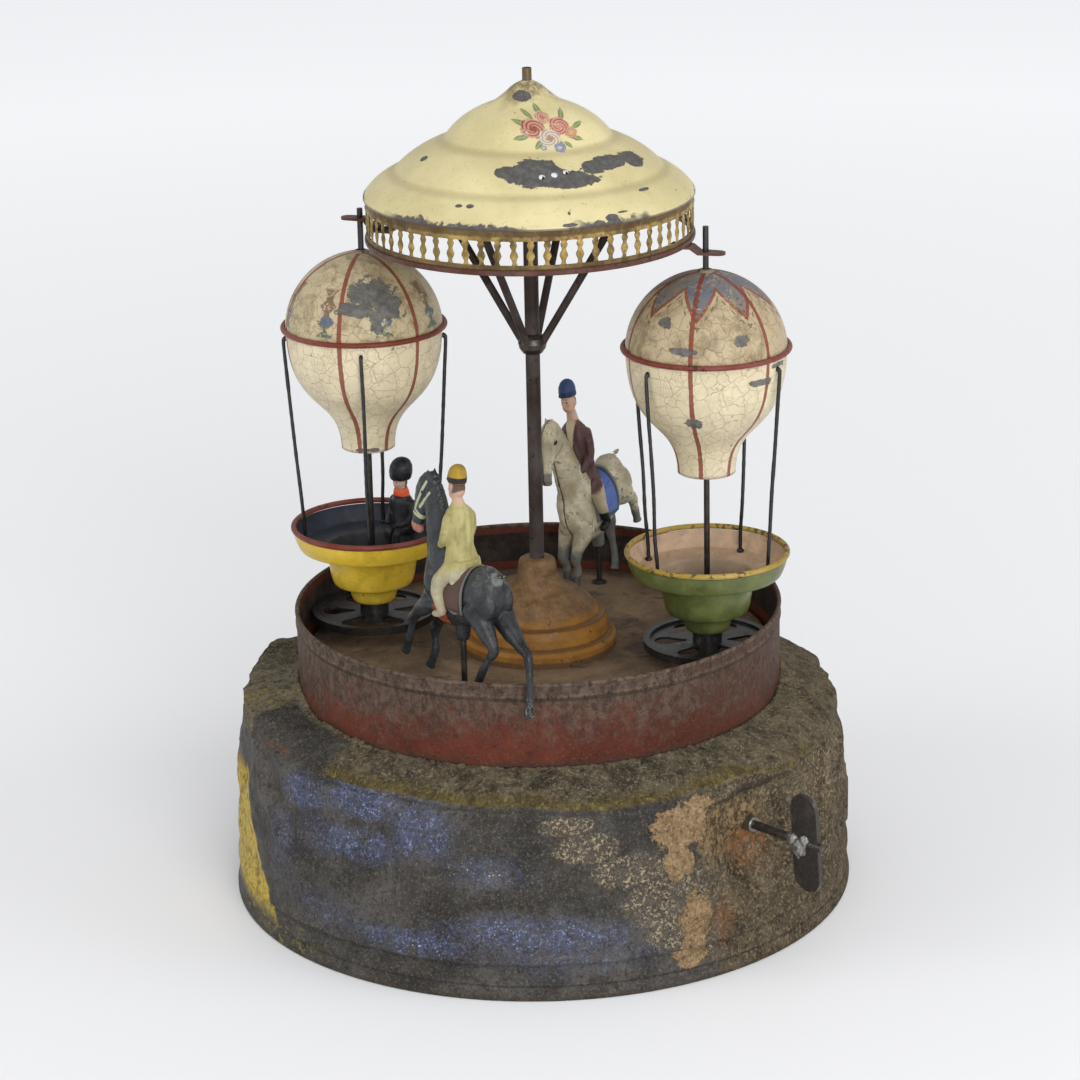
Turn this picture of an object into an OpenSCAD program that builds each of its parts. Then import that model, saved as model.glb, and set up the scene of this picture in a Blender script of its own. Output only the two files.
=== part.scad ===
// Tin musical carousel: a rock base with a winding key, a drum with a turntable, two horses
// with riders, two balloons with gondolas that roll round the drum, and a canopy on a column.
// Millimetres, +Z up, the origin in the middle of the underside, the front towards -Y.

/* [Rock base] */
// Outer radius of the hem that the toy stands on
foot_r = 129.5; // [129:0.5:133]
// Height of the straight hem below the rock
hem_h = 15; // [12:1:18]
// Thickness of the base's tin plate
tin = 1.1; // [0.9:0.1:1.3]
// Radius where the rock's side turns over to its top
shoulder_r = 122; // [120:0.5:124]
// Height of that shoulder in front
shoulder_front_z = 75; // [70:1:80]
// Height of that shoulder at the sides and the back
shoulder_back_z = 80; // [74:1:86]
// Height where the rock meets the drum in front
ledge_front_z = 86; // [84:1:92]
// Height where the rock meets the drum at the sides and the back
ledge_back_z = 91; // [86:0.5:98]
// Depth of the crumples in the rock
crumple = 1.6; // [0:0.2:2]
// Direction of the middle of the low front
front_angle = -86; // [-100:1:-75]
// Half of the angle that the low front covers
front_half = 66; // [50:1:74]

/* [Drum and turntable] */
// Outer radius of the drum's wall
drum_r = 100; // [99:0.5:102]
// Thickness of the drum's wall
drum_t = 1; // [0.8:0.1:1.2]
// Height of the drum's rim above the ground
drum_top_z = 121.2; // [120:0.2:123]
// Height of the drum's wall
drum_h = 43.2; // [42:0.2:46]
// Radius of the rolled rim
rim_roll_r = 0.9; // [0.7:0.1:1.2]
// Depth of the turntable below the rim
turntable_depth = 19.9; // [18:0.1:21]
// Gap between the turntable and the drum's wall
turntable_gap = 3.5; // [2:0.5:6]
// Thickness of the turntable
turntable_t = 1.2; // [0.9:0.1:1.5]
// Depth of the fixed deck below the turntable's top
deck_drop = 18.3; // [17:0.1:20]
// Radius of the spindle that turns the table
spindle_r = 2; // [1.8:0.1:2]
// Running clearance of shafts and pins
running = 0.06; // [0.04:0.01:0.08]

/* [Column and canopy] */
// Outer radius of the column
column_r = 2.95; // [2.8:0.05:3.3]
// Wall of the column
column_t = 0.85; // [0.7:0.05:0.9]
// Radius of the pedestal's foot
pedestal_r = 32.2; // [30:0.2:34]
// Height of the pedestal
pedestal_h = 37.7; // [36:0.1:40]
// Radius of the struts
strut_r = 1.6; // [1.3:0.1:1.8]
// Height of the struts' feet above the turntable
strut_lift = 129.7; // [120:0.5:135]
// Outer radius of the canopy's lip
canopy_r = 66.2; // [65:0.2:67]
// Height of the canopy's lip above the turntable
canopy_lift = 190.6; // [188:0.2:194]
// Thickness of the canopy's tin
canopy_t = 0.8; // [0.6:0.1:1]
// Height of the canopy's lower step
step_low_h = 9.5; // [8:0.5:11]
// Height of the canopy's upper step
step_high_h = 12; // [10:0.5:14]
// Height of the canopy's dome above the upper step
dome_h = 22.4; // [20:0.2:25]
// Number of openings in the gallery
gallery_gaps = 64; // [48:2:68]
// Height of the gallery's openings
gallery_gap_h = 10; // [8:0.5:11]
// Height of the gallery below the canopy's lip
gallery_h = 15.5; // [14:0.5:17]
// Height of the broken staff above the canopy
staff_h = 4.9; // [3:0.1:12]

/* [Balloons] */
// Distance of the balloons' rods from the column
station_r = 72.5; // [71.5:0.5:73.5]
// Direction of the right balloon
station_angle = -18; // [-24:1:-12]
// Radius of the balloons' rods
rod_r = 1.2; // [1:0.05:1.6]
// Rise of the left arm outside the gallery
left_arm_rise = 4.2; // [0:0.2:5]
// Rise of the right arm outside the gallery
right_arm_rise = -2.2; // [-4:0.2:0]
// Length of rod above the arm that holds it
rod_end = 7.9; // [4:0.1:9]
// Radius of a balloon's upper half
balloon_r = 32.4; // [31:0.2:33]
// Thickness of a balloon's tin
balloon_t = 0.8; // [0.6:0.1:1]
// Height of a balloon's bead above the turntable
bead_lift = 132.2; // [130:0.2:134]
// Height of a balloon's lower half
balloon_drop = 52; // [48:0.5:55]
// Radius of a balloon's mouth
mouth_r = 12; // [10:0.5:14]
// Radius of the wires that carry a gondola
wire_r = 0.8; // [0.7:0.05:1.1]

/* [Gondolas and wheels] */
// Height of a gondola's underside above the turntable
gondola_lift = 12.4; // [12:0.1:14]
// Radius of a gondola's rim
gondola_r = 32.6; // [31.6:0.2:33]
// Depth of a gondola's bowl above its seat
bowl_h = 7.8; // [6:0.2:10]
// Radius of a gondola's well at the seat
well_r = 19; // [18:0.2:21]
// Depth of a gondola's well below the seat
well_h = 24.7; // [23:0.1:27]
// Thickness of a gondola's tin
gondola_t = 0.8; // [0.6:0.1:1]
// Gap between a friction wheel and the drum's wall
wheel_gap = 0.3; // [0.2:0.05:0.5]
// Thickness of a friction wheel's rim
wheel_h = 3.2; // [2.4:0.2:4]
// Height of a friction wheel above the turntable
wheel_lift = 5.9; // [5:0.1:6.5]

/* [Horses and riders] */
// Distance of the horses' pins from the outside of the drum's wall
horse_in = 21; // [20.5:0.25:21.5]
// Place of the white horse round the table
white_angle = 70; // [66:1:74]
// Place of the black horse round the table
black_angle = -112; // [-116:1:-108]
// Direction that the white horse faces
white_heading = -126.4; // [-129:0.2:-124]
// Direction that the black horse faces
black_heading = 131; // [129:0.2:133]
// Height of the white horse's croup over that of the black horse
white_croup = 3.5; // [0:0.5:5]
// Height of the white rider's shoulders over those of the black horse's rider
white_rise = 3.5; // [0:0.5:5]
// Lean of the white horse on its pin
white_lean = 8; // [6:0.5:9]
// Lean of the black horse on its pin
black_lean = -2; // [-3:0.5:0]
// Height of the white horse's pin above the turntable
white_lift = 17.7; // [17.6:0.1:19]
// Height of the black horse's pin above the turntable
black_lift = 29.7; // [29:0.1:31]
// Radius of the horses' pins
pin_r = 1.2; // [1:0.05:1.4]
// Length of the horses' pins
pin_len = 34; // [33:0.5:34.5]
// Thickness of the saddle cloths
cloth_t = 0.85; // [0.6:0.05:1.2]

/* [Crank and music] */
// Direction of the crank
crank_angle = -45.5; // [-55:0.5:-35]
// Height of the crank's shaft
crank_z = 54; // [50:0.5:57]
// Radius of the crank's shaft
crank_r = 1.8; // [1.6:0.1:2]
// Height of the winding key's plate
key_h = 42; // [34:1:48]
// Width of the winding key's plate
key_w = 13; // [11:0.5:16]
// Thickness of the winding key's plate
key_t = 1.8; // [1.2:0.1:2]
// Turn of the key about its shaft
key_turn = 5; // [-45:1:45]
// Pitch radius of the crown wheel
crown_r = 30; // [28:0.5:32]
// Teeth of the crown wheel
crown_teeth = 36; // [36:36:36]
// Teeth of the pinion
pinion_teeth = 9; // [9:9:9]
// Thickness of a gear tooth
tooth_t = 1.3; // [1:0.1:1.4]
// Width of the gears' teeth
tooth_w = 5.6; // [4:0.2:7]
// Radius of the pin barrel
barrel_r = 8; // [7:0.1:9]
// Length of the pin barrel
barrel_len = 40; // [36:1:42]
// Number of pins on the barrel
barrel_pins = 30; // [16:1:40]
// Number of teeth on the comb
comb_teeth = 18; // [12:1:20]

/* [Hidden] */
$fn = 96;

// Clearance between pieces that are pressed or soldered together
seat = 0.05;
plate_t = 1;
strap_t = 1.5;
strap_w = 14;
pivot_r = 1.5;

// Rock
hem_top_r = foot_r - 2.1;
plate_r = foot_r - 1.2;
rock_sides = 64;
side_steps = [0, 0.12, 0.27, 0.42, 0.57, 0.72, 0.86, 0.95, 1];
ledge_steps = [0.12, 0.3, 0.55, 0.8, 1];
front_blend = 20;
rock_lip_r = (drum_r + 0.02) / cos(180 / rock_sides);
dent_r = foot_r - 12.9;
dent_flat = 10;
dent_fade = 22;
key_hole_r = 3.3;

// Drum and turntable
drum_bore_r = drum_r - drum_t;
drum_foot_z = drum_top_z - drum_h;
table_z = drum_top_z - turntable_depth;
table_under_z = table_z - turntable_t;
turntable_r = drum_bore_r - turntable_gap;
deck_z = table_z - deck_drop;
deck_t = 1;
bearing_r = 4.5;
bearing_top_z = deck_z + 5;

// Column and canopy
column_foot_z = table_z + 0.7;
column_bore_r = column_r - column_t;
lip_z = table_z + canopy_lift;
lip_h = 1.1;
groove = 0.6;
step_low_r = canopy_r - 12.2;
step_high_r = canopy_r - 32.2;
step_low_z = lip_z + lip_h + step_low_h;
step_high_z = step_low_z + groove + step_high_h;
canopy_top_z = step_high_z + dome_h;
column_top_z = canopy_top_z - canopy_t - 0.6;
staff_r = 1.9;
strut_angles = [station_angle, 66, station_angle + 180, -121];
strut_foot = [column_r + strut_r * 0.86 + 0.02, table_z + strut_lift];
strut_head = [step_low_r - 4.4, step_low_z + 3.9];
gallery_r = canopy_r - canopy_t;
gallery_t = 0.7;
gallery_foot_z = lip_z - gallery_h;
gallery_ring_h = 2;
arm_z = gallery_foot_z - gallery_ring_h;
arm_t = 1;

// Balloons, gondolas and wheels
left_angle = station_angle + 180;
rod_foot_z = table_z + 0.3;
rod_top_z = arm_z + rod_end;
bead_z = table_z + bead_lift;
bead_r = 1.1;
centre_z = bead_z - 1.6;
gondola_z = table_z + gondola_lift;
seat_z = gondola_z + well_h;
wheel_r = drum_bore_r - station_r - wheel_gap;
wheel_rim_w = 2.6;
wheel_z = table_z + wheel_lift;
left_wire_turns = [0, 82, 180, 270];
right_wire_turns = [-33, 57, 147, 222];

// Horses
horse_r = drum_r - horse_in;
white_top_z = table_z + white_lift;
black_top_z = table_z + black_lift;
white_place = horse_r * [cos(white_angle), sin(white_angle)];
black_place = horse_r * [cos(black_angle), sin(black_angle)];
socket_r = 2.2;
boss_depth = 2.5;

// Crank and music
pinion_r = crown_r * pinion_teeth / crown_teeth;
pinion_tip_r = pinion_r + 1.7;
pinion_root_r = pinion_r - 2;
crown_tooth_z = crank_z + pinion_r - 1.5;
crown_z = crank_z + pinion_tip_r + 0.8;
crown_plate_t = 1.2;
bridge_z = crank_z - 18;
bridge_half = 26;
frame_in = 18;
frame_out = 93.5;
frame_top_z = crown_tooth_z - 1.2;
barrel_in = 44;
barrel_pin_h = 1.2;
comb_z = crank_z + barrel_r + barrel_pin_h + 0.2;
comb_t = 1;
comb_in = barrel_in + 2;
comb_len = barrel_len - 4;
comb_base = 14;
comb_side = 28;
bracket_t = 1.2;
screw_r = 1.1;
key_in = foot_r + 10.8;
shaft_in = 16;
shaft_out = key_in + key_w + 1.8;
wall_out = dent_r * cos(180 / rock_sides);

// Step from 0 to 1 with soft ends
function smooth(t) = let (c = min(1, max(0, t))) c * c * (3 - 2 * c);

// Angle between two directions
function turn_diff(a, b) = abs(((a - b + 1260) % 360) - 180);

// Points of a round arc
function arc(centre, r, from, to, n) =
    [for (i = [0:n]) let (a = from + (to - from) * i / n) centre + r * [cos(a), sin(a)]];

// Points after p of a curve to q that bellies towards the corner above p
function bow(p, q, bulge, n) =
    let (middle = (p + q) / 2, pull = middle + bulge * ([p[0], q[1]] - middle))
    [for (i = [1:n]) let (t = i / n) (1 - t) * (1 - t) * p + 2 * t * (1 - t) * pull + t * t * q];

// Points of a curve from a to d that leaves towards b and arrives from c
function curve(a, b, c, d, n) =
    [for (i = [0:n]) let (t = i / n, s = 1 - t)
        s * s * s * a + 3 * s * s * t * b + 3 * s * t * t * c + t * t * t * d];

// Side of the step from p to q, to its left
function left_of(p, q) = let (d = (q - p) / norm(q - p)) [-d[1], d[0]];

// Point i of a line of points, moved t to the left
function moved(line, i, t) =
    let (last = len(line) - 1,
         a = i > 0 ? left_of(line[i - 1], line[i]) : left_of(line[0], line[1]),
         b = i < last ? left_of(line[i], line[i + 1]) : a)
    line[i] + t * (a + b) / (1 + a * b);

// A line of points and its copy t to the left
function inner(line, t) = [for (i = [0:len(line) - 1]) moved(line, i, t)];
function walled(line, t) =
    let (back = inner(line, t)) concat(line, [for (i = [len(line) - 1:-1:0]) back[i]]);

// Oval ring of points, square to a slope in the plane of X and Z
function oval(x, z, slope, half_w, half_d, n = 14) =
    [for (i = [0:n - 1]) let (a = 360 * i / n)
        [x - half_d * sin(a) * sin(slope), half_w * cos(a), z + half_d * sin(a) * cos(slope)]];

// Level oval ring of points
function level_oval(x, z, half_x, half_y, n = 14) =
    [for (i = [0:n - 1]) let (a = 360 * i / n) [x + half_x * cos(a), half_y * sin(a), z]];

// Two triangles between rings j and k at place i, of n points a ring
function panel(j, k, i, n, first) =
    let (h = (i + 1) % n, a = first + j * n, b = first + k * n)
    [[a + i, b + h, a + h], [a + i, b + i, b + h]];

// Closed skin over rings of points, pointed at both ends
module skin(tail, rings, nose) {
    n = len(rings[0]);
    m = len(rings);
    polyhedron(
        concat([tail], [for (r = rings) each r], [nose]),
        concat(
            [for (i = [0:n - 1]) [0, 1 + i, 1 + (i + 1) % n]],
            [for (j = [0:m - 2], i = [0:n - 1]) each panel(j, j + 1, i, n, 1)],
            [for (i = [0:n - 1]) [m * n + 1, 1 + (m - 1) * n + (i + 1) % n, 1 + (m - 1) * n + i]]
        )
    );
}

// Closed skin over rings of points that come back to the first ring
module loop_skin(rings) {
    n = len(rings[0]);
    m = len(rings);
    polyhedron(
        [for (r = rings) each r],
        [for (j = [0:m - 1], i = [0:n - 1]) each panel(j, (j + 1) % m, i, n, 0)]
    );
}

// Solid turned from an outline of radii and heights
module turned(outline) {
    rotate_extrude() polygon(outline);
}

// Flat ring or washer
module washer(outer, bore, z, h) {
    translate([0, 0, z]) difference() {
        cylinder(h = h, r = outer);
        translate([0, 0, -1]) cylinder(h = h + 2, r = bore);
    }
}

// Frame at a distance along the crank, with its axis outwards and its -X up
module along_crank(dist) {
    rotate([0, 0, crank_angle]) translate([dist, 0, crank_z]) rotate([0, 90, 0]) children();
}

// Bent strap whose outline lies across the crank, standing over a stretch of it
module cross_strap(line, t, from, to) {
    rotate([0, 0, crank_angle]) translate([from, 0, 0]) rotate([90, 0, 90])
        linear_extrude(to - from) polygon(walled(line, t));
}

// Chain of round limbs through points with a radius each
module limb(joints) {
    for (i = [0:len(joints) - 2])
        hull() {
            knuckle(joints[i]);
            knuckle(joints[i + 1]);
        }
}

module knuckle(joint) {
    translate([joint[0], joint[1], joint[2]]) sphere(joint[3], $fn = 10);
}

// Rock base

function low_front(a) = 1 - smooth((turn_diff(a, front_angle) - front_half) / front_blend);
function shoulder_z(a) =
    shoulder_back_z + (shoulder_front_z - shoulder_back_z) * low_front(a) + 0.6 * crumple * sin(7 * a + 20);
function ledge_z(a) = ledge_back_z + (ledge_front_z - ledge_back_z) * low_front(a);
function relief(a, s) =
    crumple * s * (sin(5 * a + 150 * s) + 0.8 * sin(11 * a - 240 * s + 60) + 0.5 * sin(17 * a + 90 * s)) / 2.3;

// Depth of the dent round the key's shaft, from 0 to 1
function dent(a, z) =
    1 - smooth((norm([turn_diff(a, crank_angle) * PI / 180 * dent_r, z - crank_z]) - dent_flat) / dent_fade);

// Radius and height of the rock's side, from 0 at the hem to 1 at the shoulder
function side_point(a, s) =
    let (z = hem_h + (shoulder_z(a) - hem_h) * s,
         plain = hem_top_r + (shoulder_r - hem_top_r) * s * s + relief(a, s))
    [plain + (dent_r - plain) * dent(a, z), z];

// Radius and height of the rock's top, from 0 at the shoulder to 1 at the drum
function ledge_point(a, f) =
    let (start = side_point(a, 1), climb = 1 - (1 - f) * (1 - f))
    [start[0] + (rock_lip_r - start[0]) * f, start[1] + (ledge_z(a) - start[1]) * climb];

// One ring of the rock's skin, at a depth along a direction that leans with the surface
function rock_ring(of_top, step, depth, lean) =
    [for (i = [0:rock_sides - 1])
        let (a = crank_angle + (i + 0.5) * 360 / rock_sides,
             p = (of_top ? ledge_point(a, step) : side_point(a, step)) - depth * [cos(lean), sin(lean)])
        [p[0] * cos(a), p[0] * sin(a), p[1]]];

function rock_rings(depth) = concat(
    [for (s = side_steps) rock_ring(false, s, depth, s < 0.9 ? 0 : 45 * (s - 0.9) / 0.1)],
    [for (f = ledge_steps) rock_ring(true, f, depth, f < 0.2 ? 70 : 90)]
);

module rock_shell() {
    outside = rock_rings(0);
    inside = rock_rings(tin);
    color("#5d5a4d") difference() {
        loop_skin(concat(outside, [for (j = [len(inside) - 1:-1:0]) inside[j]]));
        along_crank(dent_r - 8) cylinder(h = 16, r = key_hole_r, $fn = 48);
    }
}

module foot_hem() {
    color("#6e6553") turned([
        [plate_r, 0], [foot_r - 0.6, 0], [foot_r, 0.6], [foot_r, 2], [foot_r - 0.3, 2.8],
        [hem_top_r + 0.6, hem_h - 2.4], [hem_top_r - 0.1, hem_h - 1.2], [hem_top_r, hem_h],
        [hem_top_r - tin, hem_h], [hem_top_r - tin, hem_h - 1.6], [plate_r, 3]
    ]);
}

module bottom_plate() {
    color("#7d7462") cylinder(h = plate_t, r = plate_r);
}

// Drum

module drum_wall() {
    bead_z = drum_top_z - 5.7;
    roll = [drum_r - 0.3, drum_top_z - rim_roll_r];
    color("#7c2b20") turned(concat(
        [[drum_bore_r, drum_foot_z], [drum_r, drum_foot_z], [drum_r, bead_z - 0.8]],
        [[drum_r + 0.5, bead_z], [drum_r, bead_z + 0.8]],
        arc(roll, rim_roll_r, -70, 235, 12)
    ));
}

module deck_plate() {
    color("#5b4a38") washer(drum_bore_r, bearing_r + 0.1, deck_z - deck_t, deck_t);
}

module spindle_bearing() {
    bore = spindle_r + running;
    flange_r = 9;
    color("#b08d3f") turned([
        [bore, deck_z - 7], [bearing_r, deck_z - 7], [bearing_r, deck_z], [flange_r, deck_z],
        [flange_r, deck_z + 1.2], [bearing_r, deck_z + 1.2], [bearing_r, bearing_top_z],
        [bore, bearing_top_z]
    ]);
}

// Strap across the base that carries the spindle's lower pivot
module bearing_bridge() {
    foot = 8;
    color("#8b8578") difference() {
        cross_strap([
            [-bridge_half - foot, plate_t], [-bridge_half, plate_t], [-bridge_half, bridge_z],
            [bridge_half, bridge_z], [bridge_half, plate_t], [bridge_half + foot, plate_t]
        ], strap_t, -strap_w / 2, strap_w / 2);
        translate([0, 0, bridge_z - 1]) cylinder(h = strap_t + 2, r = pivot_r + running, $fn = 48);
    }
}

// Long strap whose turned-up ends carry the crank's shaft
module crank_frame() {
    color("#8b8578") difference() {
        rotate([0, 0, crank_angle]) rotate([90, 0, 0]) linear_extrude(strap_w - 2, center = true)
            polygon(walled([
                [frame_in, frame_top_z], [frame_in, plate_t], [frame_out, plate_t], [frame_out, frame_top_z]
            ], strap_t));
        along_crank(frame_in - 2) cylinder(h = frame_out - frame_in + 4, r = crank_r + running, $fn = 48);
    }
}

// Bush that leads the shaft out through the rock
module crank_bush() {
    bore = crank_r + running;
    tube_r = key_hole_r - 0.1;
    flange_in = wall_out - tin - 1.15;
    color("#8f8a80") along_crank(flange_in) rotate([0, 0, 90]) turned([
        [bore, 0], [5, 0], [5, 1], [tube_r, 1], [tube_r, 5.4], [tube_r - 0.4, 5.8], [bore, 5.8]
    ]);
}

// Music

module comb_bracket() {
    top_z = comb_z - bracket_t;
    color("#8b8578") difference() {
        cross_strap([
            [comb_side - 12, top_z], [comb_side, top_z], [comb_side, plate_t], [comb_side + 9, plate_t]
        ], bracket_t, comb_in, comb_in + comb_len);
        comb_holes(screw_r + 0.1);
    }
}

module music_comb() {
    pitch = comb_len / comb_teeth;
    slot = 0.6;
    color("#9fa3a6") difference() {
        rotate([0, 0, crank_angle]) translate([comb_in, 0.6, comb_z]) difference() {
            cube([comb_len, comb_side - 0.6, comb_t]);
            for (i = [1:comb_teeth - 1])
                translate([i * pitch - slot / 2, -1, -1]) cube([slot, comb_base - 0.6 + 1, comb_t + 2]);
        }
        comb_holes(screw_r + 0.1);
    }
}

// Places of the screws that hold the comb
module at_comb_screws() {
    for (i = [1:2:5])
        rotate([0, 0, crank_angle])
            translate([comb_in + comb_len * i / 6, (comb_base + comb_side) / 2, comb_z]) children();
}

module comb_holes(r) {
    at_comb_screws() translate([0, 0, -4]) cylinder(h = 8, r = r, $fn = 32);
}

module comb_screws() {
    color("#c9b46a") at_comb_screws() turned([
        [0, -2.5], [screw_r, -2.5], [screw_r, comb_t], [2.2, comb_t], [2.2, comb_t + 0.9],
        [1.6, comb_t + 1.5], [0, comb_t + 1.5]
    ]);
}

// Crank

module key_plate(t) {
    straight = key_h - key_w;
    along_crank(key_in + key_w / 2) rotate([0, 0, key_turn]) {
        cube([straight, t, key_w], center = true);
        for (side = [-1, 1])
            translate([side * straight / 2, 0, 0]) rotate([90, 0, 0])
                cylinder(h = t, r = key_w / 2, center = true);
    }
}

module shaft_rod() {
    along_crank(shaft_in) cylinder(h = shaft_out - shaft_in, r = crank_r, $fn = 48);
}

module crank_shaft() {
    color("#7f7c76") difference() {
        shaft_rod();
        key_plate(key_t);
    }
}

module wing_key() {
    color("#8d8a84") key_plate(key_t);
}

module key_solder() {
    lump_r = 3.2;
    color("#b9b7b0") difference() {
        along_crank(key_in + 0.6) sphere(lump_r, $fn = 48);
        shaft_rod();
        key_plate(key_t);
    }
}

// Outline of one tooth of the pinion, pointing along an angle
function pinion_tooth(a) = [
    for (p = [[pinion_root_r, -0.8], [pinion_r, -0.5], [pinion_tip_r, -0.3],
              [pinion_tip_r, 0.3], [pinion_r, 0.5], [pinion_root_r, 0.8]])
        let (side = tooth_t * p[1]) [p[0] * cos(a) - side * sin(a), p[0] * sin(a) + side * cos(a)]
];

module drive_pinion() {
    middle = crown_r - tooth_w / 2;
    hub_len = tooth_w + 3.2;
    color("#b08d3f") along_crank(middle) difference() {
        union() {
            linear_extrude(tooth_w)
                polygon([for (i = [0:pinion_teeth - 1]) each pinion_tooth(180 + i * 360 / pinion_teeth)]);
            translate([0, 0, tooth_w - 1]) cylinder(h = hub_len - tooth_w + 1, r = pinion_root_r - 1.5);
        }
        translate([0, 0, -1]) cylinder(h = hub_len + 2, r = crank_r + seat, $fn = 48);
    }
}

module pin_barrel() {
    golden = 137.5;
    color("#c0a15a") along_crank(barrel_in) difference() {
        union() {
            cylinder(h = barrel_len, r = barrel_r);
            for (i = [0:barrel_pins - 1])
                translate([0, 0, 3 + (barrel_len - 6) * i / (barrel_pins - 1)]) rotate([0, 90, i * golden])
                    cylinder(h = barrel_r + barrel_pin_h, r = 0.45, $fn = 6);
        }
        translate([0, 0, -1]) cylinder(h = barrel_len + 2, r = crank_r + seat, $fn = 48);
    }
}

// Turning parts under the table

module spindle() {
    shoulder_z = bridge_z + strap_t + 0.1;
    top_z = table_z + 58;
    color("#8e8b86") turned([
        [0, bridge_z - 2], [pivot_r - 0.4, bridge_z - 2], [pivot_r, bridge_z - 1.4], [pivot_r, shoulder_z],
        [spindle_r, shoulder_z], [spindle_r, top_z - 0.6], [spindle_r - 0.6, top_z], [0, top_z]
    ]);
}

module spindle_collar() {
    bore = spindle_r + seat;
    low_z = bearing_top_z + 0.2;
    color("#8e8b86") turned([
        [bore, low_z], [4.4, low_z], [4.4, table_under_z - 3], [8, table_under_z - 1.2],
        [8, table_under_z], [bore, table_under_z]
    ]);
}

module crown_wheel() {
    plate_r = crown_r + tooth_w / 2 + 1.2;
    bore = spindle_r + seat;
    color("#b08d3f") difference() {
        union() {
            translate([0, 0, crown_z]) cylinder(h = crown_plate_t, r = plate_r);
            translate([0, 0, crown_z]) cylinder(h = 7, r = 6);
            for (i = [0:crown_teeth - 1])
                rotate([0, 0, crank_angle + (i + 0.5) * 360 / crown_teeth])
                    translate([crown_r - tooth_w / 2, -tooth_t / 2, crown_tooth_z])
                        cube([tooth_w, tooth_t, crown_z - crown_tooth_z + 0.4]);
        }
        translate([0, 0, crown_z - 1]) cylinder(h = 9, r = bore, $fn = 48);
        for (i = [0:4])
            rotate([0, 0, 72 * i]) translate([17, 0, crown_z - 1]) cylinder(h = 4, r = 5.5, $fn = 48);
    }
}

module turntable() {
    color("#8a7a63") difference() {
        translate([0, 0, table_under_z]) cylinder(h = turntable_t, r = turntable_r);
        translate([0, 0, table_under_z - 1]) cylinder(h = turntable_t + 2, r = spindle_r + seat, $fn = 48);
        for (place = [white_place, black_place])
            translate([place[0], place[1], table_under_z - 1])
                cylinder(h = turntable_t + 2, r = socket_r + seat, $fn = 48);
    }
}

// Cups on the table in which the balloons' rods stand
module pivot_cups() {
    color("#8e8b86") for (a = [left_angle, station_angle])
        rotate([0, 0, a]) translate([station_r, 0, table_z]) turned([
            [rod_r + running, 0], [5, 0], [5, 0.6], [3.2, 1.2], [3.2, 2.7], [rod_r + running, 2.7]
        ]);
}

// Bushes through the table in which the horses' pins slide
module pin_sockets() {
    bore = pin_r + running;
    color("#8e8b86") for (place = [white_place, black_place])
        translate([place[0], place[1], table_z]) turned([
            [bore, -turntable_t], [socket_r, -turntable_t], [socket_r, 0], [3.2, 0], [3.2, 0.6],
            [socket_r, 0.7], [socket_r, 1.1], [bore, 1.1]
        ]);
}

// Column and canopy

module pedestal() {
    h = pedestal_h;
    bell = [pedestal_r - 7.2, h - 22];
    outline = concat(
        [[column_r + seat, h], [column_r + seat, 0.7], [spindle_r + seat, 0.7], [spindle_r + seat, 0]],
        [[pedestal_r, 0], [pedestal_r, 4.6], [pedestal_r - 1.8, 6.6], [pedestal_r - 2.6, 7]],
        [[pedestal_r - 3.2, 11], [pedestal_r - 4.4, h - 23.6], [pedestal_r - 6.6, h - 23], bell],
        bow(bell, [13, h - 12.8], 0.4, 8),
        [[10.8, h - 11.2], [9.2, h - 9.2], [8.3, h - 6.6], [7.9, h - 3.6], [7.6, h - 1.6], [7.1, h - 0.6], [6.2, h]]
    );
    color("#b07a35") translate([0, 0, table_z]) turned(outline);
}

module column() {
    color("#6b2f22") washer(column_r, column_bore_r, column_foot_z, column_top_z - column_foot_z);
}

// Line of the canopy's outside from its lip to its tip
canopy_line = concat(
    [[canopy_r, lip_z], [canopy_r, lip_z + lip_h]],
    bow([canopy_r, lip_z + lip_h], [step_low_r, step_low_z], 0.32, 7),
    [[step_low_r - groove, step_low_z + groove]],
    bow([step_low_r - groove, step_low_z + groove], [step_high_r, step_high_z], 0.28, 8),
    [[step_high_r - groove, step_high_z + groove]],
    bow([step_high_r - groove, step_high_z + groove], [14, canopy_top_z - 8.6], 0.36, 8),
    [[9.4, canopy_top_z - 5.2], [5.6, canopy_top_z - 1.6], [2.2, canopy_top_z]]
);

module canopy_dome() {
    color("#d9c58e") difference() {
        turned(walled(canopy_line, canopy_t));
        translate([0, 0, canopy_top_z - 5]) cylinder(h = 8, r = staff_r + seat, $fn = 48);
    }
}

// Room under the canopy's tin
module canopy_room() {
    turned(concat([[0, strut_foot[1] - 10], [gallery_r, strut_foot[1] - 10]], inner(canopy_line, canopy_t),
        [[0, canopy_top_z - 2]]));
}

module strut_rods() {
    reach = strut_head - strut_foot;
    for (a = strut_angles)
        rotate([0, 0, a]) translate([strut_foot[0], 0, strut_foot[1]])
            rotate([0, atan2(reach[0], reach[1]), 0]) cylinder(h = norm(reach) + 8, r = strut_r, $fn = 48);
}

module canopy_struts() {
    color("#6b2f22") intersection() {
        strut_rods();
        canopy_room();
    }
}

// Lump of solder that holds the struts' feet to the column
module strut_solder() {
    z = strut_foot[1];
    color("#8a7f72") difference() {
        turned([
            [column_r + seat, z - 5], [4, z - 4.6], [5.4, z - 2.6], [5.9, z - 0.4], [5.2, z + 1.6],
            [4, z + 3], [column_r + seat, z + 3.4]
        ]);
        strut_rods();
    }
}

module finial_stub() {
    color("#7d6a4c") washer(staff_r, staff_r - 0.7, column_top_z - 3, canopy_top_z + staff_h - column_top_z + 3);
}

// Half widths and heights of one baluster of the gallery, as shares of its height
baluster_gap = [[1.55, 0], [0.75, 0.34], [1.1, 0.5], [0.75, 0.66], [1.55, 1]];

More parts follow.
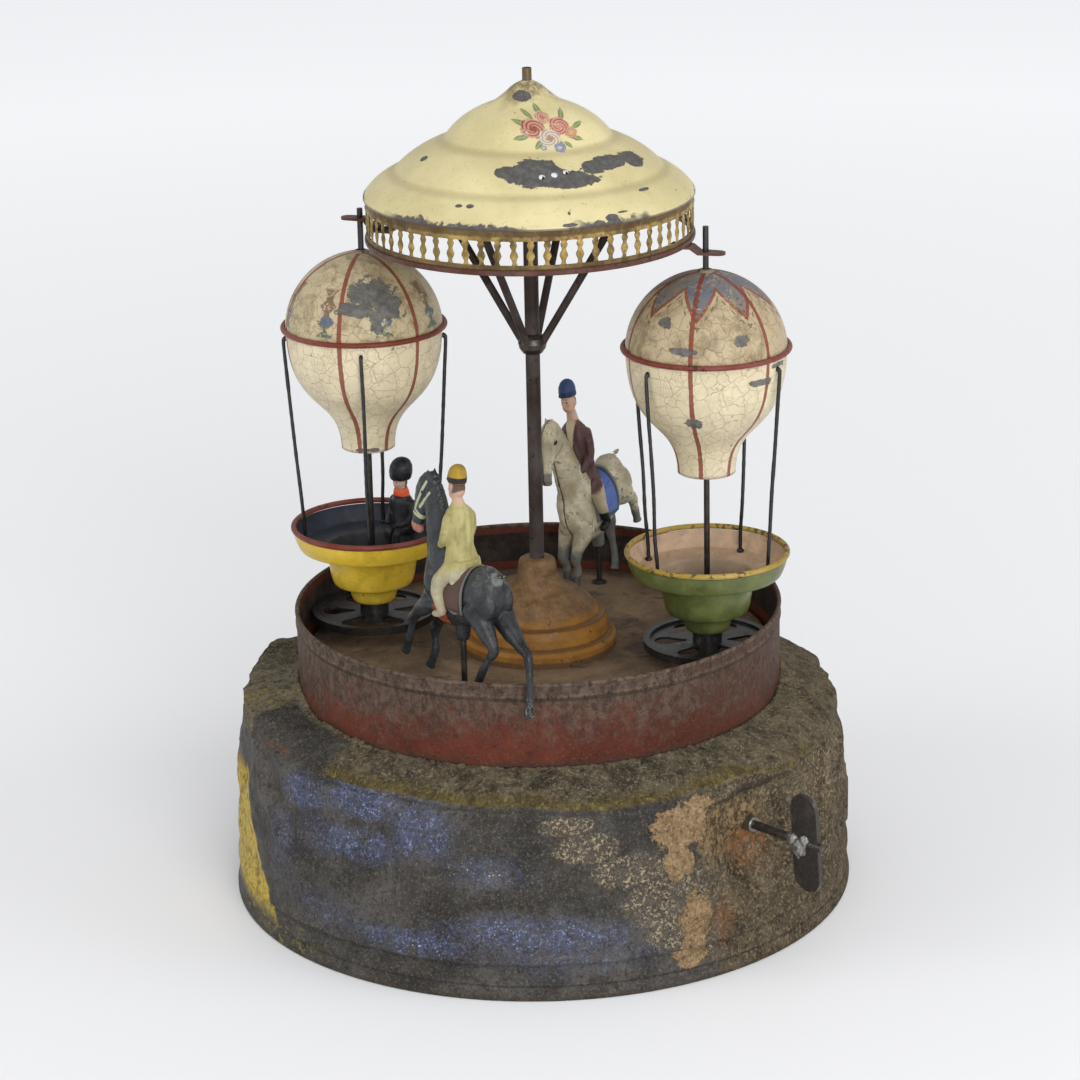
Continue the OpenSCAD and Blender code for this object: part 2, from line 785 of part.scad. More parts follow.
// Pierced band of balusters between two hoops
module gallery_band() {
    top_z = lip_z + lip_h / 2;
    gap_z = gallery_foot_z + 1.6;
    middle_r = gallery_r - gallery_t / 2;
    half_pitch = PI * middle_r / gallery_gaps;
    right = [for (p = baluster_gap) [half_pitch - p[0], gap_z + p[1] * gallery_gap_h]];
    left = [for (i = [len(right) - 1:-1:0]) [-right[i][0], right[i][1]]];
    root = 0.8;
    color("#c79a3a") {
        washer(gallery_r, gallery_r - gallery_t, gallery_foot_z, gap_z - gallery_foot_z);
        washer(gallery_r, gallery_r - gallery_t, gap_z + gallery_gap_h, top_z - gap_z - gallery_gap_h);
        for (i = [0:gallery_gaps - 1])
            rotate([90, 0, 360 * i / gallery_gaps]) translate([0, 0, middle_r])
                linear_extrude(gallery_t - 0.2, center = true) polygon(concat(
                    [[right[0][0], right[0][1] - root]], right, [[right[4][0], right[4][1] + root]],
                    [[left[0][0], left[0][1] + root]], left, [[left[4][0], left[4][1] - root]]
                ));
    }
}

module gallery_ring() {
    color("#5c2018") turned([
        [gallery_r - 1.2, arm_z], [gallery_r + 0.5, arm_z], [gallery_r + 0.7, arm_z + 0.5],
        [gallery_r + 0.7, arm_z + 1.5], [gallery_r + 0.4, gallery_foot_z], [gallery_r - 1.2, gallery_foot_z]
    ]);
}

// Strip under the gallery, bent up or down outside it, that holds the top of a balloon's rod
module arm(a, rise) {
    start = 58;
    round_r = 3;
    bend = gallery_r + 1.4;
    finish = station_r + 5;
    line = [[start, 0], [bend, 0], [bend + 3.2, rise], [finish + round_r + 1, rise]];
    under = [for (i = [3:-1:0]) line[i] - [0, arm_t]];
    rotate([0, 0, a]) difference() {
        intersection() {
            translate([0, 0, arm_z]) rotate([90, 0, 0])
                linear_extrude(12, center = true) polygon(concat(line, under));
            union() {
                translate([0, 0, arm_z - 8]) linear_extrude(16)
                    polygon([[start, -4.5], [finish, -round_r], [finish, round_r], [start, 4.5]]);
                translate([finish, 0, arm_z - 8]) cylinder(h = 16, r = round_r, $fn = 48);
            }
        }
        translate([station_r, 0, arm_z - 8]) cylinder(h = 16, r = rod_r + running, $fn = 48);
    }
}

module arm_left() {
    color("#5c2018") arm(left_angle, left_arm_rise);
}

module arm_right() {
    color("#5c2018") arm(station_angle, right_arm_rise);
}

// Balloons

module at_station(a) {
    rotate([0, 0, a]) translate([station_r, 0, 0]) rotate([0, 0, -a]) children();
}

module rod() {
    translate([0, 0, rod_foot_z]) cylinder(h = rod_top_z - rod_foot_z, r = rod_r, $fn = 48);
}

module balloon_top() {
    outside = arc([0, centre_z], balloon_r, asin((bead_z - centre_z) / balloon_r), 86, 16);
    difference() {
        turned(walled(outside, balloon_t));
        translate([0, 0, bead_z]) cylinder(h = balloon_r + 2, r = rod_r + seat, $fn = 48);
        translate([0, 0, bead_z - 3]) cylinder(h = 3 + seat, r = balloon_r + 3);
    }
    washer(3.2, rod_r + seat, centre_z + balloon_r - 0.4, 0.8);
}

module balloon_bottom() {
    belly = balloon_r - 0.2;
    line = curve([belly, 0], [belly, -0.69 * balloon_drop], [mouth_r + 0.5, -0.54 * balloon_drop],
        [mouth_r - 0.8, 1 - balloon_drop], 16);
    outside = concat([[rod_r + seat, -balloon_drop], [mouth_r, -balloon_drop]],
        [for (i = [16:-1:0]) line[i]]);
    translate([0, 0, bead_z]) turned(walled(outside, balloon_t));
}

module balloon_bead() {
    translate([0, 0, bead_z]) difference() {
        turned(arc([balloon_r + 0.8, 0], bead_r, 0, 345, 15));
        translate([0, 0, -3]) cylinder(h = 6, r = balloon_r + seat);
    }
}

// Four wires from a balloon down to its gondola
module wires(turns) {
    top = [balloon_r + 0.9, bead_z - 7];
    foot = [well_r + 8.6, seat_z + 0.9];
    for (a = turns)
        rotate([0, 0, a]) translate([foot[0], 0, foot[1]])
            rotate([0, atan2(top[0] - foot[0], top[1] - foot[1]), 0])
                cylinder(h = norm(top - foot), r = wire_r, $fn = 32);
}

module gondola() {
    s = well_h;
    outside = [
        [rod_r + seat, 0], [8.2, 0.4], [9.4, 2.3], [10.4, 7.1], [10.8, 7.9], [well_r - 3.2, 8.2],
        [well_r - 2, 9.5], [well_r - 0.8, s - 9.4], [well_r, s - 1.2], [well_r + 0.4, s - 0.4],
        [gondola_r - 2.8, s], [gondola_r - 2, s + 1], [gondola_r - 0.4, s + bowl_h - 2.7],
        [gondola_r, s + bowl_h]
    ];
    translate([0, 0, gondola_z]) turned(walled(outside, gondola_t));
}

module gondola_rim() {
    rim_z = gondola_z + well_h + bowl_h + 0.2;
    turned(arc([gondola_r - 0.1, rim_z + 1.15], 1.15, -84, 264, 15));
}

module friction_wheel() {
    bore = rod_r + seat;
    hub_r = 6;
    web = [wheel_h / 2 - 0.5, wheel_h / 2 + 0.5];
    in_r = wheel_r - wheel_rim_w;
    hole_r = 0.25 * (in_r - hub_r);
    hole_at = in_r - 1.45 * hole_r;
    translate([0, 0, wheel_z]) difference() {
        turned([
            [bore, -0.7], [hub_r, -0.7], [hub_r, web[0]], [in_r, web[0]], [in_r, 0], [wheel_r, 0],
            [wheel_r, wheel_h], [in_r, wheel_h], [in_r, web[1]], [hub_r, web[1]],
            [hub_r, gondola_z - wheel_z], [bore, gondola_z - wheel_z]
        ]);
        for (k = [0:5])
            rotate([0, 0, 60 * k]) {
                translate([hole_at, 0, 0]) cylinder(h = wheel_h, r = hole_r, $fn = 48);
                linear_extrude(wheel_h) polygon([
                    [hub_r + 0.5 * hole_r, -0.2 * hole_r], [hole_at, -hole_r], [hole_at, hole_r],
                    [hub_r + 0.5 * hole_r, 0.2 * hole_r]
                ]);
            }
    }
}

module rod_left() {
    color("#77736d") at_station(left_angle) rod();
}

module rod_right() {
    color("#77736d") at_station(station_angle) rod();
}

module balloon_left_top() {
    color("#d8cba4") at_station(left_angle) balloon_top();
}

module balloon_right_top() {
    color("#d8cba4") at_station(station_angle) balloon_top();
}

module balloon_left_bottom() {
    color("#d3c59c") at_station(left_angle) balloon_bottom();
}

module balloon_right_bottom() {
    color("#d3c59c") at_station(station_angle) balloon_bottom();
}

module balloon_left_bead() {
    color("#7e2f22") at_station(left_angle) balloon_bead();
}

module balloon_right_bead() {
    color("#7e2f22") at_station(station_angle) balloon_bead();
}

module wires_left() {
    color("#6f6b64") at_station(left_angle) wires(left_wire_turns);
}

module wires_right() {
    color("#6f6b64") at_station(station_angle) wires(right_wire_turns);
}

module gondola_left() {
    color("#c9a54a") at_station(left_angle) gondola();
}

module gondola_right() {
    color("#5d7b4d") at_station(station_angle) gondola();
}

module gondola_left_rim() {
    color("#7e2f22") at_station(left_angle) gondola_rim();
}

module gondola_right_rim() {
    color("#c9a54a") at_station(station_angle) gondola_rim();
}

module wheel_left() {
    color("#5a544c") at_station(left_angle) friction_wheel();
}

module wheel_right() {
    color("#5a544c") at_station(station_angle) friction_wheel();
}

// Passenger who sits on the gondola's ledge with the legs in the well, facing the rod
module passenger() {
    place_angle = 42;
    place_r = 17.6;
    color("#3a3532") at_station(left_angle) rotate([0, 0, place_angle])
        translate([place_r, 0, seat_z + gondola_t + 0.3]) rotate([0, 0, 180]) {
            skin([-0.5, 0, 0], [
                level_oval(-0.5, 0.6, 4.4, 5.6), level_oval(-0.4, 3, 5, 6), level_oval(-0.2, 9, 4.4, 5.6),
                level_oval(0, 14, 3.8, 6), level_oval(0.2, 16.4, 2.9, 4.6), level_oval(0.6, 18, 2.1, 2.2),
                level_oval(1, 19.6, 3, 2.7), level_oval(1.2, 22.4, 3.3, 2.9), level_oval(1, 24, 3.4, 3.2),
                level_oval(0.9, 25, 4.8, 4.6), level_oval(0.7, 27.4, 5.2, 5), level_oval(0.4, 30, 4.9, 4.7),
                level_oval(0.1, 32.2, 3.6, 3.4)
            ], [0, 0, 33.4]);
            for (side = [-1, 1]) {
                limb([[0.2, side * 5.4, 14, 2.1], [1.6, side * 6.6, 8, 1.8], [6, side * 3.4, 5.4, 1.5]]);
                limb([[0, side * 2.8, 2.4, 2.4], [5.6, side * 2.8, 1.9, 2], [7, side * 2.6, -6, 1.6]]);
            }
        }
}

// Horses

// Body of a horse that faces +X, over the top of its pin, grown by a thickness
module horse_trunk(grow, croup) {
    rings = [
        [-21, 22 + croup, 3.4, 5.5], [-18, 21.5 + croup, 6.8, 10.5], [-12, 21 + 0.7 * croup, 8.2, 13],
        [-4, 17.5, 7.8, 11.5],
        [4, 15, 7.4, 12.3], [11, 17, 7.4, 13.5], [16, 21, 6.6, 13.5], [19, 23.5, 4, 9.5]
    ];
    skin([-22.5 - grow, 0, 22 + croup], [for (r = rings) oval(r[0], r[1], 0, r[2] + grow, r[3] + grow)],
        [20.2 + grow, 0, 24]);
}

module horse_neck() {
    rings = [[9, 26, 65, 6.4, 11], [13, 36, 68, 5, 8.5], [16, 46, 68, 4, 6.8], [18, 54, 60, 3.6, 6]];
    skin([6, 0, 20], [for (r = rings) oval(r[0], r[1], r[2], r[3], r[4])], [19.4, 0, 58]);
}

module horse_head() {
    rings = [
        [19, 60, -50, 3.2, 4.5], [22.5, 56, -62, 3.6, 5.6], [25, 50, -68, 3, 4.6],
        [27.3, 43.5, -70, 2.3, 3.2], [28.7, 39.5, -70, 2.2, 3]
    ];
    skin([17.5, 0, 63], [for (r = rings) oval(r[0], r[1], r[2], r[3], r[4], 12)], [29.3, 0, 37.5]);
    for (side = [-1, 1])
        translate([20.2, side * 1.7, 59.6]) cylinder(h = 5.4, r1 = 1.7, r2 = 0.3, $fn = 8);
}

module horse_figure(legs, croup) {
    difference() {
        union() {
            horse_trunk(0, croup);
            horse_neck();
            horse_head();
            for (leg = legs) limb(leg);
            translate([-16.5, 0, 29.5 + croup]) rotate([0, -70, 0]) cylinder(h = 8, r1 = 2.6, r2 = 1.8, $fn = 12);
            translate([0, 0, -0.6]) cylinder(h = 9, r1 = 2.6, r2 = 3.4, $fn = 16);
        }
        pin_hole();
    }
}

// Hole in the boss under the belly for the pin, which stands upright
module pin_hole() {
    translate([0, 0, -2]) cylinder(h = boss_depth + 2.3, r = pin_r + 0.5, $fn = 16);
}

module horse_cloth(legs, croup) {
    difference() {
        intersection() {
            horse_trunk(cloth_t, croup);
            translate([-8.5, -12, 12.5]) cube([16.5, 24, 24]);
        }
        horse_figure(legs, croup);
    }
}

// Rider who sits on the cloth, with a plain head under a peaked cap. The coat's skirt has a half
// width, and shoulders and head are raised by their own amounts.
module rider_figure(legs, croup, skirt, shoulders, head) {
    s = shoulders;
    h = head;
    rings = [
        [0.6, 27, 5.8, skirt], [2, 34, 4.8, (skirt + 5.4) / 2], [3, 44 + s, 5, 6.2], [3.5, 51 + s, 4.2, 6.6],
        [3.8, 54.5 + s, 2.7, 3.2], [4, 57 + (s + h) / 2, 2.3, 2.5], [4.5, 60 + h, 3.3, 3.1],
        [4.8, 64 + h, 4.1, 3.6], [4.6, 68 + h, 4, 3.7], [4, 71.2 + h, 2.8, 2.6]
    ];
    difference() {
        union() {
            skin([1, 0, 24], [for (r = rings) level_oval(r[0], r[1], r[2], r[3])], [3.6, 0, 72.4 + h]);
            translate([6.2, 0, 65.4 + h]) cylinder(h = 0.9, r = 3.6, $fn = 16);
            for (side = [-1, 1]) {
                limb([[3, side * 5.4, 48 + s, 2.6], [4.4, side * 6.4, 41 + s / 2, 2.2], [10, side * 3.1, 36.5, 1.7]]);
                limb([[3, side * 5, 28, 4], [5.4, side * 8.9, 21, 2.9], [2.6, side * 8.9, 12.6, 2.1],
                    [5.8, side * 8.9, 10.6, 1.7]]);
            }
        }
        horse_figure(legs, croup);
        horse_trunk(cloth_t, croup);
    }
}

// Legs of the horses, each a chain of places with a radius
black_legs = [
    [[15, 4.5, 12, 4], [25, 4.6, 3, 2.3], [27.5, 4.4, -6, 1.5], [29.5, 4.2, -12, 2]],
    [[14, -4.5, 10, 4], [22, -4.4, -3, 2.3], [22, -4.2, -12, 1.5], [24, -4.2, -18.5, 2]],
    [[-14, 5, 16, 5.5], [-24, 5, 3, 2.4], [-18, 5, -7, 1.6], [-15, 5, -13.5, 2.1]],
    [[-15, -5, 15, 5.5], [-24, -3.6, 9, 4.2], [-32, -1.8, 5.4, 2.7], [-37.2, -0.8, 3.2, 2.1],
        [-39.6, 0, -3.5, 1.5], [-40.3, 0.4, -12.5, 1.4], [-40.3, 0.5, -19.8, 1.9]]
];
white_legs = [
    [[13, -4.5, 12, 4.2], [20, -4.6, 2, 2.6], [19, -4.4, -5, 1.8], [20, -4.2, -8.2, 2.2]],
    [[14, 4.5, 12, 4.2], [23, 4.6, 3, 2.6], [23.5, 4.4, -4, 1.8], [25, 4.2, -7.5, 2.2]],
    [[-14, -5, 14, 5.5], [-14.8, -4, 0, 2.2], [-13.4, -2.5, -9, 1.6], [-11.4, -2, -14.9, 2.1]],
    [[-15, 5, 19, 5.5], [-19.5, 6.5, 15.5, 2.8], [-20, 7.2, 9.5, 1.8], [-20.3, 7.4, 5.6, 2]]
];

module on_pin(place, top_z, lean, heading) {
    translate([place[0], place[1], top_z]) rotate([0, -lean, 0]) rotate([0, 0, heading]) children();
}

module horse_pin(place, top_z) {
    collar_z = 1.4;
    translate([place[0], place[1], top_z - pin_len]) {
        cylinder(h = pin_len + boss_depth, r = pin_r, $fn = 48);
        translate([0, 0, collar_z]) cylinder(h = 1.5, r = 2 * pin_r, $fn = 48);
    }
}

module pin_black() {
    color("#77736d") horse_pin(black_place, black_top_z);
}

module horse_black() {
    color("#2c2b2b") on_pin(black_place, black_top_z, black_lean, black_heading)
        horse_figure(black_legs, 0);
}

module saddle_black() {
    color("#6b3f26") on_pin(black_place, black_top_z, black_lean, black_heading)
        horse_cloth(black_legs, 0);
}

module rider_black() {
    color("#b9a23c") on_pin(black_place, black_top_z, black_lean, black_heading)
        rider_figure(black_legs, 0, 8.4, 0, -2);
}

module pin_white() {
    color("#77736d") horse_pin(white_place, white_top_z);
}

module horse_white() {
    color("#cfc8b4") on_pin(white_place, white_top_z, white_lean, white_heading)
        horse_figure(white_legs, white_croup);
}

module saddle_white() {
    color("#3f5f86") on_pin(white_place, white_top_z, white_lean, white_heading)
        horse_cloth(white_legs, white_croup);
}

module rider_white() {
    color("#7a2a2a") on_pin(white_place, white_top_z, white_lean, white_heading)
        rider_figure(white_legs, white_croup, 6, white_rise, white_rise + 1);
}

foot_hem();
bottom_plate();
rock_shell();
drum_wall();
deck_plate();
spindle_bearing();
bearing_bridge();
crank_frame();
crank_bush();
comb_bracket();
music_comb();
comb_screws();
crank_shaft();
wing_key();
key_solder();
drive_pinion();
pin_barrel();
spindle();
spindle_collar();
crown_wheel();
turntable();
pedestal();
column();
strut_solder();
canopy_struts();
canopy_dome();
finial_stub();
gallery_band();
gallery_ring();
arm_left();
arm_right();
pivot_cups();
pin_sockets();
rod_left();
balloon_left_top();
balloon_left_bottom();
balloon_left_bead();
wires_left();
gondola_left();
gondola_left_rim();
wheel_left();
passenger();
rod_right();
balloon_right_top();
balloon_right_bottom();
balloon_right_bead();
wires_right();
gondola_right();
gondola_right_rim();
wheel_right();
pin_black();
horse_black();
saddle_black();
rider_black();
pin_white();
horse_white();
saddle_white();
rider_white();
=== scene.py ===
"""Looks of the tin musical carousel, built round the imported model's nodes.

Run as a script it makes every piece and the stage. Sizes are in metres, in the model's frame.
"""
import math
import random

import bmesh
import bpy
from bpy.props import FloatProperty, FloatVectorProperty, IntProperty, PointerProperty
from mathutils import Matrix, Vector, noise


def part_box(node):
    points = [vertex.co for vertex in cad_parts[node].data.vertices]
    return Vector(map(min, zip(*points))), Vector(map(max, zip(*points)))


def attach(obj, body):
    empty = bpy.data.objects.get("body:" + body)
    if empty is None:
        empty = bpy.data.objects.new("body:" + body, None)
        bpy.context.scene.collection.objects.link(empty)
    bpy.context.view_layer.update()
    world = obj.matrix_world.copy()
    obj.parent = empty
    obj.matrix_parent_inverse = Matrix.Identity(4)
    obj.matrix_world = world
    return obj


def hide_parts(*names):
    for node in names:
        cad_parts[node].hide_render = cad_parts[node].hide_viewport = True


bl_info = {
    "name": "Tin Musical Carousel",
    "version": (1, 0, 0),
    "blender": (4, 5, 0),
    "location": "View3D > Sidebar > Carousel",
    "description": "Dresses a tin carousel with old paint, cast horses and a crumpled rock base",
    "category": "Object",
}

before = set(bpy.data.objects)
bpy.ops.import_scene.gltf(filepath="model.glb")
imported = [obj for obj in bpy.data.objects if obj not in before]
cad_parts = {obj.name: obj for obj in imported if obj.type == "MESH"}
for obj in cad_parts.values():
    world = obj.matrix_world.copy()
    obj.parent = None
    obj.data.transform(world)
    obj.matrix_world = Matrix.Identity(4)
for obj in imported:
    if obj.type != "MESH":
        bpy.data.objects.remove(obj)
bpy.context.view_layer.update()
MM = 0.001

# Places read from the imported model
HEM_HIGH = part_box("foot_hem")[1]
TABLE_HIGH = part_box("turntable")[1]
DOME_LOW, DOME_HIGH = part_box("canopy_dome")
BAND_LOW, BAND_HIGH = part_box("gallery_band")
FOOT_R = HEM_HIGH.x / MM
TABLE_Z = TABLE_HIGH.z / MM
CANOPY_R = DOME_HIGH.x / MM
LIP_Z = DOME_LOW.z / MM
STATION_ANGLE = {"left": 162.0, "right": -18.0}
STATION_R = 72.5
BEAD_Z = TABLE_Z + 132.2
GONDOLA_Z = TABLE_Z + 12.4
CRANK_ANGLE = -45.5
CRANK_Z = 54.0
CRANK_DENT_R = FOOT_R - 12.9
ROCK_SIDES = 840
ROCK_TOP_R = 100.05
GONDOLA_SEAT = 24.7
WHEEL_TRACK = STATION_R * MM
RIDER_BUILD = {"black": (8.4, 0.0, -2.0), "white": (6.0, 3.5, 4.5)}
WIRE_TURNS = {"left": (0, 82, 180, 270), "right": (-33, 57, 147, 222)}
CANOPY_HOLES = [((x, y, LIP_Z + z), (0.11, -0.52, 0.85), r) for x, y, z, r in
                ((5.0, -46.8, 16.7, 1.3), (9.8, -45.4, 17.2, 1.3), (14.2, -43.4, 17.7, 1.15))]

# Camera fitted to the photo: degrees down, aside and of tilt; focal length in pixels; place
CAMERA_PITCH, CAMERA_YAW, CAMERA_ROLL = 18.53, 0.06, -1.20
CAMERA_FOCUS, PICTURE_SIDE, SENSOR = 3347.6, 1080, 36
CAMERA_PLACE = (0, -1.3077, 0.5846)
STAGE_HALF = 9
LAMP_AIM = Vector((0, 0, 0.15))
# Name, place, size and share of the main lamp's power
LAMPS = (("front lamp", (0.6, -2.35, 0.95), 1.5, 1.0), ("top lamp", (0.2, -0.4, 2.4), 1.6, 0.20),
         ("right lamp", (2.0, -0.6, 1.1), 1.3, 0.32), ("left lamp", (-2.0, -0.6, 1.1), 1.3, 0.32))


def station(side):
    """Foot of a balloon's rod, in millimetres."""
    a = math.radians(STATION_ANGLE[side])
    return Vector((STATION_R * math.cos(a), STATION_R * math.sin(a), 0))


def smooth(t):
    t = min(1.0, max(0.0, t))
    return t * t * (3 - 2 * t)


def turn_diff(a, b):
    return abs((a - b + 1260) % 360 - 180)


# Colours and sizes that a user may change


def paint(name, description, colour):
    return FloatVectorProperty(name=name, description=description, subtype="COLOR",
                               size=3, min=0.0, max=1.0, default=colour)


def share(name, description, value):
    return FloatProperty(name=name, description=description, subtype="FACTOR",
                         min=0.0, max=1.0, default=value)


def length(name, description, value, low, high):
    return FloatProperty(name=name, description=description, subtype="DISTANCE", unit="LENGTH",
                         default=value, min=low, max=high)


class CarouselRock(bpy.types.PropertyGroup):
    slate: paint("Slate", "Dark slate paint of the front", (0.070, 0.066, 0.062))
    sparkle: paint("Sparkle", "Blue veils on the slate", (0.070, 0.088, 0.175))
    olive: paint("Olive", "Gritty olive band under the drum", (0.125, 0.095, 0.035))
    moss: paint("Moss", "Yellow-green grains in the band", (0.28, 0.23, 0.06))
    sand: paint("Sand", "Brown sandy coat at the right and behind", (0.135, 0.105, 0.066))
    bare: paint("Bare patch", "Tan patches where the coat fell off", (0.26, 0.165, 0.08))
    crumple: length("Crumple", "Depth of the fine dents in the tin", 0.0011, 0.0, 0.003)
    grit: share("Grit", "Strength of the grains on the rock", 0.6)


class CarouselDrum(bpy.types.PropertyGroup):
    red: paint("Red", "Paint of the drum's wall", (0.135, 0.034, 0.019))
    grime: paint("Grime", "Brown-grey layer over the red", (0.085, 0.062, 0.048))
    floor: paint("Floor", "Dusty paint of the turntable", (0.155, 0.105, 0.065))
    ochre: paint("Ochre", "Paint of the pedestal", (0.30, 0.135, 0.028))
    maroon: paint("Maroon", "Paint of the column and the struts", (0.046, 0.023, 0.016))


class CarouselCanopy(bpy.types.PropertyGroup):
    cream: paint("Cream", "Paint of the canopy", (0.66, 0.575, 0.295))
    bare: paint("Bare tin", "Dark tin in the chips", (0.095, 0.092, 0.088))
    gold: paint("Gold", "Lacquer of the gallery", (0.42, 0.29, 0.09))
    sides: IntProperty(name="Sides", description="Sides of the turned canopy",
                       default=256, min=48, max=400)
    wobble: length("Wobble", "How far the tin is out of true", 0.0004, 0.0, 0.002)
    balusters: IntProperty(name="Balusters", description="Balusters of the gallery",
                           default=64, min=24, max=96)


class CarouselBalloons(bpy.types.PropertyGroup):
    cream: paint("Cream", "Crackled paint of the balloons", (0.74, 0.64, 0.43))
    stripe: paint("Stripe", "Red-brown seams and beads", (0.20, 0.035, 0.018))
    star: paint("Star", "Grey-blue star on the right balloon", (0.085, 0.105, 0.155))
    yellow: paint("Yellow", "Outside of the left gondola", (0.74, 0.50, 0.03))
    green: paint("Green", "Outside of the right gondola", (0.095, 0.125, 0.032))
    wobble: length("Wobble", "How far the tin is out of true", 0.0003, 0.0, 0.002)


class CarouselFigures(bpy.types.PropertyGroup):
    black: paint("Black coat", "Coat of the black horse", (0.024, 0.026, 0.029))
    white: paint("White coat", "Coat of the white horse", (0.365, 0.31, 0.20))
    lead: paint("Lead", "Bare metal where the paint is worn", (0.17, 0.17, 0.165))
    yellow_green: paint("Jacket", "Jacket of the left rider", (0.42, 0.37, 0.14))
    maroon: paint("Dark jacket", "Jacket of the right rider", (0.07, 0.020, 0.015))
    grain: length("Grain", "Width of a cell when a figure is cast", 0.00042, 0.0003, 0.001)


class CarouselStage(bpy.types.PropertyGroup):
    floor: paint("Floor", "Plain pale floor", (0.875, 0.88, 0.90))
    lamp: FloatProperty(name="Lamp", description="Power of the main soft lamp",
                        default=34.0, min=0.0, max=200.0, unit="POWER")
    sky: FloatProperty(name="Sky", description="Strength of the even light from all round",
                       default=0.52, min=0.0, max=1.5)
    glow: FloatProperty(name="Far floor", description="Light the far floor adds to itself in the picture",
                        default=0.3, min=0.0, max=1.0)


# Shader nodes joined as sums


class Wire:
    """A number or colour in a node tree that can be added, scaled and compared."""

    def __init__(self, finish, socket):
        self.finish = finish
        self.socket = socket

    def __add__(self, other):
        return self.finish.sum("ADD", self, other)

    def __sub__(self, other):
        return self.finish.sum("SUBTRACT", self, other)

    def __rsub__(self, other):
        return self.finish.sum("SUBTRACT", other, self)

    def __mul__(self, other):
        return self.finish.sum("MULTIPLY", self, other)

    def __truediv__(self, other):
        return self.finish.sum("DIVIDE", self, other)

    __radd__ = __add__
    __rmul__ = __mul__

    def __abs__(self):
        return self.of("ABSOLUTE")

    def of(self, kind, other=0.0):
        return self.finish.sum(kind, self, other)

    def aside(self, angle):
        """Degrees from an angle, between -180 and 180."""
        return (self - angle + 540).of("FLOORED_MODULO", 360.0) - 180

    def ramp(self, low, high, soft=True):
        """0 below low, 1 above high; low may be the larger one."""
        node = self.finish.node("ShaderNodeMapRange")
        node.interpolation_type = "SMOOTHSTEP" if soft else "LINEAR"
        flip = low > high
        self.finish.put(node.inputs["Value"], self)
        node.inputs["From Min"].default_value = high if flip else low
        node.inputs["From Max"].default_value = low if flip else high
        node.inputs["To Min"].default_value = 1.0 if flip else 0.0
        node.inputs["To Max"].default_value = 0.0 if flip else 1.0
        return Wire(self.finish, node.outputs["Result"])


